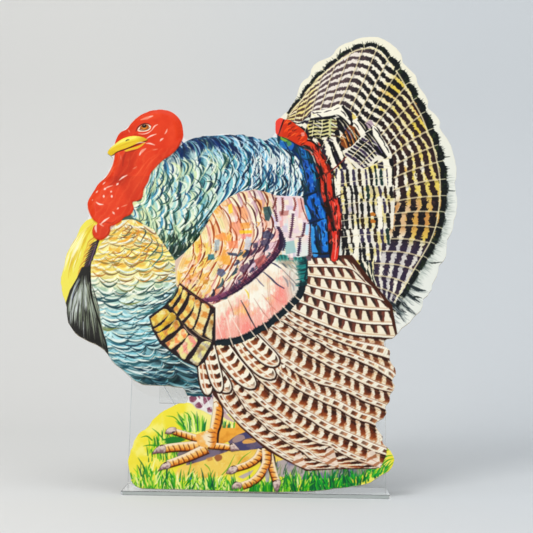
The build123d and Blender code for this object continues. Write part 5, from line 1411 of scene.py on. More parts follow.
LA_UP = [(284, 316), (292, 322), (301.5, 329.5), (314, 336.5), (325.6, 343.6), (336.2, 348), (350, 353), (365, 359.5), (380, 366), (393, 372)]
LA = [(276, 319), (287, 325), (300.5, 333.2), (310.1, 339), (321.7, 344.8), (329.4, 350.1), (342.9, 355.9), (351.6, 358.8), (362.2, 363.6), (373.8, 368.9), (383.4, 375.1), (392, 380.4), (396, 387)]
LB = [(264, 325), (272.5, 330.8), (282.2, 339), (289.9, 344.8), (300.5, 350.1), (310.1, 356.3), (319.8, 361.6), (329.4, 367.4), (342.9, 374.2), (352.6, 379), (362.2, 383.8), (373.8, 388.6), (385.4, 391.5), (396, 392.6)]
LC = [(254, 333), (262, 343), (270, 352), (278.3, 360.7), (288.9, 368.4), (298.6, 375.1), (310.1, 380.9), (319.8, 384.8), (333.3, 388.2), (342.9, 391.5), (352.6, 395.9), (362.2, 401.2), (371.9, 405), (386, 410), (394, 412)]
LD = [(255, 357), (264, 364.5), (274.5, 372.3), (283.1, 380), (292.8, 386.7), (302.4, 392.5), (314, 398.3), (325.6, 404.1), (337.1, 408.9), (350, 416.8), (361.3, 421.6), (368.8, 423.5), (378, 427), (388, 431)]
LF = [(240, 362), (250, 372), (260.1, 381.9), (269.8, 390.6), (279.4, 399.3), (290, 407.5), (299.8, 414.5), (310.3, 420.5), (320, 427.3), (329.8, 432.5), (341, 437.3), (352, 442), (362, 447), (374, 452.5), (386, 456)]
LG = [(226, 372), (236, 382), (247.6, 393.5), (256.3, 401.2), (264, 408), (271.7, 413.8), (281.4, 421.5), (290, 428.1), (299.8, 434), (308.8, 440), (318.5, 444.5), (329.8, 447.5), (338, 452.8), (350, 458.8), (361.3, 463.3), (380, 469)]
LH = [(221, 368), (227, 379), (233.1, 389.6), (239.9, 400.3), (245.7, 409.9), (252.4, 415.7), (260.1, 422.4), (267.9, 430.1), (275.6, 435.9), (283.3, 441.7), (292.9, 447.5), (302.6, 453.3), (310.3, 460), (323.8, 464.9), (339, 469.6)]
LI = [(211, 378), (215.8, 390.6), (219.6, 400.3), (227.4, 411.8), (235.1, 420.5), (242.8, 428.2), (250.5, 435), (258.2, 441.7), (265.9, 447.5), (272.7, 452.3), (281.4, 458.1), (290, 462.9), (298.7, 467.8), (308, 471)]
SEC = [[(300, 258.5), (330, 258), (345, 259), (352, 264), (358, 270)],
       [(300, 267.5), (330, 268), (350, 270), (362, 279), (366, 284)],
       [(300, 276), (330, 280), (358, 283), (370, 287), (378, 293)],
       [(299, 284), (320, 290), (345, 295), (370, 298), (384, 302)],
       [(296, 291), (318, 300), (340, 307), (365, 310.5), (390, 311.5)],
       [(293, 301), (320, 311), (340, 319), (362, 324.5), (392, 326)],
       [(288, 310), (304, 318), (320, 325), (345, 334), (370, 337.5), (396, 338.5)]]


def secondaries():
    for j in range(6):
        up, lo = SEC[j], SEC[j + 1]
        P = loft([up, lo])
        w = win(P)
        n1, n2, n3 = N_FINE[w], N_MID[w], N_HAIR[w]
        H = max(P.width, 4)
        u, y = P.U * P.len, P.V * H
        c = mix(hexc('efe7d3'), hexc('ecdfc2'), smooth(0.4, 0.7, n2))
        pitch = 9.6 + 0.4 * j
        t = (u - y * 0.12 + (n2 - 0.5) * 2.6 + (n1 - 0.5) * 1.2) / pitch + j * 0.37
        i = np.floor(t)
        f = t - i
        hh = hash2(i, j, 3)
        wd = 0.31 * (1 - 0.85 * np.clip(y / (H * 0.95) - 0.08, 0, 1)) * (0.85 + 0.35 * hh)
        reach = H * (0.72 + 0.22 * hh)
        tooth = (1 - smooth(wd, wd + 0.07, np.abs(f - 0.5))) * (1 - smooth(reach - 1.5, reach, y))
        dk = mix(hexc('34211c'), hexc('7d4030'), np.clip(smooth(0.40, 0.62, f) * 0.8 + 0.35 * smooth(0.5, 0.9, n1), 0, 1))
        dk = mix(dk, hexc('96523a'), smooth(0.55, 1.0, y / reach) * 0.5)
        c = mix(c, dk, tooth * 0.96)
        ln = 1 - smooth(0.9, 1.5, y + (n1 - 0.5) * 0.4)
        c = mix(c, hexc('4a2c22'), ln * 0.85)
        c = mix(c, hexc('f7f1e1'), smooth(H - 1.6, H - 1.1, y) * 0.9)
        c = mix(c, hexc('b98a66'), smooth(H - 3.2, H - 2.6, y) * (1 - smooth(H - 2.0, H - 1.5, y)) * 0.45)
        put(P, c, height=1.5 + 0.4 * (y / H))
    # feathers between the secondaries and the first long quill
    vane(SEC[6], [(284, 316), (292, 322.5), (303, 328.5), (316, 334), (330, 339), (345, 345), (365, 352), (385, 358), (396, 360)], narrow=5.0, pitch=10.8, seed=40, grey=0.35, toff=0.2)
    vane([(284, 316), (292, 322.5), (303, 328.5), (316, 334), (330, 339), (345, 345), (365, 352), (385, 358), (396, 360)], LA, narrow=4.4, pitch=11.2, seed=41, grey=0.35, toff=0.6)


def covert_feather(base, tip, hw, seed, bend=0.0):
    b, t = np.array(base, float), np.array(tip, float)
    d = t - b
    L = np.hypot(*d)
    d /= L
    n = np.array([-d[1], d[0]])
    s = np.linspace(0, 1, 40)
    spine = b + np.outer(s * L, d) + np.outer(np.sin(np.pi * s) * bend, n)
    k = np.clip((s - 0.62) / 0.38, 0, 1)
    wdt = np.sqrt(np.clip(1 - k ** 2.2, 0, 1)) * np.interp(s, [0, 0.3, 1], [0.9, 1.0, 1.0])
    A = spine - n * (hw * wdt)[:, None]
    B = spine + n * (hw * wdt)[:, None]
    shp = np.vstack([A, B[::-1]])
    sh = np.vstack([spine - n * ((hw + 1.3) * np.maximum(wdt, 0.12))[:, None], (spine + n * ((hw + 1.3) * np.maximum(wdt, 0.12))[:, None])[::-1]]) + d * 1.8
    fill(sh, hexc('3a1d12'), alpha=0.95, soft=2, height=1.1)

    def tint(X, Y):
        q = _w(X, Y)
        n1, n2 = N_FINE[q], N_MID[q]
        x = (X - b[0]) * d[0] + (Y - b[1]) * d[1]
        y = (X - b[0]) * n[0] + (Y - b[1]) * n[1] - np.sin(np.pi * np.clip(x / L, 0, 1)) * bend
        hwx = hw * np.interp(x / L, s, wdt)
        e = hwx - np.abs(y)
        c = mix(STOCK, hexc('efdfba'), smooth(0.45, 0.7, n2))
        tt = (x + 0.35 * np.abs(y + 2) + (n2 - 0.5) * 3.0 + (n1 - 0.5) * 1.6) / 9.2 + hash2(seed, 1)
        i = np.floor(tt)
        f = tt - i
        bar = smooth(0, 0.08, f) * (1 - smooth(0.50, 0.60, f))
        side = np.clip((y + hwx) / (2 * hwx + 1e-6), 0, 1)       # 0 upper side, 1 lower side
        bar = bar * (1 - smooth(0.55, 0.66, side)) * smooth(0.6, 1.6, e)
        dk = mix(hexc('35190c'), hexc('a0552a'), np.clip(smooth(0.15, 0.6, side + (n1 - 0.5) * 0.5) * 0.9 + 0.5 * smooth(0.3, 0.55, f), 0, 1))
        c = mix(c, dk, bar * (1 - 0.75 * smooth(0.84, 1.0, x / L)))
        ds = smooth(0, 0.12, f) * (1 - smooth(0.55, 0.7, f)) * smooth(0.70, 0.74, side) * (1 - smooth(0.86, 0.92, side)) * smooth(0.8, 1.8, e)
        c = mix(c, hexc('a2562c'), ds * 0.85 * (1 - smooth(0.85, 1.0, x / L)))
        shaft = 1 - smooth(0.35, 0.8, np.abs(side - 0.66) * 2 * hwx)
        c = mix(c, hexc('f8f2e2'), shaft * 0.9)
        c = mix(c, hexc('b9774a'), (1 - smooth(0.3, 0.7, np.abs(side - 0.70) * 2 * hwx)) * 0.4)
        rim = 1 - smooth(0.9, 1.7, e)
        c = mix(c, hexc('f6efdd'), rim)
        return c
    fill(shp, tint, soft=1, height=2.0)


def flight():
    fill([(212, 343), (230, 338), (262, 322), (300, 285), (312, 256), (352, 256), (372, 282), (392, 306), (398, 338), (398, 392), (390, 432),
          (388, 448), (376, 470), (336, 471), (306, 473), (268, 453), (240, 428), (213, 396), (205, 364)], hexc('4a2416'), height=1.2)
    secondaries()
    vane(LH, LI, narrow=4.6, pitch=9.6, seed=8, toff=0.1)
    vane(LG, LH, narrow=5.2, pitch=10.2, seed=7, toff=0.5)
    vane(LF, LG, narrow=4.4, pitch=10.6, seed=6, toff=0.2)
    vane(LD, LF, narrow=5.6, pitch=11.2, seed=5, toff=0.8)
    vane(LC, LD, narrow=6.0, pitch=10.8, seed=4, toff=0.35, grey=0.15)
    vane(LB, LC, narrow=5.0, pitch=11.0, seed=3, toff=0.6, grey=0.2)
    vane(LA, LB, narrow=5.2, pitch=11.0, seed=2, toff=0.9, grey=0.25)
    # pale pointed tips of the three lowest quills
    for (pts) in ([(368, 452), (374.5, 451.6), (380.6, 468.4), (374, 467.6), (366, 465)], [(327, 450), (333, 448.6), (339.5, 470), (332, 468), (322, 464.6)],
                  [(296, 455), (301, 454), (308, 471.6), (301, 469), (292, 465)]):
        fill(pts, lambda X, Y: mix(hexc('ecdccb'), hexc('a8683f'), smooth(0.2, 0.6, np.sin((X * 0.5 + Y) * 0.75 + 3 * N_MID[_w(X, Y)])) * 0.85), alpha=0.9, soft=2, height=1.7)
    for (pts, wd) in (([(357, 461), (367, 465), (378, 467)], 1.1), ([(318, 461), (326, 464), (334, 466)], 1.0), ([(363, 457.5), (370, 460), (377, 463.6)], 1.0),
                      ([(322, 456), (328, 460), (335, 462)], 0.9)):
        stroke(pts, wd, hexc('c07a58'), alpha=0.7, taper=(0.3, 0.3))
    # small body-side feathers beneath the trailing band
    covert_feather((200, 352), (229.6, 393), 8.4, 1, 1.5)
    covert_feather((216, 341), (254.6, 389), 8.8, 2, 2.0)
    covert_feather((238, 339), (274.5, 379), 8.2, 4, 3.0)
    covert_feather((244, 333), (278, 366), 8.6, 3, 1.5)
    fill([(236, 386), (238.6, 385.6), (239.4, 389), (238, 391.6), (233.6, 391)], hexc('f1e8d2'), soft=2)
    fill([(281, 366), (284.6, 365), (285.4, 368), (282.6, 369.4)], hexc('f3ecda'), soft=2)
    stroke([(205, 366), (208, 372), (214, 384)], 1.4, hexc('f3ecd9'))
    fill([(208, 352), (213, 347), (214, 356), (212, 362), (206, 362)], hexc('9a4a22'), soft=2)
    fill([(206, 358), (210, 356), (212, 366), (209, 372), (204, 366)], hexc('c9743a'), alpha=0.8, soft=2)


def bands():
    # blue band down the rump
    fill([(277, 135), (286, 136), (296, 143), (308, 150), (313, 158), (316, 170), (318, 184), (321, 198), (326, 212), (329, 230), (329.5, 245), (330, 259),
          (313, 259), (311, 248), (312, 236), (309, 224), (306, 214), (304, 204), (303, 196), (306, 186), (304, 174), (300, 163), (292, 153), (278, 145)],
         lambda X, Y: mix(hexc('10305c'), hexc('0d3a44'), smooth(0.4, 0.6, N_MID[_w(X, Y)])), height=1.7)
    for pts, c in (([(304, 168), (311, 165), (314, 178), (315, 191), (308, 194), (307, 182)], '1a5fbc'), ([(308, 198), (317, 195), (321, 206), (326, 218), (319, 220), (312, 212), (307, 204)], '176ac8'),
                   ([(317, 224), (326, 220), (328, 236), (329, 251), (323, 252), (320, 238)], '1e7bd2'), ([(311, 226), (314, 226), (315, 240), (318, 256), (313, 257), (311, 242)], '3b97d8'),
                   ([(290, 142), (294, 146), (291, 152), (287, 146)], '2768b8'), ([(280, 141), (286, 144), (287, 151), (280, 147)], '1f6fb4'),
                   ([(297, 147), (306, 152), (309, 160), (301, 158)], '1d6ca0'), ([(302, 160), (309, 163), (308, 171), (304, 170)], '2560b8'),
                   ([(313, 170), (316, 180), (316, 187), (313.6, 182)], '2d86b0'), ([(304, 206), (307, 208), (311, 219), (308, 220)], '4aa6e0')):
        fill(pts, lambda X, Y, c=c: mix(hexc(c), hexc('bfe2f6'), np.clip((N_FINE[_w(X, Y)] - 0.62) * 2.4, 0, 0.5)), soft=2, height=1.9, smoothn=60)
    fill([(280.5, 137.5), (284, 136), (289, 139), (286, 143), (281, 141)], hexc('7fae3e'), soft=2, smoothn=40)
    fill([(286, 142), (290, 141), (292, 146), (288, 148)], hexc('5f9a4a'), alpha=0.8, soft=2)
    for (pts, wd, c) in (([(302, 198), (309, 195.6), (318, 192.4)], 1.8, '0b2436'), ([(308, 225), (317, 222), (327, 219)], 1.6, '0b2436'),
                         ([(316, 226), (317, 238), (320, 256)], 3.4, '0e2a33'), ([(312, 200), (316, 212), (320, 220)], 1.6, '0d2b40'),
                         ([(293, 141), (299, 150), (301, 158)], 1.2, '0c2440'), ([(284, 143), (290, 153), (299, 159)], 1.3, '102a50'),
                         ([(306, 152), (309, 164), (311, 176)], 1.4, '0e2f3c'), ([(309, 166), (310, 178), (310, 192)], 1.0, '1d5fc0'),
                         ([(313, 254.4), (322, 255), (330, 254.6)], 2.2, '151c24'), ([(321, 196), (322.6, 200), (323.4, 204)], 1.6, '57b3e8'),
                         ([(316.6, 160), (318, 172), (319, 184), (320, 193)], 2.0, '0d3330')):
        stroke(pts, wd, hexc(c), taper=(0.6, 0.7), alpha=0.92, jag=0.2, seed=int(wd * 7))
    # red band
    fill([(301, 139), (312, 141), (319, 147), (323, 156), (327, 166), (331, 176), (333, 188), (334, 198), (339, 202), (341, 216), (341, 230), (340, 245), (338, 262),
          (330, 262), (328, 246), (327, 230), (326, 216), (322, 204), (320.5, 192), (319, 178), (316, 164), (312, 153), (302, 146)], hexc('231413'), height=1.6)
    for pts, c in (([(303, 142), (311, 143.4), (317, 149), (314, 152), (308, 147), (302, 145.4)], 'dc4522'), ([(313, 150), (317, 150), (320, 162), (317, 164), (315, 157)], 'e0422a'),
                   ([(319, 148), (322, 156), (325, 164), (329, 173), (325, 175), (321, 166), (319, 157)], 'd6401f'), ([(320.5, 179), (324, 177), (324, 190), (326, 201), (323, 203), (321, 192)], 'c2311c'),
                   ([(326.6, 176), (330.6, 174), (331.6, 186), (332.4, 198), (328.4, 200.6), (327, 188)], 'd53c24'), ([(329, 203), (337, 199), (340, 213), (341, 228), (336, 230), (333, 216)], 'e0402e'),
                   ([(327.6, 216), (330, 222), (331, 232), (328.4, 231)], 'b3241c'), ([(331.4, 232), (339.6, 234), (339, 247), (337, 261), (331, 261), (332.6, 247)], 'dd3526')):
        fill(pts, lambda X, Y, c=c: mix(hexc(c), hexc('f8917c'), np.clip((N_FINE[_w(X, Y)] - 0.62) * 2.6, 0, 0.5)), soft=2, height=1.9, smoothn=60)
    for (pts, wd, c) in (([(316, 180), (326, 175), (336, 168), (346, 158)], 1.5, '7c2a22'), ([(321, 206), (330, 201.4), (338, 197), (347, 193)], 1.4, '30181a'),
                         ([(334, 203), (336.4, 216), (337, 229)], 0.9, 'fba090'), ([(336, 236), (336, 248), (334.6, 260)], 1.0, 'fdaea0'),
                         ([(318, 164), (322, 163), (326, 161)], 1.0, 'e9502f'), ([(304, 150), (309, 152), (313, 156)], 1.0, 'd8452a')):
        stroke(pts, wd, hexc(c), taper=(0.6, 0.7), alpha=0.9)
    # black, teal and bright strokes that break the bands into feathers
    rb = np.random.RandomState(88)
    BLC = [(296, 150), (306, 166), (310, 182), (313, 198), (318, 214), (321, 232), (322, 250)]
    RDC = [(312, 146), (320, 160), (325, 176), (328, 192), (333, 208), (335, 226), (335, 248)]
    for (cl, pal) in ((BLC, ['0a1c2c', '0d2b4a', '0b2a30', '113f86', '2f93dc', '0a1620', '123a6a']), (RDC, ['1c0f0f', '2a1210', '7c1d14', '2a1012', 'f0604a', '1a1012', '6a1810'])):
        cc_ = catmull(cl, 90)
        for i in range(92):
            k_ = int(rb.rand() * 86)
            d_ = cc_[k_ + 3] - cc_[k_]
            d_ = d_ / (np.hypot(*d_) + 1e-9)
            n_ = np.array([-d_[1], d_[0]])
            o_ = (rb.rand() - 0.5) * 15
            L_ = 3 + 7 * rb.rand()
            p_ = cc_[k_] + n_ * o_
            stroke([p_, p_ + d_ * L_ * 0.5 + n_ * (rb.rand() - 0.5) * 2, p_ + d_ * L_ + n_ * (rb.rand() - 0.5) * 2], 0.9 + 1.7 * rb.rand(),
                   hexc(pal[int(rb.rand() * 7)]), alpha=0.85, taper=(0.4, 0.4), n=6, jag=0.25, seed=i)
    # red tuft on the fan's root
    fill([(276, 134), (275, 127), (276.4, 121), (280, 118.6), (284, 120), (290, 121.4), (297, 126.4), (304, 132), (307.4, 138), (306, 144), (301, 147),
          (294, 144), (287, 139.6), (280, 137.6)], hexc('cf3812'), height=1.8, smoothn=90)
    fill([(276, 134), (275, 127), (276.4, 121), (280, 118.6), (283.4, 120), (281.6, 127), (279, 135)], hexc('e84a3c'), height=2.0, smoothn=50)
    stroke([(284, 120.4), (281.6, 127), (278.6, 135.6)], 1.5, hexc('3a1410'), taper=(0.8, 0.5))
    r = np.random.RandomState(6)
    for i in range(40):
        x = 283 + 20 * r.rand()
        y = 122 + (x - 283) * 0.62 + 14 * r.rand()
        stroke([(x, y), (x + 1.4, y - 1.5), (x + 3.4, y - 2.2)], 0.9 + 0.6 * r.rand(), hexc(['4a130c', 'f46a2c', 'f2501c', '8a200f'][int(4 * r.rand())]), alpha=0.85, taper=(0.3, 0.5), n=4)
    fill([(301, 134), (304.4, 133.6), (304.6, 137.4), (301.4, 137.6)], hexc('f29a8c'), alpha=0.9, soft=2)
    stroke([(282, 138.4), (289, 141.6), (297, 146), (303, 148.6)], 1.2, hexc('22243a'), taper=(0.5, 0.5))


def leg_seg(pts, w0, w1, seed, bars=True, light=None):
    """A scaly toe or shank: cream upper side, orange lower side, dark notches."""
    c = catmull(pts, 60)
    g = np.gradient(c, axis=0)
    n = np.stack([g[:, 1], -g[:, 0]], 1)
    n /= np.hypot(*n.T)[:, None] + 1e-9
    s = np.linspace(0, 1, 60)
    w = np.interp(s, [0, 1], [w0, w1])[:, None] * 0.5
    A, B = c + n * w, c - n * w
    # n points to the right of the travel direction in image axes (y down): pick the upper side
    if A[:, 1].mean() < B[:, 1].mean() - 0.4 or (abs(A[:, 1].mean() - B[:, 1].mean()) <= 0.4 and A[:, 0].mean() < B[:, 0].mean()):
        U_, L_ = A, B
    else:
        U_, L_ = B, A
    P = loft([U_, L_])
    q = win(P)
    n1, n2 = N_FINE[q], N_MID[q]
    v, u = P.V, P.U * P.len
    c0 = hexc('f0dcbc')
    col_ = mix(c0, hexc('f0c070'), smooth(0.22, 0.42, v + (n1 - 0.5) * 0.3))
    col_ = mix(col_, hexc('e08a2c'), smooth(0.46, 0.76, v + (n1 - 0.5) * 0.3))
    col_ = mix(col_, hexc('8a3f14'), smooth(0.78, 1.0, v) * 0.95)
    if bars:
        t = u / 5.0 + 0.35 * v + (n2 - 0.5) * 0.8
        f = t - np.floor(t)
        nt = (1 - smooth(0.05, 0.17, np.abs(f - 0.5))) * smooth(0.12, 0.5, v)
        col_ = mix(col_, hexc('6a2c12'), np.clip(nt, 0, 1) * 0.85)
        hl = (1 - smooth(0.06, 0.16, np.abs(f - 0.75))) * smooth(0.5, 0.6, v) * (1 - smooth(0.75, 0.85, v))
        col_ = mix(col_, hexc('f8d488'), hl * 0.5)
    put(P, col_, height=1.9 + 0.7 * np.sin(np.pi * np.clip(v, 0, 1)))
    stroke(L_, 0.9, hexc('43200f'), alpha=0.9, taper=(0.7, 0.9))
    stroke(U_, 0.5, hexc('8f8578'), alpha=0.6, taper=(0.7, 0.9))


def claw(pts, notch=None):
    fill(pts, lambda X, Y: mix(hexc('dcc8bc'), hexc('86656a'), smooth(0.45, 0.75, N_FINE[_w(X, Y)] * 0.6 + 0.5 * ((Y - Y.min()) / (np.ptp(Y) + 1e-6)))), soft=1, height=2.2, smoothn=50)
    stroke(list(pts) + [pts[0]], 0.6, hexc('6b5350'), alpha=0.75)


def blade(r, x, y, h, lean, c, w):
    stroke([(x, y), (x + lean * 0.35, y - h * 0.5), (x + lean, y - h)], w, hexc(c), alpha=0.9, taper=(1.0, 0.12), n=6, soft=0.25)


def ground():
    # yellow mound and right hand end
    fill([(112, 502), (112, 470), (116, 446), (124, 430), (136, 421), (150, 411), (166, 402), (180, 402), (190, 403.6), (200, 409), (214, 414), (238, 415), (262, 440),
          (300, 462), (345, 450), (372, 442), (388, 448), (398, 460), (392, 474), (372, 488), (330, 500), (250, 500)],
         lambda X, Y: mix(mix(hexc('eadc3c'), hexc('efe77a'), smooth(0.35, 0.75, N_MID[_w(X, Y)])), hexc('f2edb0'), np.clip(smooth(185, 205, X) * (1 - smooth(418, 440, Y)), 0, 1) * 0.7),
         height=0.9)
    r = np.random.RandomState(41)
    # ochre earth, two slopes
    fill([(218, 428), (226, 426), (238, 424), (246, 428), (251, 433), (240, 436), (228, 443), (217, 444)],
         lambda X, Y: mix(hexc('ecac42'), hexc('d9922c'), smooth(0.4, 0.7, N_MID[_w(X, Y)])), soft=2, height=1.0, smoothn=80)
    fill([(178, 470), (188, 464), (202, 458), (222, 452), (240, 452), (258, 449), (264, 452), (266, 461), (250, 470), (226, 477), (200, 480), (176, 478)],
         lambda X, Y: mix(mix(hexc('eccb62'), hexc('e3b247'), smooth(0.4, 0.7, N_MID[_w(X, Y)])), hexc('f0dc8c'), np.clip((N_FINE[_w(X, Y)] - 0.55) * 2, 0, 0.5)), soft=2, height=1.0, smoothn=100)
    fill([(196, 453), (206, 451), (222, 451.6), (229, 452), (216, 457), (206, 461), (196, 464), (186, 466)],
         lambda X, Y: mix(hexc('7d6f80'), hexc('5c4c63'), smooth(0.4, 0.7, N_MID[_w(X, Y)])), soft=2, height=0.95, smoothn=80)
    fill([(176, 453), (184, 451), (192, 449.4), (186, 456), (178, 458)], hexc('7a6c7e'), soft=2, alpha=0.9)
    fill([(228, 443), (236, 437), (244, 433.6), (249, 432), (256, 437), (262, 443), (263, 449), (252, 451), (240, 452), (233, 449)],
         lambda X, Y: mix(hexc('4a4870'), hexc('6e6076'), smooth(0.4, 0.6, N_MID[_w(X, Y)])), soft=2, height=1.0, smoothn=90)
    fill([(232, 441), (237, 436.4), (243, 436), (245, 440), (240, 442.6), (234, 444)], hexc('a48a86'), soft=2, smoothn=40)
    fill([(242, 443), (247, 439.6), (254, 440), (256, 443), (250, 444.6), (244, 445)], hexc('dca75e'), soft=2, smoothn=40)
    stroke([(243, 441), (249, 440), (254, 442)], 0.8, hexc('6b4a3a'), taper=(0.5, 0.4))
    fill([(214, 459), (217, 456), (221.6, 457), (221.6, 461), (217, 463)], hexc('a4683a'), soft=2, smoothn=40)
    fill([(206, 459.6), (212, 458), (213, 461.6), (208, 463)], hexc('c98f4a'), soft=2, alpha=0.8)
    # lilac grey shade behind the grass, right
    fill([(274, 464), (284, 461), (294, 464), (306, 466), (318, 462), (330, 468), (340, 458), (345, 452), (358, 462), (370, 468), (360, 478), (300, 482), (276, 478)],
         lambda X, Y: mix(hexc('b6a9a6'), hexc('7f7896'), smooth(0.42, 0.66, N_MID[_w(X, Y)] + 0.1 * (X > 336))), soft=2, height=0.9)
    fill([(275, 456), (281, 459), (283, 461), (275, 464)], hexc('efd063'), soft=2)
    # tuft beside the shank
    for i in range(110):
        a = r.rand()
        x = 183 + 22 * a
        y = 431.5 - 2.0 * abs(a - 0.5) + r.rand() * 1.5
        h = 6 + 13 * r.rand() * (0.7 + 0.5 * np.sin(np.pi * a))
        lean = (-9 + 9 * a) * r.rand() + (2 if a > 0.8 else 0)
        blade(r, x, y, h, lean, ['2f9f1c', '8fcf2a', '0f7d33', 'f2f2a8', 'cfe36a', '0d5a4a'][int(6 * r.rand())], 0.9 + 0.7 * r.rand())
    for (pts) in ([(166, 416.6), (174, 418), (180, 424), (185, 430)], [(177, 412.6), (180, 417), (184, 421)], [(184, 412.6), (188, 415), (191, 420)], [(191, 412), (194, 416), (196, 424)]):
        stroke(pts, 1.2, hexc('2f9a1e'), taper=(0.15, 1.0))
    for i in range(22):
        x = 223 + 12 * r.rand()
        blade(r, x, 428.5, 3 + 6 * r.rand(), -1 + 3 * r.rand(), ['2f9f1c', '9ad22f', '0f6d43', 'eef0a8'][int(4 * r.rand())], 1.0)
    # left clump at the toes
    for i in range(120):
        x, y = 148 + 30 * r.rand(), 434 + 26 * r.rand()
        if y < 440 - (x - 148) * 0.3:
            continue
        blade(r, x, y + 3, 4 + 7 * r.rand(), -3 + 4 * r.rand(), ['1d8a1c', '57b81f', '0c6a33', 'd8e45a', '9ccf2a'][int(5 * r.rand())], 1.0)
    fill([(164, 440), (172, 437.6), (180, 438), (186, 441), (178, 444), (168, 445)], hexc('1f7f2c'), soft=2)
    for pts in ([(152, 429), (158, 434), (164, 441)], [(141, 438), (147, 437), (152, 441)], [(143, 447), (150, 446), (158, 447)]):
        stroke(pts, 1.3, hexc('2f8f22'), taper=(0.15, 1))
    # the bank of grass along the foot
    for i in range(1500):
        x = 128 + 254 * r.rand()
        topy = np.interp(x, [128, 150, 180, 215, 232, 262, 290, 340, 372, 382], [474, 462, 474, 476, 482, 482, 476, 470, 470, 474])
        y = topy + 4 + (494 - topy) * r.rand() ** 0.8 + 3
        if x > 350 and y > 492 - (x - 350) * 0.45:
            continue
        h = 5 + 9 * r.rand()
        if x < 275:
            c = ['2fa01c', '78c81e', 'b6dc38', 'f0efa0', '158a28', 'dfe66a'][int(6 * r.rand())]
        elif x < 312:
            c = ['169a24', '52bb22', '0c7a30', 'c2e04a', '0a6a38', '8fce2a'][int(6 * r.rand())]
        else:
            c = ['0b8f36', '15a634', '0a5c36', '0c4f3c', '39b82a', 'a8d83a' if r.rand() < 0.4 else '0f7f40'][int(6 * r.rand())]
        cl = np.sin(x * 0.31 + 1.3 * np.sin(y * 0.2)) + 0.6 * np.sin(x * 0.83 + 2)
        if cl > 0.75 and r.rand() < 0.62:
            c = ['0b6a2a', '0f8a24', '0a5a3a'][int(3 * r.rand())]
        elif cl < -0.85 and x < 300 and r.rand() < 0.6:
            c = ['e9ea8c', 'f3f0b4', 'd3e04a'][int(3 * r.rand())]
        blade(r, x, y, h * (1.25 if cl > 0.75 else 0.9), (-6 + 12 * r.rand()) * 0.8 + 3.0 * np.sin(x * 0.21), c, 0.9 + 0.9 * r.rand())
    for i in range(60):
        x = 270 + 100 * r.rand()
        blade(r, x, 474 + 4 * r.rand(), 8 + 8 * r.rand(), -3 + 9 * r.rand(), ['3f6a3a', '6b8a5a', '2f5a40', '8f9a6a'][int(4 * r.rand())], 0.8)
    for (x, y, rr) in ((190.5, 480.5, 1.6), (180, 481, 1.2), (270, 486, 1.2), (232, 480, 1.0)):
        fill([(x - rr, y), (x, y - rr), (x + rr, y), (x, y + rr)], hexc('4a86b0'), soft=2, alpha=0.8)
    # right hand end: blades on yellow
    for pts in ([(377, 454), (381, 450), (388, 446)], [(378, 458), (385, 452), (392, 449)], [(380, 462), (387, 457), (393, 456)], [(382, 466), (388, 461), (394, 459)],
                [(380, 463), (385, 468), (388, 471)], [(376, 470), (382, 464), (386, 460)], [(381, 474), (388, 468), (394, 462)], [(383, 476), (386, 472), (390, 468)]):
        stroke(pts, 1.3, hexc('3f9f2a'), taper=(1, 0.2))
    for i in range(40):
        x = 366 + 20 * r.rand()
        blade(r, x, 470 + 8 * r.rand(), 4 + 6 * r.rand(), 2 + 4 * r.rand(), ['12a03a', '0c8a44', '5fbf2a', 'e4e05a'][int(4 * r.rand())], 1.2)
    for pts in ([(222, 477), (228, 470), (232, 462), (235, 456)], [(238, 466), (243, 459), (251, 453)], [(205, 466), (209, 470), (211, 476)], [(191, 464), (190, 470), (187, 477)]):
        stroke(pts, 1.0, hexc('6fae2a'), taper=(1, 0.2))
    legs()


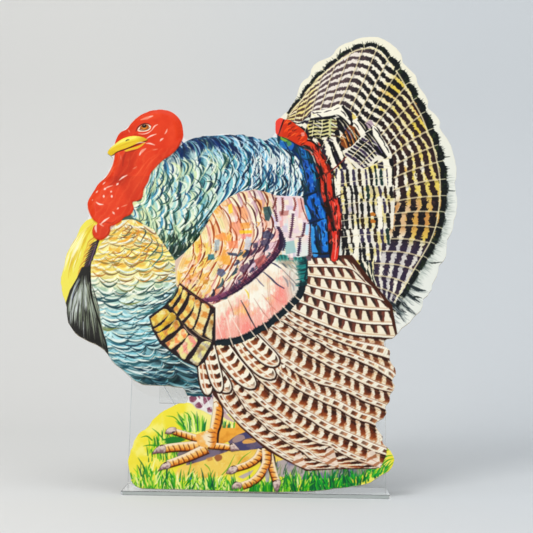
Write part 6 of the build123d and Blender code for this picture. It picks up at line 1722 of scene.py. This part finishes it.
def legs():
    # belly feathers, dull rose spots on grey white
    fill([(184, 386), (216, 386), (222, 400), (228, 412), (216, 418), (209, 415), (204, 412), (196, 409), (190, 402), (186, 393)],
         lambda X, Y: mix(hexc('e4e0dd'), hexc('cfc6c8'), smooth(0.4, 0.7, N_MID[_w(X, Y)])), soft=1, height=1.4)
    for pts in ([(187, 392), (191, 389), (194, 391), (191, 395), (188, 395)], [(189, 398), (193, 396), (197, 399), (194, 403), (190, 402)], [(196, 391), (200, 389), (204, 391), (201, 395), (198, 398)],
                [(206, 388), (211, 387), (213, 391), (209, 393)], [(203, 397), (208, 395), (211, 399), (207, 403), (204, 405)], [(195, 406), (199, 403), (203, 406), (201, 409), (197, 409)],
                [(207, 409), (211, 408), (212, 413), (208, 413)], [(198, 398), (200, 396), (200, 400)], [(212, 396), (215, 394), (216, 398), (213, 400)]):
        fill(pts, lambda X, Y: mix(hexc('86495f'), hexc('b98a98'), smooth(0.45, 0.75, N_FINE[_w(X, Y)])), soft=2, smoothn=40)
    for pts in ([(191, 388), (197, 398), (204, 409)], [(200, 387), (206, 398), (211, 410)], [(209, 386), (213, 396), (215, 406)]):
        stroke(pts, 0.7, hexc('f3f0ee'), alpha=0.9)
    fill([(216, 392), (220, 402), (226, 414), (236, 424), (226, 420), (217, 412), (214, 404)], hexc('c9a8ae'), alpha=0.9, soft=2)
    # thigh edge, dark
    stroke([(215, 390), (217, 398), (221, 406)], 2.6, hexc('6a3424'), taper=(0.8, 0.6), alpha=0.9)
    # left shank
    S_ = [(213.5, 398), (212.6, 410), (210.6, 424), (209, 438), (208, 447)]
    R_ = [(218, 403), (222.4, 411), (220, 425), (217, 438), (216, 447)]
    P = loft([S_, R_])
    q = win(P)
    n1, n2 = N_FINE[q], N_MID[q]
    u, v = P.U, P.V
    c = mix(hexc('efdcb8'), hexc('eba648'), smooth(0.25, 0.45, v + (n1 - 0.5) * 0.25))
    c = mix(c, hexc('e68a24'), smooth(0.5, 0.8, v) * 0.8)
    t = u * P.len / 4.6
    f = t - np.floor(t)
    c = mix(c, hexc('7a3614'), (1 - smooth(0.05, 0.18, np.abs(f - 0.5))) * (1 - smooth(0.08, 0.22, np.abs(v - 0.55))) * 0.9)
    c = mix(c, hexc('b85f1c'), (1 - smooth(0.05, 0.2, np.abs(f - 0.5 - 0.3 * (v - 0.5)))) * smooth(0.55, 0.7, v) * 0.6)
    put(P, c, height=2.0 + 0.7 * np.sin(np.pi * v))
    stroke([(219, 403), (223, 411), (221, 426), (218.4, 434), (217.6, 446)], 2.0, hexc('3a2118'), taper=(0.6, 0.9))
    stroke([(214, 398), (213, 410), (211, 424), (209, 438)], 0.6, hexc('a9a49c'), alpha=0.8)
    fill([(213, 400), (215.6, 392), (218, 400), (218.6, 408), (215, 408)], hexc('efe6cf'), soft=2, alpha=0.95)
    stroke([(214, 404), (216.6, 403), (218, 405)], 0.8, hexc('b9793a'))
    # shank joint and toes of the left foot
    leg_seg([(205, 447), (190, 447.6), (176, 448.5), (163, 450)], 10.5, 8.2, 2)
    leg_seg([(207, 450), (194, 456), (182, 461), (168, 465.6)], 10.5, 8.0, 3)
    leg_seg([(203, 440.5), (193, 438.6), (184, 435.6), (174, 432.5)], 7.4, 6.4, 4)
    leg_seg([(208, 446.8), (217, 447.6), (226, 448.4), (232, 449.4)], 7.0, 6.0, 5)
    fill([(196, 436), (206, 432), (212, 430), (216, 440), (215, 447), (206, 449), (198, 446)], lambda X, Y: mix(mix(hexc('efdfc0'), hexc('eeb45c'), smooth(0.4, 0.62, N_MID[_w(X, Y)])), hexc('df8c30'), smooth(209, 214, X + (N_FINE[_w(X, Y)] - 0.5) * 3)),
         soft=3, height=2.6, smoothn=60)
    for y in (433, 438, 443):
        stroke([(208, y), (211, y + 1), (215, y + 0.6)], 0.9, hexc('7a3614'), alpha=0.85, taper=(0.4, 0.7))
    claw([(152, 455.4), (155, 450.6), (160, 446.6), (163.6, 446), (166, 450), (165, 454), (159, 454.4)])
    claw([(158.4, 472.6), (161, 467.6), (165, 463.6), (169, 463.6), (171, 467), (168.6, 470), (163, 471)])
    claw([(165, 434.6), (167, 430.6), (171, 428.4), (176, 429), (175, 433.4), (170, 435.2)])
    claw([(230, 447), (233, 444.4), (236, 447), (239.6, 451.6), (235.6, 452.4), (231, 452.8)])
    for (x, y) in ((161.6, 447), (165.4, 464.6), (173.6, 433.6), (231, 446)):
        stroke([(x - 1.2, y + 0.6), (x, y - 0.6), (x + 1.6, y)], 1.3, hexc('3a1a10'), taper=(0.5, 0.5))
    # right foot, toes meeting at the feathers
    fill([(258, 451), (264, 448), (270, 452), (275, 458), (276, 468), (268, 470), (262, 468), (259, 460)], hexc('3d2218'), soft=2, height=1.2)
    leg_seg([(268.6, 454), (271, 466), (274.4, 478), (277.6, 487)], 7.6, 7.4, 9)
    leg_seg([(261.6, 452), (257, 460), (248, 466.4), (236, 470.6)], 8.6, 6.6, 7)
    leg_seg([(266.6, 450), (266.4, 464), (260, 477), (252, 484.4), (242, 488.6)], 9.6, 7.6, 8)
    claw([(226, 475.4), (228.6, 470.6), (233, 467.6), (237.4, 470), (236, 474.4), (231, 476.4)])
    claw([(230, 492), (233, 487), (237.4, 484.6), (241.6, 487), (240.6, 491), (235, 492)])
    claw([(272.6, 485), (277, 482.6), (280.4, 484), (279.6, 489.6), (276.6, 495), (273.6, 490)])
    for (x, y) in ((233.4, 468.4), (235.6, 484.8), (274.6, 484)):
        stroke([(x - 1.6, y + 0.8), (x, y - 0.6), (x + 1.8, y)], 1.3, hexc('3a1a10'), taper=(0.5, 0.5))
    fill([(252, 478), (258, 474), (262, 471), (262.6, 478), (259, 484)], hexc('b7a6bb'), alpha=0.0)
    fill([(238, 479), (246, 475), (254, 471.6), (250, 477), (243, 481)], hexc('b7a8ba'), soft=2, alpha=0.85)
    fill([(265, 478), (267.6, 470), (269.6, 478), (269, 484), (266, 485)], hexc('aaa4b4'), soft=2, alpha=0.85)
    for i in range(40):
        rr = np.random.RandomState(i)
        x = 246 + 40 * rr.rand()
        if 238 < x < 252 or 270 < x < 282:
            continue
        blade(rr, x, 494 + 2 * rr.rand(), 6 + 7 * rr.rand(), -1.5 + 3 * rr.rand(), ['2fa01c', '0c7a30', '78c81e', '0a8f38'][int(4 * rr.rand())], 1.3)
    for i in range(26):
        rr = np.random.RandomState(100 + i)
        x = 224 + 22 * rr.rand()
        blade(rr, x, 495 + rr.rand(), 3 + 4 * rr.rand(), -1.5 + 3 * rr.rand(), ['2fa01c', '78c81e', 'e8ec8a', '3fae2a'][int(4 * rr.rand())], 1.2)


def paint_all():
    ground()
    tail()
    flight()
    under_body()
    upper_back()
    breast()
    rose()
    coverts()
    gold()
    bands()
    hackle_and_beard()
    head()


paint_all()

# ======================================================================
# From artwork units to the card plane
# ======================================================================
LEAN = math.radians(20.8428)
P_BACK = np.array([0.0, -20.6, 3.23])                    # foot of the card's back face, mm
AX_A = np.array([1.0, 0.0, 0.0])
AX_B = np.array([0.0, math.sin(LEAN), math.cos(LEAN)])
AX_N = np.array([0.0, -math.cos(LEAN), math.sin(LEAN)])
EYE = np.array([21.1, -1157.6, 153.4])
AZ, PITCH, ROLL = math.radians(0.744), math.radians(1.562), math.radians(0.765)
FOCAL = 1412.2
T_BOARD, T_CARD = 1.25, 1.6


def axes():
    d = np.array([-math.sin(AZ) * math.cos(PITCH), math.cos(AZ) * math.cos(PITCH), math.sin(PITCH)])
    r = np.cross(d, [0, 0, 1])
    r /= np.linalg.norm(r)
    u = np.cross(r, d)
    c, s = math.cos(ROLL), math.sin(ROLL)
    return c * r + s * u, -s * r + c * u, d


R_, U_, D_ = axes()


def to_art(ab):
    """Card plane millimetres to artwork units (the artwork is laid out as seen from the front)."""
    ab = np.asarray(ab, float)
    corr = np.full(ab.shape[:-1], 0.4)
    for _ in range(4):
        Q = P_BACK + T_CARD * AX_N + ab[..., :1] * AX_A + (ab[..., 1:] - corr[..., None]) * AX_B - EYE
        z = Q @ D_
        x = 266.5 + FOCAL * (Q @ R_) / z
        y = 266.5 - FOCAL * (Q @ U_) / z
        g = np.clip(1 - ((x - 264) / 135) ** 2, 0, None)
        h = np.clip((y - 400) / 95, 0, 1) ** 2
        corr = 0.4 + 1.73 * g * h
    return x, y


def boxblur(a, k, n=1):
    """n passes of a (2k+1) box blur over the first two axes."""
    for _ in range(n):
        for ax in (0, 1):
            pad = [(0, 0)] * a.ndim
            pad[ax] = (k + 1, k)
            c = np.cumsum(np.pad(a, pad, mode='edge'), axis=ax, dtype=np.float64)
            m = 2 * k + 1
            hi = np.take(c, range(m, c.shape[ax]), axis=ax)
            lo = np.take(c, range(0, c.shape[ax] - m), axis=ax)
            a = ((hi - lo) / m).astype(np.float32)
    return a


def sample(img, x, y):
    """Bilinear look-up of a canvas array at artwork units."""
    fx = np.clip((x - X0) * S - 0.5, 0, CW - 1.001)
    fy = np.clip((y - Y0) * S - 0.5, 0, CH - 1.001)
    xi, yi = fx.astype(int), fy.astype(int)
    fx, fy = fx - xi, fy - yi
    if img.ndim == 3:
        fx, fy = fx[..., None], fy[..., None]
    return ((img[yi, xi] * (1 - fx) + img[yi, xi + 1] * fx) * (1 - fy)
            + (img[yi + 1, xi] * (1 - fx) + img[yi + 1, xi + 1] * fx) * fy)


def srgb_to_linear(c):
    c = np.clip(c, 0, 1)
    return np.where(c <= 0.04045, c / 12.92, ((c + 0.055) / 1.055) ** 2.4)


def dense_outline(step):
    p = np.array(OUTLINE_MM, float)
    q = np.vstack([p, p[:1]])
    s = np.concatenate([[0], np.cumsum(np.hypot(*np.diff(q, axis=0).T))])
    t = np.arange(0, s[-1], step)
    return np.stack([np.interp(t, s, q[:, 0]), np.interp(t, s, q[:, 1])], 1)


RIM_PTS = dense_outline(0.2)


def grid_mask(cell):
    """Cells of a square grid whose centre lies inside the cut outline."""
    p = np.array(OUTLINE_MM, float)
    a0, b0 = p.min(0) - 2 * cell
    a1, b1 = p.max(0) + 2 * cell
    na, nb = int((a1 - a0) / cell) + 1, int((b1 - b0) / cell) + 1
    ca = a0 + (np.arange(na) + 0.5) * cell
    cb = b0 + (np.arange(nb) + 0.5) * cell
    ins = np.zeros((nb, na), bool)
    n = len(p)
    for i in range(n):
        (x1, y1), (x2, y2) = p[i], p[(i + 1) % n]
        if y1 == y2:
            continue
        r = (cb >= min(y1, y2)) & (cb < max(y1, y2))
        xs = x1 + (cb[r] - y1) * (x2 - x1) / (y2 - y1)
        ins[r] ^= ca[None, :] < xs[:, None]
    # no single cell bridges: drop cells that touch only by a corner
    for _ in range(3):
        m = np.pad(ins, 1)
        nbr = m[:-2, 1:-1].astype(int) + m[2:, 1:-1] + m[1:-1, :-2] + m[1:-1, 2:]
        ins &= nbr >= 2
        m = np.pad(ins, 1)
        d1 = m[1:-1, 1:-1] & m[2:, 2:] & ~m[2:, 1:-1] & ~m[1:-1, 2:]
        d2 = m[1:-1, 2:] & m[2:, 1:-1] & ~m[1:-1, 1:-1] & ~m[2:, 2:]
        ins |= np.roll(d1, 0) | d2
        fixr = np.pad(d1, ((1, 0), (0, 0)))[:-1]
        ins |= fixr & False
    return ins, a0, b0, cell


def edge_distance(ins, cell, reach):
    """Distance in mm from each cell to the cut edge, up to reach."""
    d = np.zeros(ins.shape, np.float32)
    m = ins.copy()
    k, dist = 0, 0.0
    while dist < reach:
        d[m] += cell if k % 2 == 0 else cell * 1.0
        p = np.pad(m, 1)
        if k % 2 == 0:
            m = m & p[:-2, 1:-1] & p[2:, 1:-1] & p[1:-1, :-2] & p[1:-1, 2:]
        else:
            m = m & p[:-2, 1:-1] & p[2:, 1:-1] & p[1:-1, :-2] & p[1:-1, 2:] & p[:-2, :-2] & p[2:, 2:] & p[:-2, 2:] & p[2:, :-2]
        dist += cell
        k += 1
    return d


def nearest_on_rim(pt):
    """Nearest outline sample for each point, by a coarse bucket search."""
    out = np.empty_like(pt)
    for i in range(0, len(pt), 400):
        q = pt[i:i + 400]
        lo, hi = q.min(0) - 3, q.max(0) + 3
        c = RIM_PTS[(RIM_PTS >= lo).all(1) & (RIM_PTS <= hi).all(1)]
        d = ((q[:, None, :] - c[None]) ** 2).sum(-1)
        out[i:i + 400] = c[d.argmin(1)]
    return out


def sheet(name, cell, top_fn, bottom_fn, colour_fn, wall_rgb, flip=False):
    """Closed solid over the cut outline. top_fn/bottom_fn(a, b, dist) give the
    height in mm from the card's back plane; colour_fn(a, b, dist) an sRGB colour
    for the shaped face; wall and flat face take wall_rgb."""
    ins, a0, b0, cell = grid_mask(cell)
    nb, na = ins.shape
    used = np.zeros((nb + 1, na + 1), bool)
    full = np.ones((nb + 1, na + 1), bool)
    pi = np.pad(ins, 1)
    c00, c01, c10, c11 = pi[:-1, :-1], pi[:-1, 1:], pi[1:, :-1], pi[1:, 1:]
    used = c00 | c01 | c10 | c11
    full = c00 & c01 & c10 & c11
    idx = -np.ones(used.shape, int)
    idx[used] = np.arange(used.sum())
    J, I = np.nonzero(used)
    ab = np.stack([a0 + I * cell, b0 + J * cell], 1)
    border = ~full[J, I]
    order = np.nonzero(border)[0]
    ab[order] = nearest_on_rim(ab[order])
    dc = edge_distance(ins, cell, 14.0)
    pd = np.pad(dc, 1, mode='edge')
    dv = 0.25 * (pd[:-1, :-1] + pd[:-1, 1:] + pd[1:, :-1] + pd[1:, 1:])
    dv = boxblur(dv, 1, 2)[J, I]
    dv[border] = 0
    top = top_fn(ab[:, 0], ab[:, 1], dv)
    bot = bottom_fn(ab[:, 0], ab[:, 1], dv)
    n = len(ab)
    base = P_BACK + ab[:, :1] * AX_A + ab[:, 1:] * AX_B
    vt = base + top[:, None] * AX_N
    vb = base + bot[:, None] * AX_N
    jj, ii = np.nonzero(ins)
    q = np.stack([idx[jj, ii], idx[jj, ii + 1], idx[jj + 1, ii + 1], idx[jj + 1, ii]], 1)
    # boundary edges, each with the cell to its left
    up = ins & ~pi[2:, 1:-1]
    dn = ins & ~pi[:-2, 1:-1]
    lf = ins & ~pi[1:-1, :-2]
    rt = ins & ~pi[1:-1, 2:]
    E = []
    j, i = np.nonzero(dn)
    E.append(np.stack([idx[j, i], idx[j, i + 1]], 1))
    j, i = np.nonzero(rt)
    E.append(np.stack([idx[j, i + 1], idx[j + 1, i + 1]], 1))
    j, i = np.nonzero(up)
    E.append(np.stack([idx[j + 1, i + 1], idx[j + 1, i]], 1))
    j, i = np.nonzero(lf)
    E.append(np.stack([idx[j + 1, i], idx[j, i]], 1))
    E = np.concatenate(E)
    verts = np.concatenate([vt, vb])
    wall = np.stack([E[:, 1], E[:, 0], E[:, 0] + n, E[:, 1] + n], 1)
    faces = np.concatenate([q, q[:, ::-1] + n, wall])
    kind = np.concatenate([np.zeros(len(q), int), np.ones(len(q), int), np.full(len(wall), 2)])
    # quads that folded flat against the edge are harmless but must not be zero sized
    me = bpy.data.meshes.new(name)
    me.vertices.add(len(verts))
    me.vertices.foreach_set('co', (verts / 1000.0).astype(np.float32).ravel())
    me.loops.add(faces.size)
    me.loops.foreach_set('vertex_index', faces.astype(np.int32).ravel())
    me.polygons.add(len(faces))
    me.polygons.foreach_set('loop_start', np.arange(0, faces.size, 4, dtype=np.int32))
    me.polygons.foreach_set('material_index', (kind > 0).astype(np.int32))
    me.polygons.foreach_set('use_smooth', (kind == 0))
    rgb = np.concatenate([colour_fn(ab[:, 0], ab[:, 1], dv), np.tile(np.asarray(wall_rgb, float), (n, 1))])
    lin = srgb_to_linear(rgb)
    at = me.color_attributes.new(name='ink', type='FLOAT_COLOR', domain='POINT')
    at.data.foreach_set('color', np.concatenate([lin, np.ones((len(lin), 1))], 1).astype(np.float32).ravel())
    me.update(calc_edges=True)
    me.validate()
    ob = bpy.data.objects.new(name, me)
    bpy.context.scene.collection.objects.link(ob)
    return ob


# ---------------------------------------------------------------- relief
relief = boxblur(hgt, 3, 2)
fine = hgt - boxblur(hgt, 6, 2)
relief = relief + 0.45 * fine
colf = boxblur(col, 1, 1)
colf = colf + 0.35 * (colf - boxblur(colf, 2, 1))        # keep brush lines crisp after sampling


colf = np.clip(colf, 0, 1) ** 1.12


def face_top(a, b, d):
    x, y = to_art(np.stack([a, b], -1))
    r = sample(relief, x, y)
    r = r * smooth(0.0, 7.0, d) ** 0.8
    return T_CARD + np.clip(r, 0, 4.2)


def face_colour(a, b, d):
    x, y = to_art(np.stack([a, b], -1))
    c = sample(colf, x, y)
    n = sample(N_FINE, x, y)
    # paler in broken patches within about a millimetre of the cut edge
    edge_paling = (1 - smooth(0.15, 0.9, d)) * smooth(0.42, 0.62, n) * 0.65
    c = c * (1 - edge_paling[:, None]) + np.array([0.90, 0.87, 0.79]) * edge_paling[:, None]
    return np.clip(c, 0, 1)


def flat(h):
    return lambda a, b, d: np.full(a.shape, h)


def board_back(a, b, d):
    x, y = to_art(np.stack([a, b], -1))
    r = sample(relief, x, y) * smooth(0.0, 9.0, d)
    return np.clip(0.22 * r, 0, 0.75)


CELL = 0.45
face = sheet('printed_ply', CELL, face_top, flat(T_BOARD + 0.01), face_colour, (0.88, 0.85, 0.78))
board = sheet('pulp_core', 1.2, flat(T_BOARD), board_back, lambda a, b, d: np.tile([0.72, 0.66, 0.56], (len(a), 1)), (0.70, 0.64, 0.54))
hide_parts('printed_face')
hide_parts('core_board')
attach(face, 'turkey_card')
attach(board, 'turkey_card')


# ---------------------------------------------------------------- materials
def new_mat(name):
    m = bpy.data.materials.new(name)
    m.use_nodes = True
    nt = m.node_tree
    b = nt.nodes['Principled BSDF']
    return m, nt, b


def ink_material():
    m, nt, b = new_mat('printed_paper')
    at = nt.nodes.new('ShaderNodeAttribute')
    at.attribute_name = 'ink'
    nt.links.new(at.outputs['Color'], b.inputs['Base Color'])
    tc = nt.nodes.new('ShaderNodeTexCoord')
    nz = nt.nodes.new('ShaderNodeTexNoise')
    nz.inputs['Scale'].default_value = 900.0
    nz.inputs['Detail'].default_value = 3.0
    nt.links.new(tc.outputs['Object'], nz.inputs['Vector'])
    bp = nt.nodes.new('ShaderNodeBump')
    bp.inputs['Strength'].default_value = 0.10
    bp.inputs['Distance'].default_value = 0.0002
    nt.links.new(nz.outputs['Fac'], bp.inputs['Height'])
    nt.links.new(bp.outputs['Normal'], b.inputs['Normal'])
    b.inputs['Roughness'].default_value = 0.42
    b.inputs['Specular IOR Level'].default_value = 0.12
    b.inputs['Coat Weight'].default_value = 0.0
    return m


def fibre_material(name, rgb, rough=0.85, dark=0.82):
    m, nt, b = new_mat(name)
    tc = nt.nodes.new('ShaderNodeTexCoord')
    nz = nt.nodes.new('ShaderNodeTexNoise')
    nz.inputs['Scale'].default_value = 260.0
    nz.inputs['Detail'].default_value = 8.0
    nt.links.new(tc.outputs['Object'], nz.inputs['Vector'])
    rp = nt.nodes.new('ShaderNodeValToRGB')
    lin = srgb_to_linear(np.array(rgb))
    rp.color_ramp.elements[0].position = 0.35
    rp.color_ramp.elements[1].position = 0.65
    rp.color_ramp.elements[0].color = tuple(float(v) * dark for v in lin) + (1,)
    rp.color_ramp.elements[1].color = tuple(float(v) for v in lin) + (1,)
    nt.links.new(nz.outputs['Fac'], rp.inputs['Fac'])
    nt.links.new(rp.outputs['Color'], b.inputs['Base Color'])
    bp = nt.nodes.new('ShaderNodeBump')
    bp.inputs['Strength'].default_value = 0.25
    bp.inputs['Distance'].default_value = 0.0003
    nt.links.new(nz.outputs['Fac'], bp.inputs['Height'])
    nt.links.new(bp.outputs['Normal'], b.inputs['Normal'])
    b.inputs['Roughness'].default_value = rough
    b.inputs['Specular IOR Level'].default_value = 0.2
    return m


ink = ink_material()
cut = fibre_material('cut_paper_edge', (0.90, 0.87, 0.80))
pulp = fibre_material('pulp_board', (0.72, 0.66, 0.56))
face.data.materials.append(ink)
face.data.materials.append(cut)
board.data.materials.append(pulp)
board.data.materials.append(pulp)


def acrylic(name, tint, rough, trans=1.0, shadow=0.92):
    m, nt, b = new_mat(name)
    b.inputs['Base Color'].default_value = tuple(tint) + (1,)
    b.inputs['Roughness'].default_value = rough
    b.inputs['IOR'].default_value = 1.49
    b.inputs['Transmission Weight'].default_value = trans
    out = nt.nodes['Material Output']
    lp = nt.nodes.new('ShaderNodeLightPath')
    tr = nt.nodes.new('ShaderNodeBsdfTransparent')
    tr.inputs['Color'].default_value = (shadow, shadow, shadow, 1)
    mx = nt.nodes.new('ShaderNodeMixShader')
    nt.links.new(lp.outputs['Is Shadow Ray'], mx.inputs[0])
    nt.links.new(b.outputs['BSDF'], mx.inputs[1])
    nt.links.new(tr.outputs['BSDF'], mx.inputs[2])
    nt.links.new(mx.outputs['Shader'], out.inputs['Surface'])
    return m


clear = acrylic('clear_acrylic', (0.985, 0.99, 0.985), 0.015)
# the ledge's front edge: rougher sawn finish and the sheet's green edge tint, with its base colour also darkened as
# painted shade for the dark look of that edge
sawn_and_shaded = acrylic('acrylic_sawn_edge_painted_shade', (0.47, 0.51, 0.49), 0.35, trans=0.35, shadow=0.75)
polished = acrylic('acrylic_polished_edge', (0.80, 0.84, 0.82), 0.12, trans=0.8, shadow=0.85)
for node in ('easel_ledge_and_back', 'easel_rear_leg'):
    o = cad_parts[node]
    o.data.materials.clear()
    for m in (clear, sawn_and_shaded, polished):
        o.data.materials.append(m)
    mw = o.matrix_world
    for p in o.data.polygons:
        c = mw @ p.center
        nrm = (mw.to_3x3() @ p.normal).normalized()
        k = 0
        if node == 'easel_ledge_and_back' and nrm.y < -0.85 and c.y < -0.024:
            k = 1
        elif abs(nrm.x) > 0.9:
            k = 2
        p.material_index = k

# ---------------------------------------------------------------- set, light, camera
sc = bpy.context.scene


def plain(name, rgb, rough=0.9):
    m, nt, b = new_mat(name)
    b.inputs['Base Color'].default_value = tuple(rgb) + (1,)
    b.inputs['Roughness'].default_value = rough
    b.inputs['Specular IOR Level'].default_value = 0.1
    return m


# seamless paper sweep
prof = [(-3.0, 0.0)]
for k in range(25):
    t = math.radians(90 * k / 24)
    prof.append((0.55 + 0.5 * math.sin(t), 0.5 - 0.5 * math.cos(t)))
prof.append((1.05, 3.0))
vs, fs = [], []
for (y, z) in prof:
    vs += [(-3.5, y, z), (3.5, y, z)]
for k in range(len(prof) - 1):
    fs.append((2 * k, 2 * k + 1, 2 * k + 3, 2 * k + 2))
me = bpy.data.meshes.new('sweep')
me.from_pydata(vs, [], fs)
for p in me.polygons:
    p.use_smooth = True
sweep = bpy.data.objects.new('sweep', me)
sweep.location = (0, 0, -0.0006)
sc.collection.objects.link(sweep)
m_sw, nt, b = new_mat('sweep_paper')
b.inputs['Roughness'].default_value = 0.9
b.inputs['Specular IOR Level'].default_value = 0.1
# painted light falloff: the paper is brighter and warmer at the left and a darker, cooler grey on the right
tc = nt.nodes.new('ShaderNodeTexCoord')
sx = nt.nodes.new('ShaderNodeSeparateXYZ')
mr = nt.nodes.new('ShaderNodeMapRange')
mr.inputs['From Min'].default_value, mr.inputs['From Max'].default_value = -0.34, 0.34
sweep_painted_falloff = nt.nodes.new('ShaderNodeValToRGB')
sweep_painted_falloff.color_ramp.interpolation = 'EASE'
for el, k in zip(sweep_painted_falloff.color_ramp.elements, ((1.065, 1.045, 1.005), (0.955, 0.985, 1.005))):
    el.color = tuple(SWEEP_RGB[i] * k[i] for i in range(3)) + (1,)
nt.links.new(tc.outputs['Object'], sx.inputs[0])
nt.links.new(sx.outputs['X'], mr.inputs['Value'])
nt.links.new(mr.outputs['Result'], sweep_painted_falloff.inputs['Fac'])
nt.links.new(sweep_painted_falloff.outputs['Color'], b.inputs['Base Color'])
# seen from behind, the backdrop is clear, so that the object can be viewed from all round
geo = nt.nodes.new('ShaderNodeNewGeometry')
clear = nt.nodes.new('ShaderNodeBsdfTransparent')
both = nt.nodes.new('ShaderNodeMixShader')
out_ = [n for n in nt.nodes if n.type == 'OUTPUT_MATERIAL'][0]
nt.links.new(geo.outputs['Backfacing'], both.inputs[0])
nt.links.new(b.outputs[0], both.inputs[1])
nt.links.new(clear.outputs[0], both.inputs[2])
nt.links.new(both.outputs[0], out_.inputs['Surface'])
me.materials.append(m_sw)


def area(name, loc, aim, size, power, rgb=(1, 1, 1)):
    ld = bpy.data.lights.new(name, 'AREA')
    ld.shape = 'RECTANGLE'
    ld.size, ld.size_y = size
    ld.energy = power
    ld.color = rgb
    o = bpy.data.objects.new(name, ld)
    sc.collection.objects.link(o)
    from mathutils import Vector
    d = Vector(aim) - Vector(loc)
    o.location = loc
    o.rotation_euler = d.to_track_quat('-Z', 'Y').to_euler()
    return o


area('key', (-0.9, -1.5, 1.5), (0, 0, 0.2), (0.9, 0.9), KEY_W, (1.0, 0.99, 0.97))
area('fill', (1.3, -1.3, 0.7), (0, 0, 0.2), (1.4, 1.2), FILL_W, (0.93, 0.96, 1.0))
area('top', (0.1, 0.2, 1.9), (0, 0.1, 0.1), (1.6, 1.2), TOP_W)

wd = bpy.data.worlds.new('world')
wd.use_nodes = True
bg = wd.node_tree.nodes['Background']
bg.inputs['Color'].default_value = (0.97, 0.985, 1.0, 1)
bg.inputs['Strength'].default_value = WORLD_S
sc.world = wd

cd = bpy.data.cameras.new('camera')
cd.sensor_width = 36.0
cd.lens = FOCAL * 36.0 / 533.0
cd.clip_start, cd.clip_end = 0.05, 50
cam = bpy.data.objects.new('camera', cd)
sc.collection.objects.link(cam)
from mathutils import Matrix
M = Matrix(((R_[0], U_[0], -D_[0], EYE[0] / 1000), (R_[1], U_[1], -D_[1], EYE[1] / 1000), (R_[2], U_[2], -D_[2], EYE[2] / 1000), (0, 0, 0, 1)))
cam.matrix_world = M
sc.camera = cam
sc.view_settings.view_transform = 'Standard'
sc.view_settings.look = 'None'
sc.view_settings.exposure = 0.0
sc.view_settings.gamma = 1.0

bpy.context.view_layer.update()
